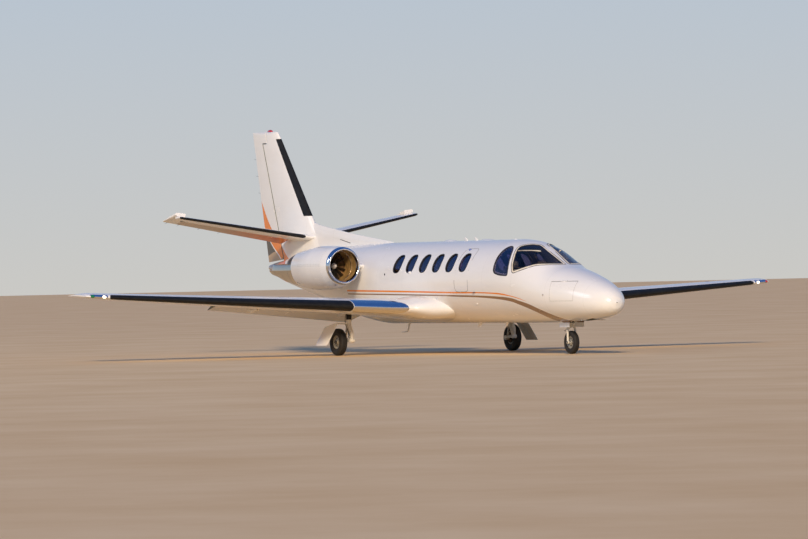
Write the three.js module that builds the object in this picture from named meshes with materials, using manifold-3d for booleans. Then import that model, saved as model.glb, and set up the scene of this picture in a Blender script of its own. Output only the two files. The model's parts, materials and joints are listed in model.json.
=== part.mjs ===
// A twin-engine light business jet, parked on its gear.
// Millimetres. +X points forward, +Y to port, +Z up. The origin is on the ground under the
// middle of its length. Stations are distances aft of the nose tip.
import * as THREE from "three";
import { mergeVertices } from "three/addons/utils/BufferGeometryUtils.js";
import Module from "manifold-3d";

const wasm = await Module();
wasm.setup();

// Driving dimensions
const LENGTH = 14390;
const HALF_SPAN = 7700;
const WALL = 45;              // cabin skin, frame and lining together
const TAIL_WALL = 26;         // the tail has no lining
const FIT = 0.3;              // gap between pieces that touch
const GAP = 7;                // running gap round a moving panel
const COVE = 10;              // gap between a control surface's round nose and its cove
const HINGE_SIDES = 14;
const PIN_REACH = 32;         // how far a hinge pin stands out of each end of a surface
const PIN_SLACK = 0.8;        // how much larger its bore is in radius
const RUDDER_COVE = 17;
const RING = 28;              // sides of the fuselage

// Fuselage sections: station, keel, roof, half width, height of the widest point, fullness
const FUSELAGE = [
  [0, 950, 972, 12, 961, 2.0],
  [40, 838, 1080, 135, 958, 2.0],
  [150, 757, 1190, 255, 965, 2.1],
  [350, 700, 1300, 365, 985, 2.1],
  [650, 655, 1415, 465, 1015, 2.1],
  [1050, 622, 1530, 560, 1065, 2.1],
  [1400, 606, 1612, 625, 1110, 2.1],
  [1720, 600, 1680, 672, 1160, 2.1],
  [2150, 596, 1870, 722, 1245, 2.1],
  [2600, 594, 2070, 765, 1325, 2.05],
  [2950, 592, 2155, 788, 1368, 2.0],
  [3400, 592, 2190, 798, 1391, 2.0],
  [8400, 592, 2195, 800, 1394, 2.0],
  [9200, 670, 2180, 780, 1410, 2.0],
  [10000, 850, 2165, 725, 1470, 2.0],
  [10800, 1030, 2140, 640, 1540, 2.0],
  [11600, 1190, 2095, 520, 1610, 2.0],
  [12400, 1350, 2010, 385, 1660, 2.0],
  [13000, 1475, 1905, 262, 1700, 2.0],
  [13450, 1612, 1850, 155, 1735, 2.0],
  [13680, 1690, 1815, 80, 1755, 2.0],
];

// Where the fuselage is parted, and what lies in each part
const COCKPIT_START = 1600;
const CABIN_START = 3400;
const TAIL_START = 8400;
const TAIL_END = 13680;
const FLOOR = { low: 700, high: 760, from: 1930, to: 8390 };
const NOSE_BAY = { from: 760, to: 1500, floor: 950 };
const NOSE_BAY_DOOR = { from: 830, to: 1430, low: 1010, high: 1370 };
const NOSE_WELL = { from: 640, to: 1885, halfWidth: 150, roof: 900, wall: 30 };
const TAIL_BAY = { from: 8430, to: 12900 };
const TAIL_BAY_DOOR = { from: 9760, to: 10340, low: 1060, high: 1400 };
const CABIN_WINDOW = { first: 4447, pitch: 520, count: 6, height: 1765, wide: 310, high: 350 };
const EXIT = { from: 4190, to: 4705, low: 1205, high: 2030 };
const ENTRY = { from: 3560, to: 4170, low: 800, high: 1985 };
const ENTRY_WINDOW = { station: 3850, wide: 270, high: 330 };

// Wing at its centreline and tip
const WING = {
  rootLead: 5600, tipLead: 6630, rootChord: 2890, tipChord: 880,
  rootHeight: 800, rise: 0.0616, rootTwist: 2.2, tipTwist: -0.8, rootThick: 0.14, tipThick: 0.12,
};
const FLAP = {
  from: 1130, to: 4440, hinge: 0.75, drop: 18, pivotAft: 60, pivotBelow: 150, brackets: [1700, 3700],
};
const AILERON = { from: 4560, to: 7130, hinge: 0.76, pin: 9 };
const MAIN_WELL = {
  station: 7210, out: 1400, radius: 300, roof: 900, legFrom: 6890, legTo: 7200, legOut: 2080,
};

// Fin, rudder and tailplane
const FIN = {
  base: 1700, top: 4560, leadAt: 2650, lead: 11790, leadSlope: 0.789,
  trailAt: 2000, trail: 13821, trailSlope: 0.2266, hingeAt: 1900, hinge: 12985, hingeSlope: 0.3855,
  rootThick: 0.115, tipThick: 0.10, rudderLow: 1945, hornLow: 4330, hornAhead: 230,
  pin: 14, pinReach: 62,
};
const FIN_STRAIGHT_TO = 4440;  // where the fin's rounded top begins
const TAILPLANE = {
  root: 60, tip: 2775, rootLead: 11669, tipLead: 12377, rootChord: 1306, tipChord: 791,
  rootHeight: 2330, rise: 0.170, thick: 0.10, hinge: 0.66, elevatorFrom: 190, elevatorTo: 2480,
  pin: 8, droop: 15,
};
const TIP_ROUND = { long: 60, trim: 50, thin: 0.4 };
// The elevators' balance horns: where they start, their reach ahead of the hinge, and the round end
// of the rib between horn and elevator that holds the outer pin
const TAIL_HORN = { from: 2525, reach: 300, rib: 28 };

// Engines
const ENGINE = { out: 1300, height: 1755, sides: 20, fanFace: 8620, fanRadius: 293, blades: 15 };
const LIP = [[8249.7, 375], [8195, 361], [8167, 334], [8180, 314], [8249.7, 303]];
// Station, then how far the cowl reaches sideways, up and down. The gearbox hangs below the engine
const COWL_OUTSIDE = [
  [8250, 375, 375, 375], [8520, 404, 394, 414], [9000, 412, 400, 438], [9200, 402, 384, 441],
  [9400, 380, 360, 440], [9600, 348, 336, 428], [9850, 306, 309, 400],
];
const DUCT_RADIUS = 303;
const COWL_INSIDE = [
  [8250, DUCT_RADIUS], [8940, DUCT_RADIUS], [9060, 360], [9200, 352], [9400, 336], [9600, 314], [9850, 293],
];
const SHAFT = { radius: 40, bore: 40.8, end: 8745, boreEnd: 8750 };
const ENGINE_CORE = [
  [SHAFT.boreEnd, 0], [SHAFT.boreEnd, SHAFT.bore], [8725, SHAFT.bore], [8725, 302.7],
  [8930, 302.7], [9000, 240], [9740, 240], [9790, 292.7],
];
const NOZZLE = [[9862, 289], [10040, 262], [10220, 208]];
// The reverser's lower bucket by station, half width and depth, and its side beams by reach and height
const BUCKET = [
  [9857, 301, 396], [10080, 278, 368], [10400, 240, 310], [10650, 218, 250], [10850, 198, 206],
  [11050, 168, 168],
];
const BUCKET_WALL = 24;
const BUCKET_EDGE = 60;
const BEAM = [[9857, 303, 74], [10300, 264, 72], [10600, 234, 70], [10840, 196, 66], [10890, 172, 40]];
const BEAM_THICK = 34;
const BEAM_DROP = 12;
const NOZZLE_WALL = 12;

// Gear: wheel stations, half track and tyre sizes
const NOSE_WHEEL = { station: 1670, radius: 220, width: 112, rim: 118 };
const MAIN_WHEEL = { station: 7250, out: 1970, radius: 265, width: 150, rim: 132 };
// The nose leg: where the fork turns in it, its top, the trunnion's height and the drag brace
const NOSE_LEG = { joint: 560, top: 880, pivot: 845, brace: { foot: 600, ahead: 420, head: 870 } };
const NOSE_GEAR_DOOR = { from: 1470, to: 1830, section: [[152, 640], [160, 640], [166, 508], [158, 508]] };
const TYRE_SIDES = 20;

const xOf = (station) => LENGTH / 2 - station;
const mix = (a, b, t) => a + (b - a) * t;
const radians = THREE.MathUtils.degToRad;

const FINISH = {
  paint: { color: 0xf2efe8, roughness: 0.3, metalness: 0.0 },
  polished: { color: 0xc9ccd0, roughness: 0.12, metalness: 1.0 },
  metal: { color: 0x9a9da0, roughness: 0.35, metalness: 1.0 },
  dark: { color: 0x3a3a3c, roughness: 0.6, metalness: 0.3 },
  rubber: { color: 0x1c1c1d, roughness: 0.85, metalness: 0.0 },
  glass: { color: 0x2b3550, roughness: 0.05, metalness: 0.0 },
  leather: { color: 0xcdbfa5, roughness: 0.55, metalness: 0.0 },
  carpet: { color: 0x8a7d6b, roughness: 0.95, metalness: 0.0 },
  gear: { color: 0xe4dfce, roughness: 0.4, metalness: 0.0 },
};

const jet = new THREE.Group();
jet.name = "business_jet";

// Triangle lists to solids

function signedVolume(position, index) {
  const a = new THREE.Vector3();
  const b = new THREE.Vector3();
  const c = new THREE.Vector3();
  let volume = 0;
  for (let i = 0; i < index.length; i += 3) {
    a.fromArray(position, index[i] * 3);
    b.fromArray(position, index[i + 1] * 3);
    c.fromArray(position, index[i + 2] * 3);
    volume += a.dot(b.cross(c));
  }
  return volume;
}

// A closed geometry of any three.js kind becomes a solid with its faces out
function solid(geometry) {
  const bare = geometry.clone();
  bare.deleteAttribute("normal");
  bare.deleteAttribute("uv");
  const merged = mergeVertices(bare, 1e-3);
  const position = merged.attributes.position.array;
  const index = [];
  for (let i = 0; i < merged.index.count; i += 3) {
    const [a, b, c] = [0, 1, 2].map((k) => merged.index.getX(i + k));
    if (a !== b && b !== c && c !== a) index.push(a, b, c);
  }
  if (signedVolume(position, index) < 0) index.reverse();
  return new wasm.Manifold(new wasm.Mesh({
    numProp: 3, vertProperties: new Float32Array(position), triVerts: new Uint32Array(index),
  }));
}

// Rings of points, joined one to the next and closed by a cap at each end
function loft(rings) {
  const count = rings[0].length;
  const position = rings.flat(2);
  const index = [];
  for (let r = 0; r + 1 < rings.length; r += 1) {
    for (let i = 0; i < count; i += 1) {
      const a = r * count + i;
      const b = r * count + (i + 1) % count;
      index.push(a, b, b + count, a, b + count, a + count);
    }
  }
  const capped = [[0, true], [rings.length - 1, false]];
  for (const [r, turned] of capped) {
    for (const [a, b, c] of capTriangles(rings[r])) {
      const base = r * count;
      index.push(base + a, base + (turned ? c : b), base + (turned ? b : c));
    }
  }
  const geometry = new THREE.BufferGeometry();
  geometry.setAttribute("position", new THREE.Float32BufferAttribute(position, 3));
  geometry.setIndex(index);
  return solid(geometry);
}

// Triangles over a ring, all turning the way the ring does
function capTriangles(ring) {
  const points = ring.map((p) => new THREE.Vector3(...p));
  const normal = new THREE.Vector3();
  points.forEach((p, i) => normal.add(p.clone().cross(points[(i + 1) % points.length])));
  const flatAxis = [Math.abs(normal.x), Math.abs(normal.y), Math.abs(normal.z)];
  const drop = flatAxis.indexOf(Math.max(...flatAxis));
  const [u, v] = [["y", "z"], ["z", "x"], ["x", "y"]][drop];
  const flat = points.map((p) => new THREE.Vector2(p[u], p[v]));
  const sense = Math.sign(THREE.ShapeUtils.area(flat));
  return THREE.ShapeUtils.triangulateShape(flat, []).map(([a, b, c]) => {
    const area = THREE.ShapeUtils.area([flat[a], flat[b], flat[c]]);
    return Math.sign(area) === sense ? [a, b, c] : [a, c, b];
  });
}

function box(x0, x1, y0, y1, z0, z1) {
  const geometry = new THREE.BoxGeometry(Math.abs(x1 - x0), Math.abs(y1 - y0), Math.abs(z1 - z0));
  geometry.translate((x0 + x1) / 2, (y0 + y1) / 2, (z0 + z1) / 2);
  return solid(geometry);
}

// A box whose length is given in stations
const slab = (from, to, y0, y1, z0, z1) => box(xOf(from), xOf(to), y0, y1, z0, z1);

// A straight round bar or cone between two points
function bar(start, end, radius, endRadius = radius, sides = 8) {
  const a = new THREE.Vector3(...start);
  const b = new THREE.Vector3(...end);
  const geometry = new THREE.CylinderGeometry(endRadius, radius, a.distanceTo(b), sides);
  const turn = new THREE.Quaternion().setFromUnitVectors(
    new THREE.Vector3(0, 1, 0), b.clone().sub(a).normalize());
  geometry.applyQuaternion(turn);
  geometry.translate(...a.add(b).multiplyScalar(0.5).toArray());
  return solid(geometry);
}

// A profile of [along, radius] pairs turned round X (closed on itself or ending on the axis)
function turnedX(profile, sides) {
  const outline = profile.map(([along, radius]) => new THREE.Vector2(radius, along));
  const onAxis = profile[0][1] === 0 && profile[profile.length - 1][1] === 0;
  if (!onAxis) outline.push(outline[0].clone());
  const geometry = new THREE.LatheGeometry(outline, sides);
  geometry.rotateZ(-Math.PI / 2);
  return solid(geometry);
}

// The same round Y, with a flat of the polygon at the bottom
function turnedY(profile, sides) {
  const outline = profile.map(([along, radius]) => new THREE.Vector2(radius, along));
  const onAxis = profile[0][1] === 0 && profile[profile.length - 1][1] === 0;
  if (!onAxis) outline.push(outline[0].clone());
  const geometry = new THREE.LatheGeometry(outline, sides);
  geometry.rotateY(Math.PI / sides);
  return solid(geometry);
}

const joined = (solids) => solids.reduce((all, next) => all.add(next));

function geometryOf(body) {
  const mesh = body.getMesh();
  const geometry = new THREE.BufferGeometry();
  geometry.setAttribute("position", new THREE.BufferAttribute(mesh.vertProperties.slice(), 3));
  geometry.setIndex(new THREE.BufferAttribute(mesh.triVerts.slice(), 1));
  return geometry;
}

function place(name, body, finish, position = [0, 0, 0]) {
  const geometry = geometryOf(body);
  geometry.computeVertexNormals();
  const piece = new THREE.Mesh(geometry, new THREE.MeshStandardMaterial(FINISH[finish]));
  piece.name = name;
  piece.position.set(...position);
  jet.add(piece);
}

// Fuselage surface

// Values between the rows of a table, with slopes that never overshoot
function smoothColumn(table, column, at) {
  const last = table.length - 1;
  let k = 0;
  while (k < last - 1 && at > table[k + 1][0]) k += 1;
  const slope = (i) => (table[i + 1][column] - table[i][column]) / (table[i + 1][0] - table[i][0]);
  const tangent = (i) => {
    if (i === 0) return slope(0);
    if (i === last) return slope(last - 1);
    const [before, after] = [slope(i - 1), slope(i)];
    return before * after <= 0 ? 0 : 2 * before * after / (before + after);
  };
  const width = table[k + 1][0] - table[k][0];
  const t = (at - table[k][0]) / width;
  const [p0, p1] = [table[k][column], table[k + 1][column]];
  const [m0, m1] = [tangent(k) * width, tangent(k + 1) * width];
  return (2 * t ** 3 - 3 * t ** 2 + 1) * p0 + (t ** 3 - 2 * t ** 2 + t) * m0
    + (3 * t ** 2 - 2 * t ** 3) * p1 + (t ** 3 - t ** 2) * m1;
}

function fuselageAt(station) {
  const [keel, roof, half, widest, fullness] = [1, 2, 3, 4, 5].map(
    (column) => smoothColumn(FUSELAGE, column, station));
  return { keel, roof, half, widest, fullness };
}

// A ring of the fuselage, a distance inside its skin
function fuselageRing(station, inside) {
  const at = fuselageAt(station);
  const ring = [];
  for (let i = 0; i < RING; i += 1) {
    const angle = 2 * Math.PI * i / RING;
    const [c, s] = [Math.cos(angle), Math.sin(angle)];
    const reach = (s >= 0 ? at.roof - at.widest : at.widest - at.keel) - inside;
    const y = (at.half - inside) * Math.sign(c) * Math.abs(c) ** (2 / at.fullness);
    const z = at.widest + reach * Math.sign(s) * Math.abs(s) ** (2 / at.fullness);
    ring.push([xOf(station), y, z]);
  }
  return ring;
}

// Half width of the skin at a station and height
function skinHalf(station, height) {
  const at = fuselageAt(station);
  const reach = height >= at.widest ? at.roof - at.widest : at.widest - at.keel;
  const up = Math.min(1, Math.abs(height - at.widest) / reach);
  return at.half * (1 - up ** at.fullness) ** (1 / at.fullness);
}

// The sections of the table are enough along the tail; the nose and cockpit get some between
const STATIONS = [
  0, 12, 40, 90, 150, 250, 400, 650, 1050, 1400, 1720, 1930, 2150, 2380, 2600, 2770, 2950, 3170, 3400,
  8400, 8750, 9200, 10000, 10800, 11600, 12400, 13000, 13450, 13680,
];

function fuselage(from, to, inside = 0) {
  const between = STATIONS.filter((s) => s > from + 25 && s < to - 25);
  return loft([from, ...between, to].map((s) => fuselageRing(s, inside)));
}

// Rounded outlines in a side view, as [station, height]
function oval(station, height, wide, high, power = 2.6, count = 12) {
  return Array.from({ length: count }, (_, i) => {
    const angle = 2 * Math.PI * i / count;
    const [c, s] = [Math.cos(angle), Math.sin(angle)];
    return [
      station + wide / 2 * Math.sign(c) * Math.abs(c) ** (2 / power),
      height + high / 2 * Math.sign(s) * Math.abs(s) ** (2 / power),
    ];
  });
}

// A side-view outline pushed through in Y
const sidePrism = (outline, y0, y1) => loft([y0, y1].map(
  (y) => outline.map(([station, height]) => [xOf(station), y, height])));

// Windows

// Outlines on the skin as [station, out, height], starboard and port alike
const WINDSCREEN = [
  [2600, 735, 1535], [2680, 700, 1680], [2760, 620, 1800], [2840, 530, 1930], [2900, 430, 2030],
  [2890, 330, 2078], [2750, 180, 2100], [2640, 32, 2075], [2200, 32, 1880], [1725, 32, 1690],
  [1760, 200, 1690], [1900, 370, 1690], [2100, 520, 1680], [2330, 650, 1610],
];
const SIDE_WINDOW = [
  [2725, 761, 1495], [2770, 701, 1684], [2850, 601, 1857], [2950, 484, 1988], [3070, 400, 2055],
  [3190, 420, 2062], [3265, 500, 2000], [3285, 629, 1870], [3272, 724, 1719], [3255, 762, 1610],
  [3200, 776, 1550], [3011, 780, 1510],
];
const POST_HALF = 32;
const GLASS_DEPTH = 8;
const GLASS = 12;

// The outline swept along the line of sight that squares it to the skin
function windowPrism(outline, side, sight, grow = 1, post = POST_HALF) {
  const middle = [0, 1, 2].map((k) => outline.reduce((sum, p) => sum + p[k], 0) / outline.length);
  const grown = outline.map((p) => p.map((value, k) => middle[k] + (value - middle[k]) * grow));
  const [forward, out] = sight;
  const prism = loft([-170, 420].map((push) => grown.map(([station, y, z]) => [
    xOf(station) + push * forward, side * (y + push * out), z])));
  return prism.intersect(slab(1000, 4000, side * post, side * 1400, 1000, 2500));
}

const WINDSCREEN_SIGHT = [0.8, 0.6];
const SIDE_WINDOW_SIGHT = [0.2, 0.98];
const PANE_SHRINK = 0.998;

function cockpitGlass(side) {
  const skin = fuselage(1620, 3390, GLASS_DEPTH).subtract(fuselage(1600, 3395, GLASS_DEPTH + GLASS));
  const word = side > 0 ? "left" : "right";
  const panes = [
    ["windscreen_", WINDSCREEN, WINDSCREEN_SIGHT], ["side_window_", SIDE_WINDOW, SIDE_WINDOW_SIGHT],
  ];
  for (const [name, outline, sight] of panes) {
    const opening = windowPrism(outline, side, sight, PANE_SHRINK, POST_HALF + FIT);
    place(name + word, skin.intersect(opening), "glass");
  }
}

const cabinWindowStations = Array.from(
  { length: CABIN_WINDOW.count }, (_, i) => CABIN_WINDOW.first + CABIN_WINDOW.pitch * i);

// One strip of glazing lies in a rebate of the lining behind each row of windows
const REBATE = { outer: 18, inner: 28, low: 1545, high: 1985, beyond: 185 };

function glazing(side, first, fit, inner) {
  const { outer, low, high, beyond } = REBATE;
  const from = cabinWindowStations[first] - beyond + fit;
  const to = cabinWindowStations[CABIN_WINDOW.count - 1] + beyond - fit;
  const layer = fuselage(from, to, outer + fit).subtract(fuselage(from - 5, to + 5, inner));
  return layer.intersect(slab(from - 9, to + 9, side * 300, side * 900, low + fit, high - fit));
}

// Doors in a curved skin

// A butt hinge on a pivot: two fixed barrels with a pin and straps, and a knuckle between them.
// Sizes run along the axis; straps go into the skin, one way to the frame and one to the leaf.
const BUTT = { knuckle: 23, barrelFrom: 26, barrelTo: 70, round: 8, pin: 4.5, room: 13, deep: 26, wide: 22 };

function buttHinge(pivot, along, inward, toFrame) {
  const { knuckle, barrelFrom, barrelTo, round, pin, room, deep, wide } = BUTT;
  const at = (a, u, v) => pivot.clone().addScaledVector(along, a).addScaledVector(inward, u)
    .addScaledVector(toFrame, v).toArray();
  const round8 = (a0, a1, radius) => bar(at(a0, 0, 0), at(a1, 0, 0), radius);
  const strap = (a0, a1, v) => loft([a0, a1].map(
    (a) => [at(a, 0, 0), at(a, deep, 0), at(a, deep, v), at(a, 0, v * 0.5)]));
  const bothEnds = (make) => joined([make(-barrelTo, -barrelFrom), make(barrelFrom, barrelTo)]);
  return {
    frame: joined([bothEnds((a0, a1) => round8(a0, a1, round)),
      bothEnds((a0, a1) => strap(a0 + 1, a1 - 1, wide)), round8(1 - barrelTo, barrelTo - 1, pin)]),
    frameRoom: round8(-barrelFrom - 1, barrelFrom + 1, room),
    leaf: round8(-knuckle, knuckle, round).add(strap(1 - knuckle, knuckle - 1, -wide)),
    leafRoom: joined([bothEnds((a0, a1) => round8(a0 - 2, a1 + 2, room)),
      round8(-barrelFrom, barrelFrom, pin + PIN_SLACK)]),
  };
}

// A door's leaf and hole. The hinge lies along the skin at its upper or lower edge, and the
// ends are square to the hinge.
function hingedPanel(door, side, hingeHigh, leafThick) {
  const hingeHeight = hingeHigh ? door.high : door.low;
  const along = [door.from, door.to].map(
    (s) => new THREE.Vector3(xOf(s), side * skinHalf(s, hingeHeight), hingeHeight));
  const middle = along[0].clone().add(along[1]).multiplyScalar(0.5);
  const forward = along[0].clone().sub(along[1]).normalize();
  const outward = new THREE.Vector3(-forward.y, forward.x, 0).multiplyScalar(side);
  const half = along[0].distanceTo(along[1]) / 2;
  const block = (grow, deep) => {
    const ring = [[-1, -1], [1, -1], [1, 1], [-1, 1]];
    return loft([-deep, 260].map((push) => ring.map(([a, b]) => {
      const p = middle.clone().addScaledVector(forward, a * (half + grow)).addScaledVector(outward, push);
      p.z = b > 0 ? door.high + grow : door.low - grow;
      return p.toArray();
    })));
  };
  const layer = fuselage(door.from - 200, door.to + 200)
    .subtract(fuselage(door.from - 210, door.to + 210, leafThick));
  const pivot = middle.clone().addScaledVector(outward, 10);
  pivot.z += hingeHigh ? GAP / 2 : -GAP / 2;
  const toFrame = new THREE.Vector3(0, 0, hingeHigh ? 1 : -1);
  const hinge = buttHinge(pivot, forward, outward.clone().negate(), toFrame);
  const leaf = layer.intersect(block(0, 200)).add(hinge.leaf).subtract(hinge.leafRoom);
  return { leaf, hole: block(GAP, 240).add(hinge.frameRoom), frame: hinge.frame, pivot, forward };
}

const noseDoors = [1, -1].map((side) => hingedPanel(NOSE_BAY_DOOR, side, true, 30));
const tailDoor = hingedPanel(TAIL_BAY_DOOR, 1, false, 30);

// The entry door swings on a line just outside the skin at its forward edge. Its rear edge is
// bevelled so that the curved leaf swings clear of the frame.
const ENTRY_PIVOT = { station: ENTRY.from - GAP / 2, out: 812, height: 1394 };

function entryPrism(grow, bevelled) {
  const levels = [0, 0.08, 0.17, 0.3, 0.45, 0.6, 0.75, 0.87, 1];
  return loft(levels.map((t) => {
    const z = mix(ENTRY.low - grow, ENTRY.high + grow, t);
    const outer = skinHalf(ENTRY.from, z);
    const rise = Math.abs(z - 1394) / 800;
    const through = WALL / Math.sqrt(1 - Math.min(0.93, rise ** 2));
    const inner = outer - through;
    const reach = ENTRY.to - ENTRY_PIVOT.station;
    const slope = bevelled ? 1.15 * (ENTRY_PIVOT.out - inner) / (reach - 60) : 0;
    const [yOut, yIn] = [outer + 40, inner - 25];
    const [front, rear] = [ENTRY.from - grow, ENTRY.to + grow];
    const rearIn = rear - slope * (outer - yIn);
    return [[xOf(front), yOut, z], [xOf(rear), yOut, z], [xOf(rear), outer, z],
      [xOf(rearIn), yIn, z], [xOf(front), yIn, z]];
  }));
}

const entryOpening = entryPrism(GAP, false);
const entryHinge = buttHinge(
  new THREE.Vector3(xOf(ENTRY_PIVOT.station), ENTRY_PIVOT.out, ENTRY_PIVOT.height),
  new THREE.Vector3(0, 0, 1), new THREE.Vector3(0, -1, 0), new THREE.Vector3(1, 0, 0));
const entryWindow = (grow) => sidePrism(oval(
  ENTRY_WINDOW.station, CABIN_WINDOW.height, ENTRY_WINDOW.wide + grow, ENTRY_WINDOW.high + grow), 400, 900);
const cabinWindowCut = (i, side, grow = 0) => sidePrism(oval(
  cabinWindowStations[i], CABIN_WINDOW.height, CABIN_WINDOW.wide + grow, CABIN_WINDOW.high + grow),
  side * 400, side * 900);
const exitPrism = (grow) => sidePrism(oval(
  (EXIT.from + EXIT.to) / 2, (EXIT.low + EXIT.high) / 2,
  EXIT.to - EXIT.from + grow, EXIT.high - EXIT.low + grow, 7, 28), -200, -900);

function paneIn(prism, from, to) {
  const layer = fuselage(from, to, REBATE.outer).subtract(fuselage(from - 5, to + 5, REBATE.inner));
  return layer.intersect(prism);
}

// Fuselage pieces

function makeNose() {
  const bay = fuselage(NOSE_BAY.from, NOSE_BAY.to, 40).intersect(
    slab(NOSE_BAY.from, NOSE_BAY.to, -900, 900, NOSE_BAY.floor, 2000));
  const well = slab(NOSE_WELL.from, COCKPIT_START + 50, -NOSE_WELL.halfWidth, NOSE_WELL.halfWidth,
    400, NOSE_WELL.roof);
  const holes = joined([bay, well, ...noseDoors.map((door) => door.hole)]);
  const frames = noseDoors.map((door) => door.frame);
  place("nose_section", joined([fuselage(0, COCKPIT_START - FIT).subtract(holes), ...frames]), "paint");
  noseDoors.forEach((door, i) => place(`nose_bay_door_${i ? "right" : "left"}`, door.leaf, "paint"));
}

function makeCockpit() {
  const { to, halfWidth, roof, wall } = NOSE_WELL;
  const inside = fuselage(COCKPIT_START + WALL, CABIN_START + 40, WALL);
  const wellBox = fuselage(COCKPIT_START, to + wall + 20).intersect(
    slab(COCKPIT_START, to + wall, -halfWidth - wall, halfWidth + wall, 400, roof + wall));
  const well = slab(COCKPIT_START - 40, to, -halfWidth, halfWidth, 400, roof);
  const glassHoles = [1, -1].flatMap((side) => [
    windowPrism(WINDSCREEN, side, WINDSCREEN_SIGHT), windowPrism(SIDE_WINDOW, side, SIDE_WINDOW_SIGHT)]);
  const shell = fuselage(COCKPIT_START, CABIN_START - FIT).subtract(inside).add(wellBox)
    .subtract(joined([well, ...glassHoles]));
  place("cockpit_shell", shell, "paint");
  cockpitGlass(1);
  cockpitGlass(-1);
}

function makeCabin() {
  const shell = fuselage(CABIN_START, TAIL_START).subtract(
    fuselage(CABIN_START - 40, TAIL_START + 40, WALL));
  const sides = [1, -1].flatMap((side) => cabinWindowStations.map((_, i) => ({ side, i })));
  const windows = sides.filter(({ side, i }) => side > 0 || i > 0)
    .map(({ side, i }) => cabinWindowCut(i, side));
  const rebates = [glazing(1, 0, 0, WALL + 5), glazing(-1, 1, 0, WALL + 5)];
  const holes = joined([...windows, ...rebates, entryOpening, exitPrism(2 * FIT)]);
  const framed = shell.subtract(holes.add(entryHinge.frameRoom)).add(entryHinge.frame);
  place("cabin_shell", framed, "paint");
  place("window_belt_left", glazing(1, 0, FIT, REBATE.inner), "glass");
  place("window_belt_right", glazing(-1, 1, FIT, REBATE.inner), "glass");

  const wall = fuselage(CABIN_START, CABIN_START + 1600).subtract(
    fuselage(CABIN_START - 40, CABIN_START + 1640, WALL));
  const leaf = wall.intersect(entryPrism(0, true)).subtract(entryWindow(0));
  place("entry_door", leaf.add(entryHinge.leaf).subtract(entryHinge.leafRoom), "paint");
  place("door_window", paneIn(entryWindow(-2 * FIT), ENTRY.from, ENTRY.to), "glass");
  place("exit_hatch", wall.intersect(exitPrism(0)).subtract(cabinWindowCut(0, -1)), "paint");
  place("hatch_window", paneIn(cabinWindowCut(0, -1, -2 * FIT), EXIT.from, EXIT.to), "glass");
}

function makeTailcone() {
  const bay = fuselage(TAIL_BAY.from, TAIL_BAY.to, TAIL_WALL);
  const shell = fuselage(TAIL_START + FIT, TAIL_END).subtract(bay.add(tailDoor.hole));
  place("tailcone", shell.add(tailDoor.frame).subtract(rudderPin(PIN_SLACK)), "paint");
  place("tail_bay_door", tailDoor.leaf, "paint");
}

// Cabin inside

function makeFloor() {
  const slabShape = slab(FLOOR.from, FLOOR.to, -900, 900, FLOOR.low, FLOOR.high);
  place("cabin_floor", slabShape.intersect(fuselage(FLOOR.from - 90, FLOOR.to + 9, WALL + FIT)), "carpet");
}

function makePanel() {
  const { from, to } = { from: 1760, to: 2330 };
  const hood = sidePrism([[from, 1500], [2120, 1575], [to, 1560], [to, 1535], [2250, 1500],
    [2210, 1180], [2110, 1150], [1900, 1250]], -560, 560);
  const pedestal = sidePrism([[2150, 1260], [2215, 1240], [2620, 1010], [2640, 760 + FIT],
    [2150, 760 + FIT]], -110, 110);
  place("instrument_panel", hood.intersect(fuselage(1700, 2400, WALL + 4)).add(pedestal), "dark");
}

// One seat in a side view, its base, cushion, back and head rest in one outline
function seat(station, middle, wide, pan, faces) {
  const top = FLOOR.high + pan;
  const outline = [[-170, FLOOR.high + 20], [200, FLOOR.high + 20], [190, top - 130], [290, top - 80],
    [430, top + 560], [455, top + 700], [365, top + 715], [325, top + 570], [185, top], [-240, top + 20],
    [-255, top - 120], [-170, top - 130]];
  return sidePrism(
    outline.map(([aft, z]) => [station + aft * faces, z]), middle - wide / 2, middle + wide / 2);
}

// Seats in a row stand on a pair of rails, which makes each group one solid, and their outer
// sides follow the cabin's lining
function seatGroup(seats, middle, railFrom, railTo) {
  const rails = [-1, 1].map((side) => slab(railFrom, railTo, side * (middle - 40), side * (middle + 40),
    FLOOR.high + FIT, FLOOR.high + 40));
  const tie = slab(railFrom, railFrom + 60, -middle, middle, FLOOR.high + FIT, FLOOR.high + 18);
  const room = fuselage(railFrom - 500, railTo + 900, WALL + 6);
  return joined([...rails, tie, ...seats]).intersect(room);
}

function makeSeats() {
  const crew = [1, -1].map((side) => seat(2930, side * 320, 380, 330, 1));
  place("cockpit_seats", seatGroup(crew, 290, 2640, 3150), "leather");
  const rows = [[4700, -1], [5760, 1], [6560, 1], [7320, 1]];
  const cabin = rows.flatMap(([station, faces]) => [1, -1].map(
    (side) => seat(station, side * 345, 400, 400, faces)));
  place("cabin_seats", seatGroup(cabin, 320, 4400, 7600), "leather");
}

// Wings

function wingAt(out) {
  const t = out / HALF_SPAN;
  return {
    lead: mix(WING.rootLead, WING.tipLead, t),
    chord: mix(WING.rootChord, WING.tipChord, t),
    height: WING.rootHeight + WING.rise * out,
    twist: radians(mix(WING.rootTwist, WING.tipTwist, t)),
    thick: mix(WING.rootThick, WING.tipThick, t),
  };
}

// A cambered aerofoil, from the trailing edge over the top to the nose and back below
function aerofoil(thick, camber, count = 10) {
  const points = [];
  const half = (x) => halfThick(thick, x) + 0.0015 * x;
  const line = (x) => 4 * camber * x * (1 - x);
  for (let i = 0; i <= count; i += 1) {
    const x = (1 + Math.cos(Math.PI * i / count)) / 2;
    points.push([x, line(x) + half(x)]);
  }
  for (let i = count - 1; i >= 0; i -= 1) {
    const x = (1 + Math.cos(Math.PI * i / count)) / 2;
    points.push([x, line(x) - half(x)]);
  }
  return points;
}

const TWIST_AT = 0.4;

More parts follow.
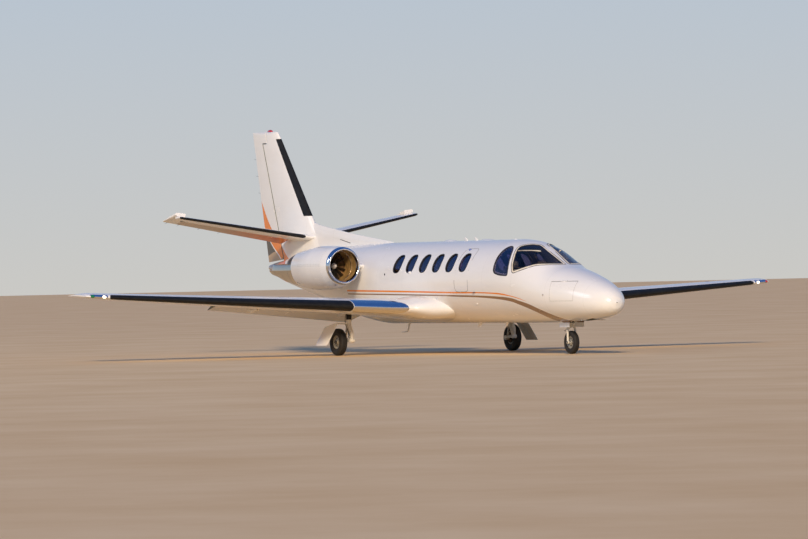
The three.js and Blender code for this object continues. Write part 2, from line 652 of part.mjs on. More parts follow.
function wingRing(out, side, extra = { lead: 0, trail: 0, thick: 1 }) {
  const at = wingAt(out);
  const lead = at.lead - extra.lead;
  const chord = at.chord + extra.lead + extra.trail;
  return aerofoil(at.thick * extra.thick, 0.018).map(([x, z]) => {
    const [aft, up] = [(x - TWIST_AT) * chord, z * chord];
    const station = lead + TWIST_AT * chord + aft * Math.cos(at.twist) + up * Math.sin(at.twist);
    const height = at.height - aft * Math.sin(at.twist) + up * Math.cos(at.twist);
    return [xOf(station), side * out, height];
  });
}

// The root fairing: distance out, how far it reaches ahead and behind, and its thickness
const ROOT_FAIRING = [
  [240, 590, 407, 0.98], [560, 576, 368, 0.98], [740, 411, 258, 1.0], [880, 193, 105, 1.02],
  [1010, 53, 10, 1.0],
];
const WING_RINGS = [1130, 4500, 7545];
const TIP_RINGS = [[7645, 20, 10, 0.72], [7700, 90, 30, 0.3]];

function wingLoft(side) {
  const fairing = ROOT_FAIRING.map(
    ([out, lead, trail, thick]) => wingRing(out, side, { lead, trail, thick }));
  const main = WING_RINGS.map((out) => wingRing(out, side));
  const tip = TIP_RINGS.map(([out, lead, trail, thick]) => wingRing(
    out, side, { lead: -lead, trail: -trail, thick }));
  return loft([...fairing, ...main, ...tip]);
}

// A point of the wing by distance out and part of its chord, on the camber line
function wingPoint(out, part, side) {
  const at = wingAt(out);
  const [aft, up] = [(part - TWIST_AT) * at.chord, 4 * 0.018 * part * (1 - part) * at.chord];
  return new THREE.Vector3(
    xOf(at.lead + TWIST_AT * at.chord + aft + up * Math.sin(at.twist)), side * out,
    at.height - aft * Math.sin(at.twist) + up);
}

function wingHalfThick(out, part) {
  const at = wingAt(out);
  return at.chord * halfThick(at.thick, part);
}

// A block that holds everything behind a line, with ends square to it
function behindLine(inner, outer, ahead, trim, tall) {
  const along = outer.clone().sub(inner).normalize();
  const [a, b] = [inner.clone().addScaledVector(along, -trim), outer.clone().addScaledVector(along, trim)];
  const aft = new THREE.Vector3(-1, 0, 0);
  aft.addScaledVector(along, -aft.dot(along)).normalize();
  const up = new THREE.Vector3().crossVectors(aft, along).normalize();
  return loft([a, b].map((p) => [[ahead, -tall], [900, -tall], [900, tall], [ahead, tall]].map(
    ([back, high]) => p.clone().addScaledVector(aft, back).addScaledVector(up, high).toArray())));
}

// A control surface hinged inside its own rounded nose. The fixed part gets a cove round the same
// axis, and the moving part a pin at each end that runs in a bore of the fixed part. A horn is more
// of the whole that moves too, with the room that it needs.
function hingedSurface(whole, inner, outer, radii, pin, tall = 260, horn = null) {
  const along = outer.clone().sub(inner).normalize();
  const round = (grow, trim, from, to) => bar(
    inner.clone().addScaledVector(along, -trim).toArray(),
    outer.clone().addScaledVector(along, trim).toArray(), from + grow, to + grow, HINGE_SIDES);
  const nose = (grow, trim) => round(grow, trim, ...radii);
  const pins = (grow) => round(grow, PIN_REACH + grow, pin, pin);
  const blocks = [behindLine(inner, outer, 0, 0, tall), nose(-1.5, -1)];
  const coves = [behindLine(inner, outer, 0, GAP, tall), nose(COVE, GAP - 1), pins(PIN_SLACK)];
  const moving = whole.intersect(joined(horn ? [...blocks, horn.block] : blocks)).add(pins(0));
  return { moving, fixed: whole.subtract(joined(horn ? [...coves, horn.room] : coves)) };
}

const joints = {};

function noteJoint(name, point, axis) {
  joints[name] = {
    at: point.toArray().map((v) => Number((v / 1000).toFixed(5))),
    axis: axis.toArray().map((v) => Number(v.toFixed(6))),
  };
}

function makeWing(side) {
  const word = side > 0 ? "left" : "right";
  const whole = wingLoft(side).subtract(fuselage(4700, 9500, -FIT));
  const [aileronIn, aileronOut] = [AILERON.from, AILERON.to].map(
    (out) => wingPoint(out, AILERON.hinge, side));
  const aileron = hingedSurface(whole, aileronIn, aileronOut,
    [AILERON.from, AILERON.to].map((out) => wingHalfThick(out, AILERON.hinge) * 0.97), AILERON.pin);
  const [flapIn, flapOut] = [FLAP.from, FLAP.to].map((out) => wingPoint(out, FLAP.hinge, side));
  const flapBlock = behindLine(flapIn, flapOut, 0, 0, 260);
  const flapHole = behindLine(flapIn, flapOut, -GAP, GAP, 260);
  place(`aileron_${word}`, aileron.moving, "paint");
  noteJoint(`aileron_${word}`, aileronIn, aileronIn.clone().sub(aileronOut).multiplyScalar(side).normalize());

  const down = flapIn.clone().sub(flapOut).multiplyScalar(side).normalize();
  const pivot = flapIn.clone().add(new THREE.Vector3(-FLAP.pivotAft, 0, -FLAP.pivotBelow));
  const brackets = FLAP.brackets.map((out) => flapBracket(pivot, down, side, out));
  const raised = joined([whole.intersect(flapBlock), ...brackets.map((bracket) => bracket.moving)]);
  const lowered = turnedAbout(raised, pivot, down, radians(FLAP.drop));
  const fixed = joined([
    aileron.fixed.subtract(flapHole), ...brackets.map((bracket) => bracket.fixed)]);
  place(`wing_${word}`, fixed.subtract(mainWell(side)), "paint");
  place(`flap_${word}`, lowered.subtract(joined(brackets.map((bracket) => bracket.bore))), "paint");
  noteJoint(`flap_${word}`, pivot, down);
}

// A flap hangs on arms under the wing: two fixed plates with a pin, and a tongue of the flap
// between them. Outlines are [ahead of the pivot, above it].
const FLAP_ARM = [[14, -18], [-16, -16], [-18, 12], [60, 40], [78, 90], [300, 90], [260, 20]];
const FLAP_TONGUE = [[14, -8], [8, -18], [-12, -18], [-120, 90], [-110, 115], [30, 115]];
const FLAP_PIN = 9;

function flapBracket(pivot, down, side, out) {
  const at = pivot.clone().addScaledVector(down, (side * out - pivot.y) / down.y);
  const eye = (reach, radius) => bar(at.clone().addScaledVector(down, -reach).toArray(),
    at.clone().addScaledVector(down, reach).toArray(), radius, radius, 12);
  const plate = (outline, y0, y1) => loft([y0, y1].map(
    (y) => outline.map(([ahead, up]) => [at.x + ahead, at.y + y, at.z + up])));
  return {
    fixed: joined([plate(FLAP_ARM, -26, -12), plate(FLAP_ARM, 12, 26), eye(26, FLAP_PIN)]),
    moving: plate(FLAP_TONGUE, -8, 8),
    bore: eye(20, FLAP_PIN + PIN_SLACK),
  };
}

// A solid turned about a line through a point
function turnedAbout(body, point, axis, angle) {
  const geometry = geometryOf(body);
  geometry.translate(-point.x, -point.y, -point.z);
  geometry.applyQuaternion(new THREE.Quaternion().setFromAxisAngle(axis, angle));
  geometry.translate(point.x, point.y, point.z);
  return solid(geometry);
}

// Where the wheel and leg fold up into the wing
function mainWell(side) {
  const { station, out, radius, roof, legFrom, legTo, legOut } = MAIN_WELL;
  const wheel = bar([xOf(station), side * out, 400], [xOf(station), side * out, roof], radius, radius, 20);
  return wheel.add(slab(legFrom, legTo, side * out, side * legOut, 400, roof));
}

// Fin, rudder and tailplane

// A symmetric aerofoil lying flat at a height: station of its lead and trail, and thickness
function finRing(z, lead, trail, thick) {
  const chord = trail - lead;
  return aerofoil(thick, 0, 8).map(([x, y]) => [xOf(lead + x * chord), y * chord, z]);
}

const finLead = (z) => FIN.lead + FIN.leadSlope * (z - FIN.leadAt);
const finTrail = (z) => FIN.trail + FIN.trailSlope * (z - FIN.trailAt);
const finHinge = (z) => FIN.hinge + FIN.hingeSlope * (z - FIN.hingeAt);

// The dorsal fin: station, height of its ridge, half width at its foot
const DORSAL = [[8510, 2215, 30], [9600, 2335, 60], [10800, 2490, 85], [11800, 2660, 105], [12300, 2950, 90]];

function dorsalFin(grow = 0) {
  return loft(DORSAL.map(([station, ridge, foot]) => {
    const [wide, shoulder] = [foot + grow, mix(1900, ridge, 0.85)];
    return [[-wide, 1900], [wide, 1900], [wide * 0.55, shoulder], [9 + grow, ridge + grow],
      [-9 - grow, ridge + grow], [-wide * 0.55, shoulder]].map(([y, z]) => [xOf(station), y, z]);
  }));
}

function makeFin() {
  const levels = [[FIN.base, 0, 1], [FIN_STRAIGHT_TO, 0, 1], [FIN.top - 30, 12, 1], [FIN.top, 60, 0.4]];
  const whole = loft(levels.map(([z, trim, thin]) => finRing(
    z, finLead(z) + trim, finTrail(z), finThick(z) * thin)));
  const { moving, fixed } = rudderCut(whole);
  const skins = fuselage(TAIL_START - 100, TAIL_END, -FIT);
  place("fin", fixed.add(dorsalFin()).subtract(skins), "paint");
  place("rudder", moving, "paint");
}

const finThick = (z) => mix(FIN.rootThick, FIN.tipThick, (z - FIN.base) / (FIN.top - FIN.base));

// Half the thickness of a symmetric aerofoil at a part of its chord
const halfThick = (thick, x) => 5 * thick * (0.2969 * Math.sqrt(x) - 0.126 * x - 0.3516 * x ** 2
  + 0.2843 * x ** 3 - 0.1015 * x ** 4);

function finHalfThick(z) {
  const chord = finTrail(z) - finLead(z);
  return chord * halfThick(finThick(z), (finHinge(z) - finLead(z)) / chord);
}

function rudderLine() {
  const [low, high] = [FIN.rudderLow, FIN.top + 40].map((z) => new THREE.Vector3(xOf(finHinge(z)), 0, z));
  return { low, high, along: high.clone().sub(low).normalize() };
}

// The rudder's lower pin runs in a bore of the tailcone
function rudderPin(grow) {
  const { low, along } = rudderLine();
  return bar(low.clone().addScaledVector(along, -FIN.pinReach - grow).toArray(),
    low.clone().addScaledVector(along, 60).toArray(), FIN.pin + grow, FIN.pin + grow, 12);
}

// The rudder reaches from below the tailplane to the fin's top, where it has a balance horn
function rudderCut(whole) {
  const { low, high, along } = rudderLine();
  const radii = [low, high].map((p) => finHalfThick(Math.min(p.z, FIN.top)) * 0.97);
  const sideways = (outline) => loft([-200, 200].map((y) => outline.map(([x, z]) => [x, y, z])));
  const behind = (grow) => sideways([[low.x, low.z - grow], [low.x - 1400, low.z - grow - 140],
    [high.x - 1400, high.z], [high.x, high.z]]);
  const nose = (grow) => bar(low.clone().addScaledVector(along, -grow).toArray(), high.toArray(),
    radii[0] + grow, radii[1] + grow, 20);
  const horn = (grow) => sideways([[xOf(finHinge(FIN.hornLow)), FIN.hornLow - grow],
    [xOf(finHinge(FIN.hornLow)) + FIN.hornAhead + grow, FIN.hornLow - grow],
    [xOf(finHinge(FIN.top)) + FIN.hornAhead + grow, FIN.top + 40], [high.x, high.z]]);
  const below = sideways([[low.x + 40, 1200], [low.x - 1400, 1200], [low.x - 1400, low.z + 9],
    [low.x + 40, low.z + 9]]);
  const cove = joined([behind(GAP), nose(RUDDER_COVE), horn(3 * GAP), below]);
  noteJoint("rudder", low, along);
  return {
    moving: whole.intersect(joined([behind(0), nose(-1.5), horn(0)])).add(rudderPin(0)),
    fixed: whole.subtract(cove),
  };
}

function tailAt(out) {
  const t = (out - TAILPLANE.root) / (TAILPLANE.tip - TAILPLANE.root);
  return {
    lead: mix(TAILPLANE.rootLead, TAILPLANE.tipLead, t),
    chord: mix(TAILPLANE.rootChord, TAILPLANE.tipChord, t),
    height: TAILPLANE.rootHeight + TAILPLANE.rise * out,
  };
}

function makeTailplane(side) {
  const word = side > 0 ? "left" : "right";
  const rings = [
    [TAILPLANE.root, 0, 1], [TAILPLANE.tip - TIP_ROUND.long, 0, 1], [TAILPLANE.tip, TIP_ROUND.trim, TIP_ROUND.thin],
  ];
  const whole = loft(rings.map(([out, trim, thin]) => {
    const at = tailAt(out);
    return aerofoil(TAILPLANE.thick * thin, 0, 6).map(([x, z]) => [
      xOf(at.lead + trim + x * (at.chord - 1.5 * trim)), side * out, at.height + z * at.chord]);
  }));
  const hingeAt = (out) => {
    const at = tailAt(out);
    return new THREE.Vector3(xOf(at.lead + TAILPLANE.hinge * at.chord), side * out, at.height);
  };
  const [inner, outer] = [hingeAt(TAILPLANE.elevatorFrom), hingeAt(TAILPLANE.elevatorTo)];
  const radii = [TAILPLANE.elevatorFrom, TAILPLANE.elevatorTo].map(
    (out) => 0.97 * tailAt(out).chord * halfThick(TAILPLANE.thick, TAILPLANE.hinge));
  const horn = elevatorHorn(outer, hingeAt(TAIL_HORN.from), hingeAt(TAILPLANE.tip + 60));
  const { moving, fixed } = hingedSurface(whole, inner, outer, radii, TAILPLANE.pin, 150, horn);
  const down = inner.clone().sub(outer).multiplyScalar(side).normalize();
  place(`stabiliser_${word}`, fixed.subtract(finBlock()), "paint");
  place(`elevator_${word}`, turnedAbout(moving, inner, down, radians(TAILPLANE.droop)), "paint");
  noteJoint(`elevator_${word}`, inner, down);
}

// An elevator reaches round the tip to a balance horn ahead of its hinge. All that faces the
// stabiliser there is round about the hinge line.
function elevatorHorn(outer, from, end) {
  const barAt = (a, b, radius) => bar(a.toArray(), b.toArray(), radius, radius, HINGE_SIDES);
  const around = (TAIL_HORN.reach + GAP) / Math.cos(Math.PI / HINGE_SIDES);
  const start = from.clone().addScaledVector(end.clone().sub(from).normalize(), -GAP);
  const behind = behindLine(outer, end, TAIL_HORN.rib + GAP, 5, 150);
  return {
    block: barAt(from, end, TAIL_HORN.reach).add(behind),
    room: behindLine(outer, end, 0, GAP, 150).subtract(barAt(outer, start, TAIL_HORN.rib))
      .add(barAt(start, end, around)),
  };
}

// The fin's flanks with the fitting gap, to cut the tailplane's roots to
function finBlock() {
  return loft([FIN.base, FIN_STRAIGHT_TO].map((z) => {
    const [lead, trail] = [finLead(z) - 2 * FIT, finTrail(z) + 2 * FIT];
    return finRing(z, lead, trail, finThick(z) + 3 * FIT / (trail - lead));
  })).add(dorsalFin(2 * FIT));
}

// Engines

function makeEngine(side) {
  const word = side > 0 ? "left" : "right";
  const { out, height, sides } = ENGINE;
  const at = [0, side * out, height];
  const along = (profile) => profile.map(([station, radius]) => [xOf(station), radius]);
  place(`cowl_${word}`, cowlShape(0).subtract(turnedX(along([[8200, 0], [8200, DUCT_RADIUS],
    ...COWL_INSIDE, [9900, 293], [9900, 0]]), sides)), "paint", at);
  place(`intake_lip_${word}`, turnedX(along(LIP), sides), "polished", at);
  place(`fan_${word}`, fan(), "dark", at);
  place(`engine_${word}`, engineCore(), "metal", at);
  makePylon(side, word);
}

// Spinner and swept blades, on an axis along X. Each blade stands on one flat of the hub.
function fan() {
  const { fanFace, fanRadius, blades } = ENGINE;
  const profile = [[8470, 0], [8500, 45], [8560, 85], [8595, 98], [8712, 98], [8712, SHAFT.radius],
    [SHAFT.end, SHAFT.radius], [SHAFT.end, 0]];
  const hub = turnedX(profile.map(([station, radius]) => [xOf(station), radius]), blades);
  const blade = (turn) => {
    const rings = [[85, 36, 25], [fanRadius, 34, 50]].map(([radius, chord, stagger]) => {
      const lean = radians(stagger);
      const [a, b] = [Math.cos(lean) * chord, Math.sin(lean) * chord];
      const thick = 4;
      return [[-a, -b, -thick], [a, b, -thick], [a, b, thick], [-a, -b, thick]].map(([x, t, k]) => {
        const angle = turn + t / radius * 0.9 + k / radius;
        return [xOf(fanFace + 40) + x, radius * Math.cos(angle), radius * Math.sin(angle)];
      });
    });
    return loft(rings);
  };
  const flat = Math.PI / blades;
  const all = Array.from({ length: blades }, (_, i) => blade(Math.PI / 2 + flat + 2 * flat * i));
  return joined([hub, ...all]);
}

// An egg-shaped ring round an engine's axis, from its reach sideways, up and down
function eggRing(station, side, up, down) {
  return Array.from({ length: ENGINE.sides }, (_, i) => {
    const angle = 2 * Math.PI * i / ENGINE.sides;
    const tall = Math.sin(angle) > 0 ? up : down;
    return [xOf(station), side * Math.cos(angle), tall * Math.sin(angle)];
  });
}

function cowlShape(grow) {
  return loft(COWL_OUTSIDE.map(([station, side, up, down]) => eggRing(station, side + grow, up + grow, down + grow)));
}

// One plain block for the engine, ending in a hollow nozzle. The reverser's lower bucket hangs from
// the beams at its sides, which reach behind the nozzle.
function engineCore() {
  const inside = [...NOZZLE].reverse().map(([station, radius]) => [station, radius - NOZZLE_WALL]);
  const profile = [...ENGINE_CORE, ...NOZZLE, ...inside, [9880, 0]];
  const body = turnedX(profile.map(([station, radius]) => [xOf(station), radius]), ENGINE.sides);
  const scoop = (thinner, early, late) => loft(BUCKET.map(([station, side, down], i) => eggRing(
    station + (i ? late : -early), side - thinner, down - thinner, down - thinner)));
  const below = slab(9800, 11200, -400, 400, -600, -BUCKET_EDGE);
  const bucket = scoop(0, 0, 0).subtract(scoop(BUCKET_WALL, 20, 20)).intersect(below);
  const beam = (sign) => loft(BEAM.map(([station, reach, tall]) => [
    [xOf(station), sign * (reach - BEAM_THICK), -tall - BEAM_DROP],
    [xOf(station), sign * (reach - 8), -tall - BEAM_DROP],
    [xOf(station), sign * reach, -tall * 0.7 - BEAM_DROP],
    [xOf(station), sign * reach, tall * 0.6 - BEAM_DROP],
    [xOf(station), sign * (reach - 8), tall - BEAM_DROP],
    [xOf(station), sign * (reach - BEAM_THICK), tall - BEAM_DROP]]));
  return joined([body, beam(1), beam(-1), bucket]);
}

function makePylon(side, word) {
  const { out, height, sides } = ENGINE;
  const rings = [[480, 8330, 10180, 0.105], [720, 8420, 10030, 0.095], [1010, 8650, 9840, 0.09]].map(
    ([y, lead, trail, thick]) => aerofoil(thick, 0, 6).map(([x, z]) => [
      xOf(lead + x * (trail - lead)), side * y, height - 15 + z * (trail - lead)]));
  const behind = turnedX([[xOf(9849), 0], [xOf(9849), 330], [xOf(10400), 330], [xOf(10400), 0]], sides);
  const room = shifted(joined([cowlShape(FIT), behind]), [0, side * out, height]);
  const body = loft(rings).subtract(fuselage(8000, 11000, -FIT)).subtract(room);
  place(`pylon_${word}`, body, "paint");
}

function shifted(body, by) {
  const geometry = geometryOf(body);
  geometry.translate(...by);
  return solid(geometry);
}

// Landing gear

function tyre({ radius, width, rim }) {
  const outer = radius / Math.cos(Math.PI / TYRE_SIDES);
  const half = width / 2;
  return turnedY([
    [-half * 0.62, rim], [-half, mix(rim, outer, 0.5)], [-half * 0.86, mix(rim, outer, 0.86)],
    [-half * 0.4, outer], [half * 0.4, outer], [half * 0.86, mix(rim, outer, 0.86)],
    [half, mix(rim, outer, 0.5)], [half * 0.62, rim],
  ], TYRE_SIDES);
}

// A wheel: rim flanges, a dished web and a bored hub
function hub({ width, rim }, bore) {
  const half = width / 2;
  return turnedY([
    [-half * 0.6, rim - FIT], [-half * 0.3, rim - 22], [-half * 0.5, bore + 22], [-half * 0.5, bore],
    [half * 0.5, bore], [half * 0.5, bore + 22], [half * 0.3, rim - 22], [half * 0.6, rim - FIT],
  ], TYRE_SIDES);
}

const NOSE_AXLE = 18;
const MAIN_AXLE = 24;
const BORE_SLACK = 0.9;

function makeNoseGear() {
  const { station, radius, width } = NOSE_WHEEL;
  const x = xOf(station);
  const centre = [x, 0, radius];
  place("nose_tyre", tyre(NOSE_WHEEL), "rubber", centre);
  place("nose_hub", hub(NOSE_WHEEL, NOSE_AXLE + BORE_SLACK), "gear", centre);
  const arm = width / 2 + 28;
  const crown = radius * 2 + 62;
  const forkArms = [1, -1].flatMap((side) => [
    bar([x, side * arm, radius], [x - 4, side * arm, crown - 20], 19, 24),
    bar([x - 4, side * arm, crown - 20], [x, 0, crown + 25], 24, 30),
  ]);
  const fork = joined([
    ...forkArms, bar([x, 0, crown - 5], [x, 0, NOSE_LEG.joint], 36),
    bar([x, -arm - 26, radius], [x, arm + 26, radius], NOSE_AXLE, NOSE_AXLE, 12),
    bar([x, 0, crown + 20], [x - 190, 0, crown - 62], 15, 13, 8),
    bar([x - 190, -45, crown - 62], [x - 190, 45, crown - 62], 15, 15, 8),
  ]);
  place("nose_fork", fork, "gear");
  const { joint, top, pivot, brace } = NOSE_LEG;
  const wallAt = NOSE_WELL.halfWidth - FIT;
  const leg = joined([
    bar([x, 0, joint + FIT], [x, 0, top], 52, 60), bar([x, -wallAt, pivot], [x, wallAt, pivot], 34),
    bar([x + 30, 0, brace.foot], [x + brace.ahead, 0, brace.head], 20),
    bar([x + brace.ahead, -wallAt, brace.head], [x + brace.ahead, wallAt, brace.head], 22),
  ]);
  place("nose_leg", leg, "gear");
  noteJoint("nose_steering", new THREE.Vector3(x, 0, joint), new THREE.Vector3(0, 0, 1));
  noteJoint("nose_wheel", new THREE.Vector3(x, 0, radius), new THREE.Vector3(0, 1, 0));
  for (const side of [1, -1]) {
    const word = side > 0 ? "left" : "right";
    const { from, to, section } = NOSE_GEAR_DOOR;
    const panel = loft([from, to].map((s) => section.map(([y, z]) => [xOf(s), side * y, z])));
    place(`nose_gear_door_${word}`, panel.subtract(fuselage(1200, COCKPIT_START, -FIT))
      .subtract(fuselage(COCKPIT_START, 2100, -FIT)), "paint");
  }
}

// The main leg: the strut, the trailing link's knee ahead of it, the web that joins them with its
// lightening holes, the damper behind, and the two stays that hold the outboard door
const MAIN_LEG = {
  strut: { station: 7060, foot: 600 }, knee: { station: 6960, top: 440, foot: 290 },
  plate: [[6925, 300], [7010, 300], [7150, 560], [7130, 620], [7010, 620], [6960, 520]],
  holes: [[7035, 470, 30], [7000, 380, 22]], damper: { foot: [7200, 300], head: [7110, 640] },
  stays: { stations: [7070, 7130], z: 620 },
  doorCorners: [[6972, 661], [7427, 564], [7422, 207], [6963, 206]], doorThick: 10,
};
// The outboard gear door slants outward as it goes down
const doorOut = (z) => 2105 + (662 - z) * 0.611;

function makeMainGear(side) {
  const word = side > 0 ? "left" : "right";
  const { station, out, radius, width } = MAIN_WHEEL;
  const [x, y] = [xOf(station), side * out];
  place(`main_tyre_${word}`, tyre(MAIN_WHEEL), "rubber", [x, y, radius]);
  place(`main_hub_${word}`, hub(MAIN_WHEEL, MAIN_AXLE + BORE_SLACK), "gear", [x, y, radius]);
  noteJoint(`main_wheel_${word}`, new THREE.Vector3(x, y, radius), new THREE.Vector3(0, 1, 0));
  const legY = side * (out - width / 2 - 62);
  const { strut, knee, plate, holes, damper, stays, doorCorners, doorThick } = MAIN_LEG;
  const [footX, footZ] = [xOf(knee.station), knee.foot];
  const web = sidePrism(plate, legY - 22, legY + 22);
  const lightening = holes.map(([s, z, r]) => bar(
    [xOf(s), legY - 60, z], [xOf(s), legY + 60, z], r, r, 8));
  const beam = MAIN_WELL.roof - 45;
  const doorStays = stays.stations.map((s) => bar(
    [xOf(s), legY, stays.z], [xOf(s), side * (doorOut(stays.z + 13) - FIT), stays.z], 13, 13, 6));
  const leg = joined([
    bar([xOf(strut.station), legY, strut.foot - 10], [xOf(strut.station), legY, beam], 48, 50),
    bar([footX, legY, knee.top], [xOf(strut.station), legY, strut.foot], 40, 46),
    bar([footX, legY - 48, footZ], [footX, legY + 48, footZ], 36),
    web.subtract(joined(lightening)),
    bar([footX, legY, footZ], [x, legY, radius], 32, 38),
    bar([xOf(damper.foot[0]), legY, damper.foot[1]], [xOf(damper.head[0]), legY, damper.head[1]], 24, 30),
    bar([x, legY - 30 * side, radius], [x, y + side * (width / 2 + 4), radius], MAIN_AXLE, MAIN_AXLE, 12),
    slab(MAIN_WELL.legFrom + FIT, MAIN_WELL.legTo - FIT, legY - 40, legY + 40,
      beam - 40, MAIN_WELL.roof - FIT),
    ...doorStays,
  ]);
  place(`main_leg_${word}`, leg, "gear");
  place(`main_gear_door_${word}`, loft([0, doorThick].map((thick) => doorCorners.map(
    ([s, z]) => [xOf(s), side * (doorOut(z) + thick), z]))), "paint");
}

makeNose();
makeCockpit();
makeCabin();
makeTailcone();
makeFloor();
makePanel();
makeSeats();
[1, -1].forEach(makeWing);
makeFin();
[1, -1].forEach(makeTailplane);
[1, -1].forEach(makeEngine);
makeNoseGear();
[1, -1].forEach(makeMainGear);
noteJoint("entry_door", new THREE.Vector3(
  xOf(ENTRY_PIVOT.station), ENTRY_PIVOT.out, ENTRY_PIVOT.height),
  new THREE.Vector3(0, 0, -1));
noteJoint("nose_bay_door_left", noseDoors[0].pivot, noseDoors[0].forward);
noteJoint("nose_bay_door_right", noseDoors[1].pivot, noseDoors[1].forward.clone().negate());
noteJoint("tail_bay_door", tailDoor.pivot, tailDoor.forward.clone().negate());
jet.userData.joints = joints;

export default jet;
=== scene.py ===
import json
import math

import bmesh
import bpy
import numpy as np
from mathutils import Matrix, Vector

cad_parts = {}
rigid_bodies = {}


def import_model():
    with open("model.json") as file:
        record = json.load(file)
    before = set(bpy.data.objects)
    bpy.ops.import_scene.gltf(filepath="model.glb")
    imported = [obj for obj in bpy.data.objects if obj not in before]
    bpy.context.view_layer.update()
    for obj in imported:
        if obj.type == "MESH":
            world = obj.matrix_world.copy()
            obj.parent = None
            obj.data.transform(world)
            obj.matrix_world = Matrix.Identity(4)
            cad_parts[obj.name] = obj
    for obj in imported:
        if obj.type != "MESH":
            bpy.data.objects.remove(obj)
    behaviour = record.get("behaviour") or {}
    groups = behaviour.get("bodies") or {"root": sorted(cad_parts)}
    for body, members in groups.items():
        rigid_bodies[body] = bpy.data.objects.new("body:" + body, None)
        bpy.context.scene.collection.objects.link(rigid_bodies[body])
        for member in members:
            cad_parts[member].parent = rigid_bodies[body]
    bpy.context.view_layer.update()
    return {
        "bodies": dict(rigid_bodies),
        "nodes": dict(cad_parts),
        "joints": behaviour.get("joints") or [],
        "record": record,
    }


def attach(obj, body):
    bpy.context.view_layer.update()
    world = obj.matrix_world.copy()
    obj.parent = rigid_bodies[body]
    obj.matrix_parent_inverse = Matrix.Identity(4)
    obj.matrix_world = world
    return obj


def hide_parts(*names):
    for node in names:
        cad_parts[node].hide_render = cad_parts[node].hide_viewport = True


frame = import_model()
scene = bpy.context.scene
scene.view_settings.view_transform = "Standard"

# The camera stands a hundred metres off, ahead of the starboard wing and low, behind a very long
# lens. Its place and turn come from fitting the jet's length, span and height to the photograph.
PIXEL_FOCAL = 5692.54
PHOTO_WIDTH = 808
SENSOR_WIDTH = 36
CAMERA_AT = Vector((97.668, -55.121, 1.634))
YAW, PITCH, ROLL = (math.radians(angle) for angle in (-29.216, 0.0122, -1.1795))

ahead = Vector((-math.cos(PITCH) * math.cos(YAW), -math.cos(PITCH) * math.sin(YAW), math.sin(PITCH)))
level = ahead.cross(Vector((0, 0, 1))).normalized()
upright = level.cross(ahead)
to_right = level * math.cos(ROLL) + upright * math.sin(ROLL)
to_top = -level * math.sin(ROLL) + upright * math.cos(ROLL)
lens = bpy.data.cameras.new("long_lens")
lens.sensor_width = SENSOR_WIDTH
lens.lens = PIXEL_FOCAL / PHOTO_WIDTH * SENSOR_WIDTH
lens.clip_start, lens.clip_end = 1.0, 900.0
camera = bpy.data.objects.new("camera", lens)
camera.matrix_world = Matrix.Translation(CAMERA_AT) @ Matrix((to_right, to_top, -ahead)).transposed().to_4x4()
scene.collection.objects.link(camera)
scene.camera = camera


# Studio light and floor: a broad warm key from ahead of the starboard side, a cool sky above
# that the polished metal mirrors, and a plain floor of pale cast concrete.
def linear(code, alpha=1.0):
    """A colour written as sRGB hex, in the linear light that shaders use."""
    parts = [int(code[i:i + 2], 16) / 255 for i in (0, 2, 4)]
    return tuple(v / 12.92 if v <= 0.04045 else ((v + 0.055) / 1.055) ** 2.4 for v in parts) + (alpha,)


def add(tree, kind, links=None, **settings):
    """A node with its settings. A link is a socket's name or number and a value or another socket."""
    node = tree.nodes.new(kind if "Node" in kind else "ShaderNode" + kind)
    for name, value in settings.items():
        setattr(node, name, value)
    for socket, source in (links or {}).items():
        if isinstance(source, bpy.types.NodeSocket):
            tree.links.new(source, node.inputs[socket])
        else:
            node.inputs[socket].default_value = source
    return node


def stops(node, *pairs):
    """Sets a colour ramp's places and colours."""
    ramp = node.color_ramp
    while len(ramp.elements) < len(pairs):
        ramp.elements.new(0.5)
    for element, (place, colour) in zip(ramp.elements, pairs):
        element.position, element.color = place, colour
    return node.outputs["Color"]


def finish_of(name):
    """A new material with an empty node tree but for its output, and that tree."""
    made = bpy.data.materials.new(name)
    made.use_nodes = True
    made.node_tree.nodes.clear()
    add(made.node_tree, "OutputMaterial", name="end")
    return made, made.node_tree


def show(tree, surface):
    """Gives a surface to the tree's output."""
    tree.links.new(surface, tree.nodes["end"].inputs["Surface"])


def patterned(name, sizes, tones, rough, relief=None, look=None, kind="TexNoise", stretch=None, fine=None, **how):
    """A finish whose tones follow one pattern on the piece. Its roughness is one value, or two that the
    pattern runs between. Its relief, a strength and a depth in metres, follows it or a finer one."""
    made, tree = finish_of(name)
    where = add(tree, "TexCoord").outputs["Object"]
    laid = add(tree, "Mapping", {"Vector": where, "Scale": stretch}).outputs[0] if stretch else where
    wear = add(tree, kind, {"Vector": laid, **sizes}, **how).outputs[0]
    tone = stops(add(tree, "ValToRGB", {0: wear}), *((place, linear(code)) for place, code in tones))
    surface = {"Base Color": tone, "Roughness": rough, **(look or {})}
    if isinstance(rough, tuple):
        span = dict(zip(("To Min", "To Max", "From Min", "From Max"), rough))
        surface["Roughness"] = add(tree, "MapRange", {"Value": wear, **span}).outputs[0]
    if relief:
        height = add(tree, fine[0], {"Vector": where, **fine[1]}).outputs[0] if fine else wear
        raised = {"Height": height, "Strength": relief[0], "Distance": relief[1]}
        surface["Normal"] = add(tree, "Bump", raised).outputs[0]
    show(tree, add(tree, "BsdfPrincipled", surface).outputs[0])
    return made


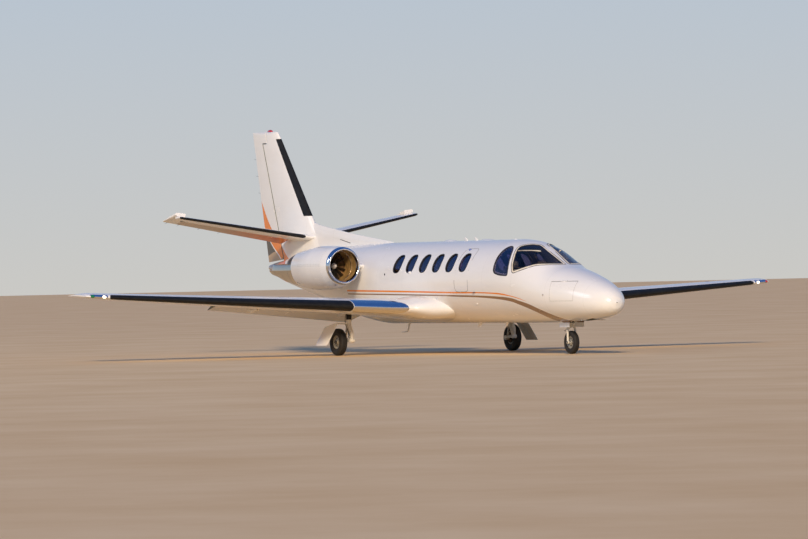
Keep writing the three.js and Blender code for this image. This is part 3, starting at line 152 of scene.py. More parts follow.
world = bpy.data.worlds.new("studio")
scene.world = world
world.use_nodes = True
air = world.node_tree
air.nodes.clear()
looking = add(air, "TexCoord").outputs["Generated"]
height = add(air, "SeparateXYZ", {0: looking}).outputs["Z"]
share = add(air, "MapRange", {"Value": height, "From Min": -1.0, "From Max": 1.0}).outputs["Result"]
sky = stops(add(air, "ValToRGB", {0: share}), (0.30, linear("B8966A")), (0.495, linear("E4E1DA")),
            (0.53, linear("CBDAEA")), (0.62, linear("8DAEDB")), (0.75, linear("4F7CC0")), (1.0, linear("3A66B2")))
glow = add(air, "Background", {"Color": sky, "Strength": 0.78})
air.links.new(glow.outputs[0], add(air, "OutputWorld").inputs["Surface"])


def lamp(name, kind, energy, colour, at, size):
    """A soft lamp that shines at the middle of the jet."""
    light = bpy.data.lights.new(name, kind)
    light.energy, light.color = energy, linear(colour)[:3]
    if kind == "SUN":
        light.angle = size
    else:
        light.shape, light.size = "DISK", size
    holder = bpy.data.objects.new(name, light)
    holder.matrix_world = Matrix.Translation(at) @ (-Vector(at)).to_track_quat("-Z", "Y").to_matrix().to_4x4()
    scene.collection.objects.link(holder)


lamp("key", "SUN", 3.2, "FFE9CC", (60.0, -38.0, 34.0), math.radians(9))
lamp("fill", "AREA", 5200.0, "E8F0FF", (-20.0, -60.0, 30.0), 24.0)

# Cast concrete, matt and warm, in clouds three metres across
concrete = patterned("pale_floor_concrete", {"Scale": 0.35, "Detail": 6.0, "Roughness": 0.6},
                     ((0.3, "DDB984"), (0.7, "EACB9B")), 0.85)

FLOOR_REACH = 400.0
mesh = bpy.data.meshes.new("studio_floor")
mesh.from_pydata([(x * FLOOR_REACH, y * FLOOR_REACH, 0) for x, y in ((-1, -1), (1, -1), (1, 1), (-1, 1))],
                 [], [(0, 1, 2, 3)])
mesh.materials.append(concrete)
studio_floor = bpy.data.objects.new("studio_floor", mesh)
scene.collection.objects.link(studio_floor)


# The fuselage skin is riveted aluminium sheet over frames, in four lengths: nose, cockpit, cabin
# and tail. Its sections are ovals given by station, keel, roof, half width, the height of the
# widest point and how full the oval is, all in millimetres.
HALF_LENGTH = 7.195
BOTH_SIDES = ((1, "left"), (-1, "right"))
SECTIONS = np.array([
    [0, 950, 972, 12, 961, 2.0], [40, 838, 1080, 135, 958, 2.0], [150, 757, 1190, 255, 965, 2.1],
    [350, 700, 1300, 365, 985, 2.1], [650, 655, 1415, 465, 1015, 2.1], [1050, 622, 1530, 560, 1065, 2.1],
    [1400, 606, 1612, 625, 1110, 2.1], [1720, 600, 1680, 672, 1160, 2.1], [2150, 596, 1870, 722, 1245, 2.1],
    [2600, 594, 2070, 765, 1325, 2.05], [2950, 592, 2155, 788, 1368, 2.0], [3400, 592, 2190, 798, 1391, 2.0],
    [8400, 592, 2195, 800, 1394, 2.0], [9200, 670, 2180, 780, 1410, 2.0], [10000, 850, 2165, 725, 1470, 2.0],
    [10800, 1030, 2140, 640, 1540, 2.0], [11600, 1190, 2095, 520, 1610, 2.0],
    [12400, 1350, 2010, 385, 1660, 2.0], [13000, 1475, 1905, 262, 1700, 2.0],
    [13450, 1612, 1850, 155, 1735, 2.0], [13680, 1690, 1815, 80, 1755, 2.0],
])
TAIL_END = SECTIONS[-1, 0]
SIDES = 112
WALL = 45
TAIL_WALL = 26
FIT = 0.3
GAP = 7


def spot(station, out, height):
    """Millimetres aft of the nose, to port and up, as metres in the CAD's frame."""
    return Vector((HALF_LENGTH - station / 1000, out / 1000, height / 1000))


def between(table, at):
    """The other columns of a table at a value of its first, with slopes that never overshoot."""
    places = table[:, 0]
    k = int(np.clip(np.searchsorted(places, at) - 1, 0, len(table) - 2))
    slopes = np.diff(table[:, 1:], axis=0) / np.diff(places)[:, None]

    def tangent(i):
        if i == 0 or i == len(table) - 1:
            return slopes[min(i, len(slopes) - 1)]
        before, after = slopes[i - 1], slopes[i]
        same = before * after > 0
        return np.where(same, 2 * before * after / np.where(same, before + after, 1), 0)

    width = places[k + 1] - places[k]
    t = (at - places[k]) / width
    return ((2 * t**3 - 3 * t**2 + 1) * table[k, 1:] + (t**3 - 2 * t**2 + t) * width * tangent(k)
            + (3 * t**2 - 2 * t**3) * table[k + 1, 1:] + (t**3 - t**2) * width * tangent(k + 1))


def once_round(count):
    """Even steps of angle once round, ending one step before the start."""
    return np.linspace(0, 2 * math.pi, count, endpoint=False)


def rounded(count, power):
    """Points across and up round a circle that is drawn toward a square by its power."""
    c, s = np.cos(once_round(count)), np.sin(once_round(count))
    return np.sign(c) * np.abs(c) ** (2 / power), np.sign(s) * np.abs(s) ** (2 / power)


def hull_ring(station, inside=0.0):
    """A ring of the fuselage, a distance inside its skin."""
    keel, roof, half, widest, fullness = between(SECTIONS, station)
    across, up = rounded(SIDES, fullness)
    reach = np.where(up >= 0, roof - widest, widest - keel) - inside
    return [spot(station, y, z) for y, z in zip((half - inside) * across, widest + reach * up)]


def oval_at(station, height):
    """Half width, widest height and fullness of a station's oval, and its reach to a height's side."""
    keel, roof, half, widest, fullness = between(SECTIONS, station)
    return half, widest, fullness, roof - widest if height >= widest else widest - keel


def skin_half(station, height):
    """Half width of the skin at a station and height."""
    half, widest, fullness, reach = oval_at(station, height)
    up = min(1, abs(height - widest) / reach)
    return half * (1 - up**fullness) ** (1 / fullness)


def onto_skin(point, lift=0.0):
    """A (station, out, height) point moved straight out from the middle of its section onto the skin."""
    station, out, height = point
    half, widest, fullness, reach = oval_at(station, height)
    k = (abs(out / half) ** fullness + abs((height - widest) / reach) ** fullness) ** (-1 / fullness)
    away = math.hypot(out, height - widest)
    k += lift / away
    return (station, out * k, widest + (height - widest) * k)


def piece(name, points, faces, *finishes):
    """A new object at the origin with its place in its mesh, and its faces turned out."""
    mesh = bpy.data.meshes.new(name)
    mesh.from_pydata([tuple(p) for p in points], [], faces)
    for finish in finishes:
        mesh.materials.append(finish)
    work = bmesh.new()
    work.from_mesh(mesh)
    bmesh.ops.remove_doubles(work, verts=work.verts, dist=1e-6)
    bmesh.ops.recalc_face_normals(work, faces=work.faces)
    work.to_mesh(mesh)
    work.free()
    made = bpy.data.objects.new(name, mesh)
    scene.collection.objects.link(made)
    return made


def lofted(rings, capped=True, looped=False):
    """Points and faces of rings joined one to the next."""
    count = len(rings[0])
    points = [p for ring in rings for p in ring]
    faces = []
    for r in range(len(rings) if looped else len(rings) - 1):
        here, there = r * count, (r + 1) % len(rings) * count
        faces += [(here + i, here + (i + 1) % count, there + (i + 1) % count, there + i)
                  for i in range(count)]
    if capped and not looped:
        faces += [tuple(range(count))[::-1], tuple(range(len(points) - count, len(points)))]
    return points, faces


def baked(target):
    """Turns an object's modifiers into plain mesh."""
    seen = bpy.context.evaluated_depsgraph_get()
    mesh = bpy.data.meshes.new_from_object(target.evaluated_get(seen), depsgraph=seen)
    target.modifiers.clear()
    old, target.data = target.data, mesh
    mesh.name = target.name
    bpy.data.meshes.remove(old)
    return target


def carved(target, *tools, how="DIFFERENCE"):
    """Cuts closed shapes from a closed shape, or joins or keeps what they share. The tools are used up."""
    for tool in tools:
        step = target.modifiers.new("carve", "BOOLEAN")
        step.solver, step.operation, step.object = "MANIFOLD", how, tool
        baked(target)
        bpy.data.objects.remove(tool)
    return target


def smoothed(target, sharp_from=28):
    """Smooth shading with hard edges past an angle in degrees."""
    target.data.shade_smooth()
    target.data.set_sharp_from_angle(angle=math.radians(sharp_from))
    return target


def hull(name, start, end, inside=0.0, *finishes):
    """A closed length of the fuselage's shape. Its rings lie closer at the nose, where it is round."""
    count = max(2, int((end - start) / 45))
    if start == 0:
        rings = [hull_ring(end * (i / 70) ** 2.2, inside) for i in range(71)]
    else:
        rings = [hull_ring(start + (end - start) * i / count, inside) for i in range(count + 1)]
    return piece(name, *lofted(rings), *finishes)


def block(name, start, end, y0, y1, z0, z1, *finishes):
    """A box between two stations, two sides and two heights."""
    ring = [(y0, z0), (y1, z0), (y1, z1), (y0, z1)]
    return piece(name, *lofted([[spot(s, y, z) for y, z in ring] for s in (start, end)]), *finishes)


def cleared(low, high, value, tree, soft=0.0015):
    """A socket that is 1 where a value lies between two others, with a painter's crisp edge."""
    over = add(tree, "Math", {0: value, 1: low}, operation="SUBTRACT").outputs[0]
    under = add(tree, "Math", {0: high, 1: value}, operation="SUBTRACT").outputs[0]
    least = add(tree, "Math", {0: over, 1: under}, operation="MINIMUM").outputs[0]
    return add(tree, "MapRange", {"Value": least, "From Min": -soft, "From Max": soft}).outputs["Result"]


def curved(tree, value, rows, reach, tall):
    """A height read off a smooth curve through (station, height) rows, both in millimetres."""
    node = add(tree, "FloatCurve", {"Value": value})
    curve = node.mapping.curves[0]
    while len(curve.points) < len(rows):
        curve.points.new(0.5, 0.5)
    for point, (station, rise) in zip(curve.points, rows):
        point.location = (station / reach, rise / tall)
    node.mapping.extend = "HORIZONTAL"
    node.mapping.update()
    return add(tree, "Math", {0: node.outputs[0], 1: tall / 1000}, operation="MULTIPLY").outputs[0]


# White polyurethane gloss over primer, sprayed and polished: a warm white with a faint orange
# peel and a little dust in faint streaks. The orange line and the brown one below it are masked and
# sprayed, and sweep down together to the nose gear.
STRIPE_REACH, STRIPE_TALL = 14000, 1400
ORANGE_TOP = [(2150, 1000), (2398, 1070), (2704, 1128), (3024, 1170), (3374, 1186), (4784, 1208),
              (6664, 1241), (8703, 1271), (10000, 1290)]
ORANGE_FOOT = [(2150, 1000), (2398, 1056), (2716, 1110), (3390, 1162), (4808, 1178), (6685, 1209),
               (8727, 1239), (10000, 1258)]
BROWN_TOP = [(1180, 600), (1270, 630), (1358, 659), (1499, 716), (1675, 791), (1893, 874), (2138, 959),
             (2427, 1024), (2730, 1081), (3416, 1117), (4800, 1146), (6688, 1176), (8703, 1204), (10000, 1222)]
BROWN_FOOT = [(1680, 590), (1785, 632), (1846, 708), (2008, 792), (2225, 876), (2488, 952), (2779, 1017),
              (3447, 1074), (4826, 1116), (6709, 1149), (8703, 1178), (10000, 1196)]
# The last colour, a dark grey, is a painted shadow that the tailplane casts on the tail
WHITE, ORANGE, BROWN, TAN, PAINTED_SHADOW_GREY = (linear(code) for code in ("F1EEE8", "F0841C", "8C6A4C", "B79B7C", "4B4842"))
FRAME_PITCH = 1.04


def gloss_paint(name):
    """White gloss with its orange peel, dust and skin joints. Returns what a scheme is painted with."""
    made, tree = finish_of(name)
    where = add(tree, "TexCoord").outputs["Object"]
    axes = add(tree, "SeparateXYZ", {0: where})
    station = add(tree, "Math", {0: HALF_LENGTH, 1: axes.outputs["X"]}, operation="SUBTRACT").outputs[0]
    # 0.6 m clouds of faint dirt, streaked lengthwise by the airflow
    streaked = add(tree, "Mapping", {"Vector": where, "Scale": (0.5, 1.6, 1.6)}).outputs[0]
    dirt = add(tree, "TexNoise", {"Vector": streaked, "Scale": 1.6, "Detail": 8.0, "Roughness": 0.65}).outputs[0]
    shade = add(tree, "MapRange", {"Value": dirt, "From Min": 0.42, "From Max": 0.72, "To Max": 0.22}).outputs[0]
    base = add(tree, "Mix", {0: shade, 6: WHITE, 7: linear("DDD6C9")}, data_type="RGBA").outputs[2]
    # Lap joints of the skin, 3 mm wide and filled with paint, drawn at every frame pitch
    along = add(tree, "Math", {0: station, 1: FRAME_PITCH}, operation="DIVIDE").outputs[0]
    part = add(tree, "Math", {0: along}, operation="FRACT").outputs[0]
    joint = cleared(0.4985, 0.5015, part, tree, 0.0006)
    faint = add(tree, "Math", {0: joint, 1: 0.35}, operation="MULTIPLY").outputs[0]
    base = add(tree, "Mix", {0: faint, 6: base, 7: linear("A8A196")}, data_type="RGBA").outputs[2]
    # Orange peel is about 2 mm across; at 8 mm it still shows
    peel = add(tree, "TexNoise", {"Vector": where, "Scale": 120.0, "Detail": 2.0}).outputs[0]
    bump = add(tree, "Bump", {"Height": peel, "Strength": 0.012, "Distance": 0.002}).outputs[0]
    rough = add(tree, "MapRange", {"Value": dirt, "To Min": 0.16, "To Max": 0.34}).outputs[0]
    return made, tree, station, axes.outputs["Z"], axes.outputs["Y"], base, bump, rough


def sprayed(tree, colour, bump, rough):
    """The painted surface under its clear coat."""
    show(tree, add(tree, "BsdfPrincipled", {
        "Base Color": colour, "Roughness": rough, "Normal": bump, "IOR": 1.5,
        "Coat Weight": 0.5, "Coat Roughness": 0.06}).outputs[0])


def lined(tree, station, rise, colour):
    """Adds the orange and brown lines to a coat of paint. They end behind the cowls."""
    along = add(tree, "Math", {0: station, 1: STRIPE_REACH / 1000}, operation="DIVIDE").outputs[0]
    for top, foot, paint in ((ORANGE_TOP, ORANGE_FOOT, ORANGE), (BROWN_TOP, BROWN_FOOT, BROWN)):
        high, low = (curved(tree, along, rows, STRIPE_REACH, STRIPE_TALL) for rows in (top, foot))
        begun = cleared(top[0][0] / 1000 + 0.02, 9.05, station, tree)
        here = add(tree, "Math", {0: cleared(low, high, rise, tree), 1: begun}, operation="MULTIPLY").outputs[0]
        colour = add(tree, "Mix", {0: here, 6: colour, 7: paint}, data_type="RGBA").outputs[2]
    return colour


hull_paint, tree, station, rise, _, colour, bump, rough = gloss_paint("fuselage_polyurethane_gloss")
sprayed(tree, lined(tree, station, rise, colour), bump, rough)


# Cabin and bay linings are moulded cream panels and green-grey primed sheet. Cut edges of the
# skin show its primer and sealant.

# Moulded panel with a fine woven grain, cream and matt
lining = patterned("cream_lining_panel", {"Scale": 260.0, "Detail": 3.0}, ((0.3, "CFC5B2"), (0.7, "DDD4C3")),
                   0.72, (0.15, 0.001))

# Sprayed primer, dull and blotchy. The round noses of the control surfaces take it too, as painted
# shade in their hinge gaps.
primer_and_nose_shade = patterned("grey_green_primer", {"Scale": 7.0, "Detail": 5.0}, ((0.3, "66685A"), (0.7, "787A6A")), 0.7)


def in_skin(target):
    """Gives faces on the outside of the fuselage the first material and the others the second."""
    for face in target.data.polygons:
        middle, away = face.center, face.normal
        station = (HALF_LENGTH - middle.x) * 1000
        half, widest, fullness, reach = oval_at(min(max(station, 0), TAIL_END), middle.z * 1000)
        up = middle.z * 1000 - widest
        level = (abs(middle.y * 1000 / half) ** fullness + abs(up / reach) ** fullness) ** (1 / fullness)
        outward = away.y * middle.y + away.z * up / 1000
        skin = level > 0.985 and outward > 0.3 * math.hypot(middle.y, up / 1000)
        face.material_index = 0 if skin or station < 60 and level > 0.9 else 1
    return target


# Openings in the skin: oval cabin windows, the two panes of windscreen and the side window on each
# side, the entry door to port, the plug hatch to starboard, and the bay doors.
CABIN_WINDOWS = [4447 + 520 * i for i in range(6)]
WINDOW_HEIGHT, WINDOW_WIDE, WINDOW_HIGH = 1765, 310, 350
EXIT_MIDDLE, EXIT_HEIGHT, EXIT_WIDE, EXIT_HIGH = 4447.5, 1617.5, 515, 825
WINDSCREEN = [
    [2600, 735, 1535], [2680, 700, 1680], [2760, 620, 1800], [2840, 530, 1930], [2900, 430, 2030],
    [2890, 330, 2078], [2750, 180, 2100], [2640, 32, 2075], [2200, 32, 1880], [1725, 32, 1690],
    [1760, 200, 1690], [1900, 370, 1690], [2100, 520, 1680], [2330, 650, 1610],
]
SIDE_WINDOW = [
    [2725, 761, 1495], [2770, 701, 1684], [2850, 601, 1857], [2950, 484, 1988], [3070, 400, 2055],
    [3190, 420, 2062], [3265, 500, 2000], [3285, 629, 1870], [3272, 724, 1719], [3255, 762, 1610],
    [3200, 776, 1550], [3011, 780, 1510],
]
WINDSCREEN_SIGHT, SIDE_SIGHT = (0.8, 0.6), (0.2, 0.98)
POST_HALF = 32


def oval(station, height, wide, high, power=2.6, count=56):
    """A rounded outline in a side view, as (station, height)."""
    across, up = rounded(count, power)
    return list(zip(station + wide / 2 * across, height + high / 2 * up))


def side_prism(name, outline, y0, y1, *finishes):
    """A side-view outline pushed through from one distance out to another."""
    return piece(name, *lofted([[spot(s, y, z) for s, z in outline] for y in (y0, y1)]), *finishes)


def softened(outline, radius=70.0, steps=5):
    """An outline with its corners rounded by short curves."""
    corners = [Vector(p) for p in outline]
    result = []
    for i, corner in enumerate(corners):
        before, after = corners[i - 1] - corner, corners[(i + 1) % len(corners)] - corner
        start = corner + before.normalized() * min(radius, before.length * 0.48)
        end = corner + after.normalized() * min(radius, after.length * 0.48)
        for k in range(steps + 1):
            t = k / steps
            result.append((1 - t) ** 2 * start + 2 * t * (1 - t) * corner + t**2 * end)
    return result


def pane_prism(name, outline, side, sight, post=POST_HALF):
    """A cockpit pane's outline swept along the line of sight that squares it to the skin."""
    forward, out = sight
    rings = [[spot(p[0] - push * forward, side * (p[1] + push * out), p[2]) for p in softened(outline)]
             for push in (-170, 420)]
    made = piece(name, *lofted(rings))
    room = block("room", 1000, 4000, side * post, side * 1400, 1000, 2500)
    return carved(made, room, how="INTERSECT")


def skin_layer(name, start, end, outer, inner, *finishes):
    """The fuselage's shape between two depths inside its skin."""
    return carved(hull(name, start, end, outer, *finishes), hull("core", start - 5, end + 5, inner))


# The bay and entry doors are skin panels on butt hinges: two fixed barrels with a pin and straps,
# and the leaf's knuckle between them. Sizes run along the hinge's axis, in millimetres.
KNUCKLE, BARREL_FROM, BARREL_TO, BARREL, HINGE_PIN, HINGE_ROOM, STRAP_DEEP, STRAP_WIDE = (
    23, 26, 70, 8, 4.5, 13, 26, 22)
PIN_SLACK = 0.8


def rod(name, start, end, radius, end_radius=None, sides=24, *finishes):
    """A straight round bar or cone between two places in metres, its radii in millimetres."""
    start, end = Vector(start), Vector(end)
    along = (end - start).normalized()
    across = along.orthogonal().normalized()
    other = along.cross(across)
    radii = (radius, radius if end_radius is None else end_radius)
    rings = [[at + (across * math.cos(a) + other * math.sin(a)) * r / 1000
              for a in once_round(sides)]
             for at, r in zip((start, end), radii)]
    return piece(name, *lofted(rings), *finishes)


def butt_hinge(pivot, along, inward, to_frame, finish):
    """The frame's and the leaf's halves of a hinge, and the room that each needs in the other."""
    def at(a, u=0.0, v=0.0):
        return pivot + (along * a + inward * u + to_frame * v) / 1000

    def strap(a0, a1, v):
        ring = ((0, 0), (STRAP_DEEP, 0), (STRAP_DEEP, v), (0, v * 0.5))
        return piece("strap", *lofted([[at(a, u, w) for u, w in ring] for a in (a0, a1)]), finish)

    def bar(a0, a1, radius):
        return rod("bar", at(a0), at(a1), radius, None, 20, finish)

    frame_half = bar(1 - BARREL_TO, BARREL_TO - 1, HINGE_PIN)
    leaf_room = bar(-BARREL_FROM, BARREL_FROM, HINGE_PIN + PIN_SLACK)
    for a0, a1 in ((-BARREL_TO, -BARREL_FROM), (BARREL_FROM, BARREL_TO)):
        carved(frame_half, bar(a0, a1, BARREL), strap(a0 + 1, a1 - 1, STRAP_WIDE), how="UNION")
        carved(leaf_room, bar(a0 - 2, a1 + 2, HINGE_ROOM), how="UNION")
    leaf_half = carved(bar(-KNUCKLE, KNUCKLE, BARREL), strap(1 - KNUCKLE, KNUCKLE - 1, -STRAP_WIDE), how="UNION")
    return frame_half, bar(-BARREL_FROM - 1, BARREL_FROM + 1, HINGE_ROOM), leaf_half, leaf_room


def hinge_line(door, side, hinge_high):
    """A bay door's hinge: its middle, its ways forward and outward, and half its length in metres."""
    start, end, low, high = door
    height = high if hinge_high else low
    front, rear = (spot(s, side * skin_half(s, height), height) for s in (start, end))
    forward = (front - rear).normalized()
    return (front + rear) / 2, forward, Vector((-forward.y, forward.x, 0)) * side, (front - rear).length / 2


def hinged_panel(name, door, side, hinge_high, thick):
    """A panel's leaf, its hole and its frame's half of the hinge, for a door of the bays."""
    start, end, low, high = door
    middle, forward, outward, half = hinge_line(door, side, hinge_high)

    def slab(grow, deep):
        rings = []
        for push in (-deep, 260):
            ring = []
            for a, b in ((-1, -1), (1, -1), (1, 1), (-1, 1)):
                p = middle + forward * a * (half + grow / 1000) + outward * push / 1000
                p.z = (high + grow if b > 0 else low - grow) / 1000
                ring.append(p)
            rings.append(ring)
        return piece("slab", *lofted(rings), hull_paint, primer_and_nose_shade)

    pivot = middle + outward * 0.010 + Vector((0, 0, GAP / 2000 if hinge_high else -GAP / 2000))
    to_frame = Vector((0, 0, 1 if hinge_high else -1))
    frame_half, frame_room, leaf_half, leaf_room = butt_hinge(pivot, forward, -outward, to_frame, hull_paint)
    leaf = skin_layer(name, start - 200, end + 200, 0, thick, hull_paint, primer_and_nose_shade)
    carved(leaf, slab(0, 200), how="INTERSECT")
    carved(leaf, leaf_half, how="UNION")
    carved(leaf, leaf_room)
    return leaf, carved(slab(GAP, 240), frame_room, how="UNION"), frame_half


# The nose: a moulded radome and a baggage bay with an upward-hinged door on each side, and the
# forward half of the nose gear's well.
COCKPIT_START, CABIN_START, TAIL_START = 1600, 3400, 8400
NOSE_DOOR = (830, 1430, 1010, 1370)
WELL_HALF, WELL_ROOF, WELL_FROM, WELL_TO, WELL_WALL = 150, 900, 640, 1885, 30


# A pale silicone strip in the frame fills the gap of each bay door, all but along its hinge
door_silicone = patterned("pale_silicone_door_seal", {"Scale": 50.0, "Detail": 4.0},
                          ((0.35, "C9C2B6"), (0.75, "DAD4CA")), 0.5)


def door_seal(name, door, side, hinge_high):
    """A strip that stands on the edge of a bay door's opening and reaches into the gap."""
    _, _, low, high = door
    middle, forward, outward, half = hinge_line(door, side, hinge_high)

    def on_skin(along, z, deep):
        near, far = -0.25, 0.25
        for _ in range(20):
            push = (near + far) / 2
            p = middle + forward * along + outward * push
            within = abs(p.y) * 1000 < skin_half((HALF_LENGTH - p.x) * 1000, z) - deep
            near, far = (push, far) if within else (near, push)
        p = middle + forward * along + outward * near
        p.z = z / 1000
        return p

    far_z, near_z = (low, high - 20) if hinge_high else (high, low + 20)
    path = [(half, z) for z in np.linspace(near_z, far_z, 14)]
    path += [(a, far_z) for a in np.linspace(half, -half, 20)[1:-1]]
    path += [(-half, z) for z in np.linspace(far_z, near_z, 14)]
    down = -1 if hinge_high else 1
    rings = []
    for along, z in path:
        ends = []
        for grow, deep in ((GAP - 1, 1.0), (1.5, 1.0), (1.5, 9.0), (GAP - 1, 9.0)):
            beyond = math.copysign(grow / 1000, along) if abs(along) > half - 1e-6 else 0.0
            lower = down * grow if abs(z - far_z) < 1e-6 else 0.0
            ends.append(on_skin(along + beyond, z + lower, deep))
        rings.append(ends)
    return piece(name, *lofted(rings), door_silicone)


def placed(made, body, slot, *nodes):
    """Rides a piece on a body and hides the solids that it stands for. Its slot is not used."""
    smoothed(made)
    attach(made, body)
    if nodes:
        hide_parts(*nodes)
    return made


nose = hull("nose_skin", 0, COCKPIT_START - FIT, 0, hull_paint, primer_and_nose_shade)
bay = carved(hull("bay", 760, 1500, 40), block("room", 760, 1500, -900, 900, 950, 2000), how="INTERSECT")
carved(nose, bay, block("well", WELL_FROM, COCKPIT_START + 50, -WELL_HALF, WELL_HALF, 400, WELL_ROOF))
for side, word in BOTH_SIDES:
    leaf, hole, frame_half = hinged_panel("nose_bay_leaf_" + word, NOSE_DOOR, side, True, 30)
    carved(nose, hole)
    carved(nose, frame_half, how="UNION")
    placed(in_skin(leaf), "nose_bay_door_" + word, "fuselage_paint", "nose_bay_door_" + word)
placed(in_skin(nose), "airframe", "fuselage_paint", "nose_section")


# The cockpit: the skin round two windscreen panes and two side windows, a lined inside, and the
# rear of the nose gear's well.
cockpit = hull("cockpit_skin", COCKPIT_START, CABIN_START - FIT, 0, hull_paint, lining)
carved(cockpit, hull("inside", COCKPIT_START + WALL, CABIN_START + 40, WALL))
well_box = carved(hull("well_box", COCKPIT_START, WELL_TO + 50), block(
    "room", COCKPIT_START, WELL_TO + WELL_WALL, -WELL_HALF - WELL_WALL, WELL_HALF + WELL_WALL, 400,
    WELL_ROOF + WELL_WALL), how="INTERSECT")
carved(cockpit, well_box, how="UNION")
carved(cockpit, block("well", COCKPIT_START - 40, WELL_TO, -WELL_HALF, WELL_HALF, 400, WELL_ROOF))
for side in (1, -1):
    carved(cockpit, pane_prism("hole", WINDSCREEN, side, WINDSCREEN_SIGHT),
           pane_prism("hole", SIDE_WINDOW, side, SIDE_SIGHT))
placed(in_skin(cockpit), "airframe", "fuselage_paint", "cockpit_shell")


# The cabin: a lined tube with six oval windows a side, an entry door to port and a plug hatch to
# starboard that holds the foremost window. The glazing lies in a rebate behind the openings.
REBATE_OUTER, REBATE_INNER, REBATE_LOW, REBATE_HIGH, REBATE_BEYOND = 18, 28, 1545, 1985, 185
DOOR = (3560, 4170, 800, 1985)
DOOR_WINDOW_STATION, DOOR_WINDOW_WIDE, DOOR_WINDOW_HIGH = 3850, 270, 330
CABIN_HALF_HIGH, CABIN_WIDEST, DOOR_HINGE_OUT = 800, 1394, 812
DOOR_PIVOT = spot(DOOR[0] - GAP / 2, DOOR_HINGE_OUT, CABIN_WIDEST)


def window_cut(station, side, wide=WINDOW_WIDE, high=WINDOW_HIGH):
    """An oval window's shape through one side."""
    return side_prism("hole", oval(station, WINDOW_HEIGHT, wide, high), side * 400, side * 900)


def hatch_cut(grow):
    """The escape hatch's shape through the starboard side."""
    outline = oval(EXIT_MIDDLE, EXIT_HEIGHT, EXIT_WIDE + grow, EXIT_HIGH + grow, 7, 96)
    return side_prism("hatch_cut", outline, -200, -900, hull_paint, lining)


def glazing(name, side, first, fit, inner, *finishes):
    """The strip of glazing behind one row of windows, or the rebate that it lies in."""
    start = CABIN_WINDOWS[first] - REBATE_BEYOND + fit
    end = CABIN_WINDOWS[-1] + REBATE_BEYOND - fit
    layer = skin_layer(name, start, end, REBATE_OUTER + fit, inner, *finishes)
    room = block("room", start - 9, end + 9, side * 300, side * 900, REBATE_LOW + fit, REBATE_HIGH - fit)
    return carved(layer, room, how="INTERSECT")


def door_prism(grow, bevelled):
    """The entry door's outline pushed through the wall. The leaf's rear edge is bevelled to swing clear."""
    start, end, low, high = DOOR
    rings = []
    for t in np.linspace(0, 1, 33):
        z = (low - grow) + (high - low + 2 * grow) * t
        outer = skin_half(start, z)
        climb = abs(z - CABIN_WIDEST) / CABIN_HALF_HIGH
        inner = outer - WALL / math.sqrt(1 - min(0.93, climb**2))
        slope = 1.15 * (DOOR_HINGE_OUT - inner) / (end - DOOR[0] + GAP / 2 - 60) if bevelled else 0
        out, deep = outer + 40, inner - 25
        front, rear = start - grow, end + grow
        ring = ((front, out), (rear, out), (rear, outer), (rear - slope * (outer - deep), deep), (front, deep))
        rings.append([spot(s, y, z) for s, y in ring])
    return piece("door_prism", *lofted(rings), hull_paint, lining)


cabin = skin_layer("cabin_skin", CABIN_START, TAIL_START, 0, WALL, hull_paint, lining)
for side in (1, -1):
    for station in CABIN_WINDOWS[0 if side > 0 else 1:]:
        carved(cabin, window_cut(station, side))
    carved(cabin, glazing("rebate", side, 0 if side > 0 else 1, 0, WALL + 5))
frame_half, frame_room, door_half, door_room = butt_hinge(
    DOOR_PIVOT, Vector((0, 0, 1)), Vector((0, -1, 0)), Vector((1, 0, 0)), hull_paint)
carved(cabin, door_prism(GAP, False), hatch_cut(2 * FIT), frame_room)
carved(cabin, frame_half, how="UNION")
placed(in_skin(cabin), "airframe", "fuselage_paint", "cabin_shell")

entry = skin_layer("entry_door_leaf", CABIN_START, CABIN_START + 1600, 0, WALL, hull_paint, lining)
carved(entry, door_prism(0, True), how="INTERSECT")
carved(entry, window_cut(DOOR_WINDOW_STATION, 1, DOOR_WINDOW_WIDE, DOOR_WINDOW_HIGH))
carved(entry, door_half, how="UNION")
carved(entry, door_room)
placed(in_skin(entry), "entry_door", "fuselage_paint", "entry_door")

hatch = skin_layer("exit_hatch_plug", CABIN_START, CABIN_START + 1600, 0, WALL, hull_paint, lining)
carved(hatch, hatch_cut(0), how="INTERSECT")
carved(hatch, window_cut(CABIN_WINDOWS[0], -1))
placed(in_skin(hatch), "airframe", "fuselage_paint", "exit_hatch")


# The tail carries the baggage bay, the fin and the engines. Its paint takes the orange band that
# climbs aft from the keel to the rudder and tan behind it, with a dark grey patch on the tan just
# under the tailplane that is a painted shadow of the tailplane.
BAND_FRONT = [(11900, 1460), (12200, 1650), (12440, 1800), (12725, 1936), (13160, 2270), (13554, 2543),
              (14060, 3115), (14200, 3300)]
BAND_REAR = [(12750, 1450), (12950, 1700), (13083, 1836), (13140, 1955), (13508, 2190), (13760, 2390),
             (13905, 2545), (14200, 2900)]
# Foot of the tailplane's painted shadow on the tan, as (station, height)
PAINTED_SHADOW_FOOT = [(12000, 2081), (13414, 2081), (13785, 2005), (14300, 1900)]
BAND_REACH, BAND_TALL = 14500, 3400

tail_paint, tree, station, rise, out, colour, bump, rough = gloss_paint("tail_polyurethane_gloss")
along = add(tree, "Math", {0: station, 1: BAND_REACH / 1000}, operation="DIVIDE").outputs[0]
front, rear, shadow_foot = (curved(tree, along, rows, BAND_REACH, BAND_TALL)
                      for rows in (BAND_FRONT, BAND_REAR, PAINTED_SHADOW_FOOT))
begun = cleared(11.9, 99.0, station, tree)
band = add(tree, "Math", {0: cleared(rear, front, rise, tree), 1: begun}, operation="MULTIPLY").outputs[0]
under = add(tree, "Math", {0: rear, 1: 0.035}, operation="SUBTRACT").outputs[0]
tan = add(tree, "Math", {0: cleared(-9.0, under, rise, tree), 1: cleared(12.75, 99.0, station, tree)},
          operation="MULTIPLY").outputs[0]
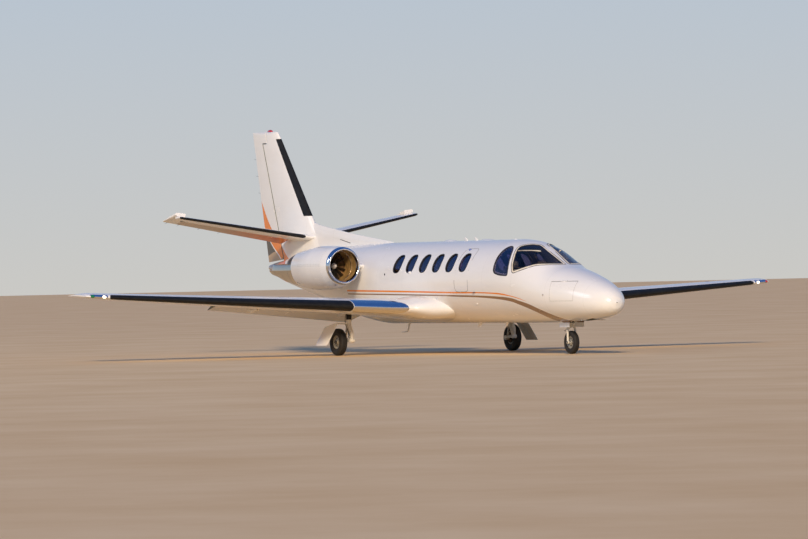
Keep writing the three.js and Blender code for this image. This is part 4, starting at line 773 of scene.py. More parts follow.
# Painted shadow of the tailplane: the tan above its foot turns dark grey
dark = add(tree, "Math", {0: cleared(shadow_foot, 99.0, rise, tree), 1: tan}, operation="MULTIPLY").outputs[0]
colour = lined(tree, station, rise, colour)
for mask, paint in ((band, ORANGE), (tan, TAN), (dark, PAINTED_SHADOW_GREY)):
    colour = add(tree, "Mix", {0: mask, 6: colour, 7: paint}, data_type="RGBA").outputs[2]
sprayed(tree, colour, bump, rough)

TAIL_DOOR = (9760, 10340, 1060, 1400)
tail = hull("tail_skin", TAIL_START + FIT, TAIL_END, 0, tail_paint, primer_and_nose_shade)
carved(tail, hull("tail_bay", 8430, 12900, TAIL_WALL))
leaf, hole, frame_half = hinged_panel("tail_bay_leaf", TAIL_DOOR, 1, False, 30)
carved(tail, hole)
carved(tail, frame_half, how="UNION")
placed(in_skin(leaf), "tail_bay_door", "wing_paint", "tail_bay_door")
placed(in_skin(tail), "airframe", "wing_paint", "tailcone")


# Acrylic panes and stretched cockpit glazing, gold-film heated, so they mirror the sky in blue and
# lilac. Light from lamps passes straight through, as it does through a thin pane.
def pane_glass(name, tint, film, mirror):
    """A clear finish by the tint of its body, the colour of its film and how much the film mirrors."""
    made, tree = finish_of(name)
    where = add(tree, "TexCoord").outputs["Object"]
    ripple = add(tree, "TexNoise", {"Vector": where, "Scale": 3.0, "Detail": 1.0}).outputs[0]
    bump = add(tree, "Bump", {"Height": ripple, "Strength": 0.05, "Distance": 0.02}).outputs[0]
    glass = add(tree, "BsdfPrincipled", {
        "Base Color": linear(tint), "Roughness": 0.01, "IOR": 1.5, "Transmission Weight": 1.0,
        "Specular Tint": linear(film), "Coat Weight": mirror, "Coat IOR": 1.9, "Coat Roughness": 0.02,
        "Coat Tint": linear(film), "Normal": bump}).outputs[0]
    clear = add(tree, "BsdfTransparent", {"Color": linear(tint)}).outputs[0]
    lit = add(tree, "LightPath").outputs["Is Shadow Ray"]
    show(tree, add(tree, "MixShader", {0: lit, 1: glass, 2: clear}).outputs[0])
    return made


cabin_acrylic = pane_glass("cabin_window_acrylic", "9490B4", "D6CCF8", 0.35)
# The cockpit panes' grey tint stands partly for the glazing's own tint and partly for painted shade, laid dark so
# that the cockpit behind it reads dark
cockpit_glass = pane_glass("cockpit_stretched_acrylic", "A9A6A6", "6C6A70", 0.0)
side_glass = pane_glass("cockpit_side_acrylic", "A6A4B4", "DCD4FF", 0.2)


for side, word in BOTH_SIDES:
    placed(glazing("cabin_panes_" + word, side, 0 if side > 0 else 1, FIT, REBATE_INNER, cabin_acrylic),
           "airframe", "glass", "window_belt_" + word)
    for name, outline, sight, glass in (("windscreen_", WINDSCREEN, WINDSCREEN_SIGHT, cockpit_glass),
                                        ("side_window_", SIDE_WINDOW, SIDE_SIGHT, side_glass)):
        layer = skin_layer(name + "pane_" + word, 1620, 3390, 8, 20, glass)
        placed(carved(layer, pane_prism("outline", outline, side, sight, POST_HALF + FIT), how="INTERSECT"),
               "airframe", "glass", name + word)
for name, station, side, wide, high, body, node in (
        ("door_pane", DOOR_WINDOW_STATION, 1, DOOR_WINDOW_WIDE, DOOR_WINDOW_HIGH, "entry_door", "door_window"),
        ("hatch_pane", CABIN_WINDOWS[0], -1, WINDOW_WIDE, WINDOW_HIGH, "airframe", "hatch_window")):
    layer = skin_layer(name, station - 400, station + 400, REBATE_OUTER, REBATE_INNER, cabin_acrylic)
    placed(carved(layer, window_cut(station, side, wide - 2 * FIT, high - 2 * FIT), how="INTERSECT"),
           body, "glass", node)


# Black rubber seals run round every pane. A cream enamelled retainer holds the windscreen's edge
# from outside, between two dark lines, and the side window's from inside.

# Extruded silicone rubber, nearly black and dull, a little chalky
seal_rubber = patterned("black_silicone_seal", {"Scale": 40.0, "Detail": 4.0},
                        ((0.35, "17171A"), (0.75, "2B2B2E")), 0.55)

# Stove-enamelled steel strip, satin, worn darker in patches
cream = patterned("cream_enamelled_frame", {"Scale": 14.0, "Detail": 5.0}, ((0.4, "EDE3CC"), (0.75, "D8CBB0")),
                  0.42, look={"Coat Weight": 0.2})


def skin_level(point):
    """Below nought inside the skin, nought on it and above nought outside."""
    station, out, height = point
    half, widest, fullness, reach = oval_at(station, height)
    return abs(out / half) ** fullness + abs((height - widest) / reach) ** fullness - 1


def met_by(outline, side, sight):
    """Where a cockpit outline swept along its line of sight meets the skin."""
    forward, out = sight
    places = []
    for p in softened(outline):
        low, high = -170.0, 420.0
        for _ in range(24):
            push = (low + high) / 2
            inside = skin_level((p[0] - push * forward, p[1] + push * out, p[2])) < 0
            low, high = (push, high) if inside else (low, push)
        places.append(Vector((p[0] - low * forward, side * max(POST_HALF, p[1] + low * out), p[2])))
    return places


def skin_strip(name, outline, outward, inward, low, high, finish):
    """A closed strip that follows an outline on the skin, from one distance out of it to one within."""
    middle = sum(outline, Vector()) / len(outline)
    rings = [[], [], [], []]
    for i, point in enumerate(outline):
        run = outline[(i + 1) % len(outline)] - outline[i - 1]
        half, widest, _, reach = oval_at(point[0], point[2])
        away = Vector((0, point[1] / half**2, (point[2] - widest) / reach**2)).normalized()
        across = away.cross(run).normalized()
        if across.dot(point - middle) < 0:
            across = -across
        for ring, (shift, lift) in zip(rings, ((outward, low), (outward, high), (-inward, high), (-inward, low))):
            ring.append(spot(*onto_skin(point + across * shift, lift)))
    return piece(name, *lofted(rings, looped=True), finish)


for side, word in BOTH_SIDES:
    for name, outline, sight, seal, retainer, low, high in (
            ("windscreen_", WINDSCREEN, WINDSCREEN_SIGHT, 7, 32, -8, 1.2),
            ("side_window_", SIDE_WINDOW, SIDE_SIGHT, 20, 24, -27, -21)):
        edge = met_by(outline, side, sight)
        placed(skin_strip(name + "seal_" + word, edge, 7, seal, -8, 1.5, seal_rubber), "airframe", "tyre")
        placed(skin_strip(name + "retainer_" + word, edge, -seal, seal + retainer, low, high, cream),
               "airframe", "gear_paint")
        placed(skin_strip(name + "edging_" + word, edge, -seal - retainer, seal + retainer + 9, low, high,
                          seal_rubber), "airframe", "tyre")
for body, side, stations in (("airframe", 1, CABIN_WINDOWS), ("airframe", -1, CABIN_WINDOWS),
                             ("entry_door", 1, [DOOR_WINDOW_STATION])):
    wide, high = (DOOR_WINDOW_WIDE, DOOR_WINDOW_HIGH) if body == "entry_door" else (WINDOW_WIDE, WINDOW_HIGH)
    for i, station in enumerate(stations):
        edge = [Vector((s, side * skin_half(s, z), z)) for s, z in oval(station, WINDOW_HEIGHT, wide, high)]
        name = f"window_seal_{body}_{'left' if side > 0 else 'right'}_{i}"
        placed(skin_strip(name, edge, 5, 12, -17, 1.5, seal_rubber), body, "tyre")

# Sealant smoothed into the hatch's joint by hand, a dull grey
sealant = patterned("grey_joint_sealant", {"Scale": 60.0, "Detail": 3.0},
                    ((0.35, "77726A"), (0.75, "8C867C")), 0.6)
edge = [Vector((s, -skin_half(s, z), z)) for s, z in oval(EXIT_MIDDLE, EXIT_HEIGHT, EXIT_WIDE, EXIT_HIGH, 7, 96)]
placed(skin_strip("hatch_sealant", edge, 5, 5, -2, 0.6, sealant), "airframe", "fuselage_paint")
placed(door_seal("tail_door_seal", TAIL_DOOR, 1, False), "airframe", "fuselage_paint")
for side, word in BOTH_SIDES:
    placed(door_seal("nose_door_seal_" + word, NOSE_DOOR, side, True), "airframe", "fuselage_paint")


# Each wing is a metal box of spars and skins, one aerofoil from the flared root fairing to the tip.
# Its paint is the same white; the flaps, ailerons and their coves are cut out of the one shape.
HALF_SPAN = 7700
# Leading edge, chord, twist in degrees and thickness, each at the centre line and at the tip
WING_LEAD, WING_CHORD, WING_TWIST, WING_THICK = (5600, 6630), (2890, 880), (2.2, -0.8), (0.14, 0.12)
TWIST_AT, WING_CAMBER, WING_HEIGHT, WING_RISE = 0.4, 0.018, 800, 0.0616
# Distance out, how far the section reaches ahead of and behind the plain wing, and its thickness
WING_EXTRA = np.array([
    [240, 590, 407, 0.98], [560, 576, 368, 0.98], [740, 411, 258, 1.0], [880, 193, 105, 1.02],
    [1010, 53, 10, 1.0], [1130, 0, 0, 1.0], [7545, 0, 0, 1.0], [7645, -20, -10, 0.72], [7700, -90, -30, 0.3],
])
WING_STATIONS = [240, 330, 420, 500, 560, 600, 640, 680, 720, 760, 800, 840, 880, 920, 960, 1010, 1070, 1130,
                 1500, 2000, 2500, 3000, 3500, 4000, 4500, 5000, 5500, 6000, 6500, 7000, 7300, 7545, 7595,
                 7645, 7675, 7695, 7700]
wing_paint, tree, _, _, _, colour, bump, rough = gloss_paint("wing_polyurethane_gloss")
sprayed(tree, colour, bump, rough)


def mix(a, b, t):
    """A value between two others by a share."""
    return a + (b - a) * t


def half_thick(thick, x):
    """Half the thickness of an aerofoil of chord 1 at a place along it."""
    return 5 * thick * (0.2969 * math.sqrt(x) - 0.126 * x - 0.3516 * x**2 + 0.2843 * x**3 - 0.1015 * x**4)


def foil(thick, camber, t, lift=0.0):
    """A point of an aerofoil of chord 1. Over the top t runs from 0 at the nose to 1, and below to -1."""
    def at(u):
        x = min(u * u, 1.0)
        return Vector((x, 4 * camber * x * (1 - x) + math.copysign(half_thick(thick, x) + 0.0015 * x, u)))

    point = at(t)
    if lift:
        run = at(min(1.0, t + 0.004)) - at(max(-1.0, t - 0.004))
        point = point + Vector((-run.y, run.x)).normalized() * lift
    return point


def wing_spot(out, t, side, lift=0.0):
    """A place on the wing's skin by distance out and place round the aerofoil, lifted in millimetres."""
    part = out / HALF_SPAN
    ahead_of, behind_it, thin = between(WING_EXTRA, out)
    lead = mix(*WING_LEAD, part) - ahead_of
    chord = mix(*WING_CHORD, part) + ahead_of + behind_it
    turn = math.radians(mix(*WING_TWIST, part))
    x, z = foil(mix(*WING_THICK, part) * thin, WING_CAMBER, t, lift / chord)
    aft, up = (x - TWIST_AT) * chord, z * chord
    return spot(lead + TWIST_AT * chord + aft * math.cos(turn) + up * math.sin(turn), side * out,
                WING_HEIGHT + WING_RISE * out - aft * math.sin(turn) + up * math.cos(turn))


def around(count=30):
    """Places round an aerofoil, from its trailing edge over the top to the nose and back below."""
    return [math.copysign(math.sqrt((1 + math.cos(math.pi * i / count)) / 2), count - i)
            if i != count else 0.0 for i in range(2 * count + 1)]


def skinned(name, places, surface, *finishes):
    """A solid from the sections of a surface."""
    return piece(name, *lofted([[surface(at, t) for t in around()] for at in places]), *finishes)


def copied(target):
    """A second piece with its own mesh."""
    made = target.copy()
    made.data = target.data.copy()
    scene.collection.objects.link(made)
    return made


def inside_finish(tool):
    """Marks a cutting shape so that what it cuts shows the second material."""
    tool.data.polygons.foreach_set("material_index", [1] * len(tool.data.polygons))
    return tool


def behind_line(inner, outer, ahead_by, trim, tall):
    """A block that holds everything behind a line, with its ends square to it."""
    along = (outer - inner).normalized()
    aft = Vector((-1, 0, 0))
    aft = (aft - along * aft.dot(along)).normalized()
    up = aft.cross(along).normalized()
    rings = [[p + aft * back / 1000 + up * high / 1000
              for back, high in ((ahead_by, -tall), (900, -tall), (900, tall), (ahead_by, tall))]
             for p in (inner - along * trim / 1000, outer + along * trim / 1000)]
    return inside_finish(piece("behind", *lofted(rings), wing_paint, primer_and_nose_shade))


COVE, PIN_REACH = 10, 32


def hinged_surface(whole, inner, outer, radii, pin, tall=260, horn=(), room=()):
    """A control surface that turns in its own round nose, and the rest with a cove round it. A horn
    is more of the whole that moves too, with the room that it needs."""
    along = (outer - inner).normalized()

    def round_bar(grow, trim, r0, r1):
        return rod("nose", inner - along * trim / 1000, outer + along * trim / 1000, r0 + grow, r1 + grow, 48,
                   wing_paint, primer_and_nose_shade)

    moving = copied(whole)
    keeps = behind_line(inner, outer, 0, 0, tall)
    for tool in (keeps, *horn):
        tool.data.polygons.foreach_set("material_index", [0] * len(tool.data.polygons))
    # The round nose takes the second material, dark, as painted shade in the gap; the real nose is white
    carved(keeps, inside_finish(round_bar(-1.5, -1, *radii)), *horn, how="UNION")
    carved(moving, keeps, how="INTERSECT")
    carved(moving, round_bar(0, PIN_REACH, pin, pin), how="UNION")
    cove = carved(behind_line(inner, outer, 0, GAP, tall), inside_finish(round_bar(COVE, GAP - 1, *radii)), *room,
                  how="UNION")
    carved(whole, cove, inside_finish(round_bar(PIN_SLACK, PIN_REACH + PIN_SLACK, pin, pin)))
    return moving, whole


def wing_line(out, part, side):
    """A place on the wing's camber line, by distance out and part of its chord."""
    share = out / HALF_SPAN
    chord, turn = mix(*WING_CHORD, share), math.radians(mix(*WING_TWIST, share))
    aft, up = (part - TWIST_AT) * chord, 4 * WING_CAMBER * part * (1 - part) * chord
    return spot(mix(*WING_LEAD, share) + TWIST_AT * chord + aft + up * math.sin(turn), side * out,
                WING_HEIGHT + WING_RISE * out - aft * math.sin(turn) + up)


FLAP_FROM, FLAP_TO, FLAP_HINGE, FLAP_DROP = 1130, 4440, 0.75, 18
FLAP_PIVOT = Vector((-0.060, 0, -0.150))
FLAP_BRACKETS = (1700, 3700)
FLAP_ARM = [(14, -18), (-16, -16), (-18, 12), (60, 40), (78, 90), (300, 90), (260, 20)]
FLAP_TONGUE = [(14, -8), (8, -18), (-12, -18), (-120, 90), (-110, 115), (30, 115)]
FLAP_PIN = 9
AILERON_FROM, AILERON_TO, AILERON_HINGE, AILERON_PIN = 4560, 7130, 0.76, 9
WHEEL_WELL, WHEEL_WELL_OUT, WHEEL_WELL_RADIUS, LEG_WELL_OUT = 7210, 1400, 300, 2080


def bracket(pivot, down, side, out):
    """A flap's fixed arm plates with their pin, its tongue, and the tongue's bore."""
    at = pivot + down * ((side * out / 1000 - pivot.y) / down.y)

    def plate(outline, y0, y1):
        return piece("plate", *lofted([[at + Vector((a, y, z)) / 1000 for a, z in outline] for y in (y0, y1)]),
                     wing_paint, primer_and_nose_shade)

    def eye(reach, radius):
        aside = down * reach / 1000
        return rod("eye", at - aside, at + aside, radius, None, 24, wing_paint, primer_and_nose_shade)

    fixed = carved(plate(FLAP_ARM, -26, -12), plate(FLAP_ARM, 12, 26), eye(26, FLAP_PIN), how="UNION")
    return fixed, plate(FLAP_TONGUE, -8, 8), eye(20, FLAP_PIN + PIN_SLACK)


def swung(pivot, way, degrees):
    """A turn about a line through a place."""
    return Matrix.Translation(pivot) @ Matrix.Rotation(math.radians(degrees), 4, way) @ Matrix.Translation(-pivot)


def half_at(out, part):
    """Half the wing's thickness at a distance out and a part of its chord."""
    share = out / HALF_SPAN
    return mix(*WING_CHORD, share) * half_thick(mix(*WING_THICK, share), part)


for side, word in BOTH_SIDES:
    wing = skinned("wing_skin_" + word, WING_STATIONS, lambda out, t: wing_spot(out, t, side), wing_paint, primer_and_nose_shade)
    carved(wing, hull("fuselage_side", 4700, 9500, -FIT))
    inner, outer = (wing_line(out, AILERON_HINGE, side) for out in (AILERON_FROM, AILERON_TO))
    radii = [0.97 * half_at(out, AILERON_HINGE) for out in (AILERON_FROM, AILERON_TO)]
    aileron, wing = hinged_surface(wing, inner, outer, radii, AILERON_PIN)
    aileron.name = "aileron_skin_" + word
    placed(aileron, "aileron_" + word, "wing_paint", "aileron_" + word)

    inner, outer = (wing_line(out, FLAP_HINGE, side) for out in (FLAP_FROM, FLAP_TO))
    down = ((inner - outer) * side).normalized()
    pivot = inner + FLAP_PIVOT
    flap = copied(wing)
    flap.name = "flap_skin_" + word
    keeps = behind_line(inner, outer, 0, 0, 260)
    carved(flap, keeps, how="INTERSECT")
    carved(wing, behind_line(inner, outer, -GAP, GAP, 260))
    bores = []
    for out in FLAP_BRACKETS:
        fixed, tongue, bore = bracket(pivot, down, side, out)
        carved(wing, fixed, how="UNION")
        carved(flap, tongue, how="UNION")
        bores.append(bore)
    flap.data.transform(swung(pivot, down, FLAP_DROP))
    carved(flap, *bores)
    placed(flap, "flap_" + word, "wing_paint", "flap_" + word)

    foot, roof = (spot(WHEEL_WELL, side * WHEEL_WELL_OUT, z) for z in (400, 900))
    well = rod("wheel_well", foot, roof, WHEEL_WELL_RADIUS, None, 64, wing_paint, primer_and_nose_shade)
    leg_well = block("leg_well", 6890, 7200, side * WHEEL_WELL_OUT, side * LEG_WELL_OUT, 400, 900,
                     wing_paint, primer_and_nose_shade)
    carved(wing, inside_finish(well), inside_finish(leg_well))
    placed(wing, "airframe", "wing_paint", "wing_" + word)


# The fin and tailplane are built like the wing. The rudder reaches from below the tailplane to the
# fin's top, where it has a balance horn, and its lower pin runs in the tail.
FIN_TOP, RUDDER_LOW, HORN_LOW, HORN_AHEAD, RUDDER_COVE = 4560, 1945, 4330, 230, 17
FIN_STATIONS = [1700, 2100, 2500, 2900, 3300, 3700, 4100, 4440, 4500, 4530, 4548, 4560]


def fin_lead(z):
    """Station of the fin's leading edge at a height."""
    return 11790 + 0.789 * (z - 2650)


def fin_trail(z):
    """Station of the rudder's trailing edge at a height."""
    return 13821 + 0.2266 * (z - 2000)


def fin_hinge(z):
    """Station of the rudder's hinge line at a height."""
    return 12985 + 0.3855 * (z - 1900)


def fin_thick(z):
    """The fin's thickness as a part of its chord at a height."""
    return mix(0.115, 0.10, (z - 1700) / (FIN_TOP - 1700))


def fin_spot(z, t, lift=0.0, grow=0.0):
    """A place on the fin's skin by height and place round its section. The top's edge is rounded."""
    trim = float(np.interp(z, (4440, 4530, 4548, 4560), (0, 12, 26, 60)))
    thin = float(np.interp(z, (4440, 4530, 4548, 4560), (1, 0.94, 0.75, 0.4)))
    lead, trail = fin_lead(z) + trim - grow, fin_trail(z) + grow
    chord = trail - lead
    x, y = foil(fin_thick(z) * thin + grow / chord, 0, t, lift / chord)
    return spot(lead + x * chord, y * chord, z)


DORSAL = np.array([
    [8510, 2215, 30], [9600, 2335, 60], [10800, 2490, 85], [11800, 2660, 105], [12300, 2950, 90]])


def dorsal_half(station, u):
    """How far the fillet ahead of the fin reaches sideways, from its foot to its ridge."""
    hollow = 0.38 + 0.62 * (1 - u) ** 1.25
    return between(DORSAL, station)[1] * hollow * (1 - 0.8 * max(0.0, (u - 0.82) / 0.18) ** 2)


def dorsal_fin(grow=0.0):
    """The long fillet ahead of the fin, hollow-sided and round along its ridge."""
    rings = []
    for station in np.linspace(8510, 12300, 40):
        ridge = between(DORSAL, station)[0]
        flank = [(dorsal_half(station, u) + grow, mix(1900, ridge + grow, u)) for u in np.linspace(0, 1, 9)]
        rings.append([spot(station, y, z) for y, z in flank] + [spot(station, -y, z) for y, z in flank[::-1]])
    return piece("dorsal_fin", *lofted(rings), tail_paint, primer_and_nose_shade)


fin_low, fin_high = (spot(fin_hinge(z), 0, z) for z in (RUDDER_LOW, FIN_TOP + 40))
fin_along = (fin_high - fin_low).normalized()
fin_radii = []
for z in (RUDDER_LOW, FIN_TOP):
    chord = fin_trail(z) - fin_lead(z)
    fin_radii.append(0.97 * chord * half_thick(fin_thick(z), (fin_hinge(z) - fin_lead(z)) / chord))


def sideways(outline):
    """A shape in the plane of symmetry, pushed out to both sides."""
    return piece("sideways", *lofted([[Vector((x, y, z)) for x, z in outline] for y in (-0.2, 0.2)]),
                 tail_paint, primer_and_nose_shade)


def rudder_keep(grow, nose_grow, horn_grow):
    """What the rudder takes of the fin: all behind its hinge line, its round nose and its horn."""
    x0, z0, x1, z1 = fin_low.x, fin_low.z, fin_high.x, fin_high.z
    g, h = grow / 1000, horn_grow / 1000
    shape = sideways([(x0, z0 - g), (x0 - 1.4, z0 - g - 0.14), (x1 - 1.4, z1), (x1, z1)])
    # The rudder's round nose takes the second material, dark, as painted shade in its gap
    nose_bar = inside_finish(rod("nose", fin_low - fin_along * max(0.0, nose_grow) / 1000, fin_high,
                                 fin_radii[0] + nose_grow, fin_radii[1] + nose_grow, 48, tail_paint, primer_and_nose_shade))
    low, ahead_x = HORN_LOW / 1000, HORN_AHEAD / 1000
    horn = sideways([(spot(fin_hinge(HORN_LOW), 0, 0).x, low - h),
                     (spot(fin_hinge(HORN_LOW), 0, 0).x + ahead_x + h, low - h),
                     (spot(fin_hinge(FIN_TOP), 0, 0).x + ahead_x + h, z1), (x1, z1)])
    return carved(shape, nose_bar, horn, how="UNION")


def rudder_pin(grow):
    """The rudder's lower pin, or its bore in the tail."""
    return rod("pin", fin_low - fin_along * (62 + grow) / 1000, fin_low + fin_along * 0.06, 14 + grow, None, 24,
               tail_paint, primer_and_nose_shade)


fin = skinned("fin_skin", FIN_STATIONS, fin_spot, tail_paint, primer_and_nose_shade)
rudder = copied(fin)
rudder.name = "rudder_skin"
carved(rudder, rudder_keep(0, -1.5, 0), how="INTERSECT")
carved(rudder, rudder_pin(0), how="UNION")
x0, z0 = fin_low.x, fin_low.z
below = sideways([(x0 + 0.04, 1.2), (x0 - 1.4, 1.2), (x0 - 1.4, z0 + 0.009), (x0 + 0.04, z0 + 0.009)])
carved(fin, inside_finish(rudder_keep(GAP, RUDDER_COVE, 3 * GAP)), below)
carved(fin, dorsal_fin(), how="UNION")
carved(fin, hull("tail_side", TAIL_START - 100, TAIL_END, -FIT))
carved(tail, rudder_pin(PIN_SLACK))
placed(fin, "airframe", "wing_paint", "fin")
placed(rudder, "rudder", "wing_paint", "rudder")


# The tailplane stands part-way up the fin. Each elevator turns in its own round nose, hangs down on
# the ground, and has a balance horn that is the tailplane's tip.
TAIL_ROOT, TAIL_TIP, TAIL_HINGE, ELEVATOR_FROM, ELEVATOR_TO = 60, 2775, 0.66, 190, 2480
TAIL_LEAD, TAIL_CHORD, TAIL_HEIGHT, TAIL_RISE, TAIL_THICK = (11669, 12377), (1306, 791), 2330, 0.170, 0.10
TAIL_STATIONS = [60, 500, 1000, 1500, 2000, 2400, 2600, 2715, 2735, 2750, 2760, 2768, 2775]
HORN_FROM, HORN_REACH, HORN_RIB, ELEVATOR_DROOP = 2525, 300, 28, 15


def tail_at(out):
    """Leading edge, chord and height of the tailplane at a distance out."""
    t = (out - TAIL_ROOT) / (TAIL_TIP - TAIL_ROOT)
    return mix(*TAIL_LEAD, t), mix(*TAIL_CHORD, t), TAIL_HEIGHT + TAIL_RISE * out


def tail_spot(out, t, side, lift=0.0):
    """A place on the tailplane's skin, with a rounded tip."""
    lead, chord, height = tail_at(out)
    trim = float(np.interp(out, (2715, 2745, 2762, 2775), (0, 10, 24, 50)))
    thin = float(np.interp(out, (2715, 2745, 2762, 2775), (1, 0.86, 0.66, 0.4)))
    x, z = foil(TAIL_THICK * thin, 0, t, lift / chord)
    return spot(lead + trim + x * (chord - 1.5 * trim), side * out, height + z * chord)


def elevator_hinge(out, side):
    """A place on an elevator's hinge line."""
    lead, chord, height = tail_at(out)
    return spot(lead + TAIL_HINGE * chord, side * out, height)


def droop(side):
    """The turn that lets an elevator hang down as it does on the ground."""
    inner, outer = (elevator_hinge(out, side) for out in (ELEVATOR_FROM, ELEVATOR_TO))
    return swung(inner, ((inner - outer) * side).normalized(), ELEVATOR_DROOP)


def elevator_horn(side):
    """What an elevator takes of the tip for its balance horn, and the room that it needs there."""
    outer, start, end = (elevator_hinge(out, side) for out in (ELEVATOR_TO, HORN_FROM, TAIL_TIP + 60))
    before = start - (end - start).normalized() * GAP / 1000

    def round_bar(a, b, radius):
        return inside_finish(rod("horn", a, b, radius, None, 128, wing_paint, primer_and_nose_shade))

    horn = carved(round_bar(start, end, HORN_REACH), behind_line(outer, end, HORN_RIB + GAP, 5, 150), how="UNION")
    room = carved(behind_line(outer, end, 0, GAP, 150), round_bar(outer, before, HORN_RIB))
    return horn, carved(room, round_bar(before, end, HORN_REACH + GAP), how="UNION")


def fin_block():
    """The fin with its fillet, a fitting gap larger, to cut out of the tailplane."""
    body = skinned("fin_block", (1700, 2100, 2500, 2900, 3200), lambda z, t: fin_spot(z, t, 0, 2 * FIT),
                   tail_paint, primer_and_nose_shade)
    return carved(body, dorsal_fin(2 * FIT), how="UNION")


# The elevators' undersides carry the orange on their inner part, laid darker than the stripe's orange
# as painted shade, and beyond it a grey-brown that is painted shade of the downward face
elevator_paint, tree, _, _, out, colour, bump, rough = gloss_paint("elevator_polyurethane_gloss")
facing = add(tree, "SeparateXYZ", {0: add(tree, "TexCoord").outputs["Normal"]}).outputs["Z"]
below_it = add(tree, "MapRange", {"Value": facing, "From Min": -0.05, "From Max": -0.12}).outputs["Result"]
shade_far_out = add(tree, "MapRange", {"Value": add(tree, "Math", {0: out}, operation="ABSOLUTE").outputs[0],
                                 "From Min": 0.7, "From Max": 1.7}).outputs["Result"]
orange_and_painted_shade = {0: shade_far_out, 6: linear("D9772F"), 7: linear("B9A48C")}
under = add(tree, "Mix", orange_and_painted_shade, data_type="RGBA").outputs[2]
inboard = add(tree, "Math", {0: below_it, 1: cleared(-2.5, 2.5, out, tree)}, operation="MULTIPLY").outputs[0]
colour = add(tree, "Mix", {0: inboard, 6: colour, 7: under}, data_type="RGBA").outputs[2]
sprayed(tree, colour, bump, rough)

for side, word in BOTH_SIDES:
    stabiliser = skinned("stabiliser_skin_" + word, TAIL_STATIONS, lambda out, t: tail_spot(out, t, side),
                         wing_paint, primer_and_nose_shade)
    ends = [elevator_hinge(out, side) for out in (ELEVATOR_FROM, ELEVATOR_TO)]
    radii = [0.97 * tail_at(out)[1] * half_thick(TAIL_THICK, TAIL_HINGE) for out in (ELEVATOR_FROM, ELEVATOR_TO)]
    horn, room = elevator_horn(side)
    elevator, stabiliser = hinged_surface(stabiliser, *ends, radii, 8, 150, [horn], [room])
    elevator.data.transform(droop(side))
    carved(stabiliser, fin_block())
    elevator.name = "elevator_skin_" + word
    elevator.data.materials[0] = elevator_paint
    placed(elevator, "elevator_" + word, "wing_paint", "elevator_" + word)
    placed(stabiliser, "airframe", "wing_paint", "stabiliser_" + word)


# De-icing boots are black neoprene glued over the leading edges, with rounded ends. The wing roots
# have a band of bare polished aluminium instead, heated from within.

# Neoprene sheet, black and dull, scuffed in patches; its 1 mm grain is drawn at 3 mm
boot_rubber = patterned("black_neoprene_boot", {"Scale": 9.0, "Detail": 8.0, "Roughness": 0.7},
                        ((0.35, "121213"), (0.7, "222221")), (0.42, 0.62), (0.2, 0.001),
                        {"Specular IOR Level": 0.22}, fine=("TexNoise", {"Scale": 300.0, "Detail": 2.0}))

# Aluminium polished by hand, a soft mirror with faint swirls
polished = patterned("hand_polished_aluminium", {"Scale": 22.0, "Detail": 6.0, "Distortion": 1.5},
                     ((0.3, "D3D6DA"), (0.8, "E6E7E9")), (0.05, 0.14), (0.04, 0.004), {"Metallic": 1.0})


def wrapped(name, surface, start, end, below, above, low, high, finish, round_start=0, round_end=0, steps=60):
    """A thin shell over a leading edge, from below the nose to above it, with round ends if asked."""
    places = list(np.linspace(start, end, steps))
    for length, edge, way in ((round_start, start, 1), (round_end, end, -1)):
        places += [edge + way * length * (1 - math.cos(a)) for a in np.linspace(0.12, 1.5, 9)] if length else []
    places = sorted(set(round(float(p), 2) for p in places), reverse=start > end)
    across = np.linspace(0, 1, 25)
    outer, inner = [], []
    for at in places:
        share = 1.0
        for length, edge in ((round_start, start), (round_end, end)):
            if length and abs(at - edge) < length:
                share = min(share, math.sqrt(max(0.0025, 1 - (1 - abs(at - edge) / length) ** 2)))
        turns = [mix(-below * share, above * share, u) for u in across]
        outer.append([surface(at, t, high) for t in turns])
        inner.append([surface(at, t, low) for t in turns])
    rings = [o + i[::-1] for o, i in zip(outer, inner)]
    return piece(name, *lofted(rings), finish)


for side, word in BOTH_SIDES:
    def wing_face(out, t, lift):
        return wing_spot(out, t, side, lift)

    def tail_face(out, t, lift):
        return tail_spot(out, t, side, lift)

    placed(wrapped("wing_boot_" + word, wing_face, 2340, 7250, 0.25, 0.27, -2, 2.2, boot_rubber, 15, 60),
           "airframe", "tyre")
    placed(wrapped("wing_root_metal_" + word, wing_face, 1200, 2330, 0.30, 0.31, -2, 1.2, polished, 340, 0),
           "airframe", "polished_metal")
    placed(wrapped("wing_tip_metal_" + word, wing_face, 7290, 7640, 0.24, 0.26, -2, 1.2, polished),
           "airframe", "polished_metal")
    placed(wrapped("tail_boot_" + word, tail_face, 247, 2766, 0.21, 0.21, -2, 2.2, boot_rubber, 45, 30),
           "airframe", "tyre")
placed(wrapped("fin_boot", lambda z, t, lift: fin_spot(z, t * mix(0.93, 1.04, (z - 2793) / 1609), lift),
               2793, 4402, 0.32, 0.32, -2, 2.2, boot_rubber), "airframe", "tyre")


# Each engine hangs beside the tail in a painted cowl with a polished intake lip. The cowl's lower
# half swings off for servicing, so it has split lines, latches and rows of flush fasteners.
ENGINE_OUT, ENGINE_HIGH = 1300, 1755
# Station, then how far the cowl reaches sideways, up and down
COWL = np.array([
    [8250, 375, 375, 375], [8400, 394, 388, 416], [8520, 404, 394, 442], [9000, 412, 400, 466],
    [9200, 402, 384, 464], [9400, 380, 360, 456], [9600, 348, 336, 436], [9850, 306, 309, 400]])
DUCT = [(8250, 303), (8940, 303), (9060, 360), (9200, 352), (9400, 336), (9600, 314), (9850, 293)]
LIP = [(8249.7, 375), (8222, 371), (8195, 361), (8174, 347), (8167, 334), (8171, 322), (8180, 314), (8210, 306),
       (8249.7, 303)]


def by_engine(side, station, out, up):
    """A place by its distances from an engine's axis."""
    return spot(station, side * ENGINE_OUT + out, ENGINE_HIGH + up)


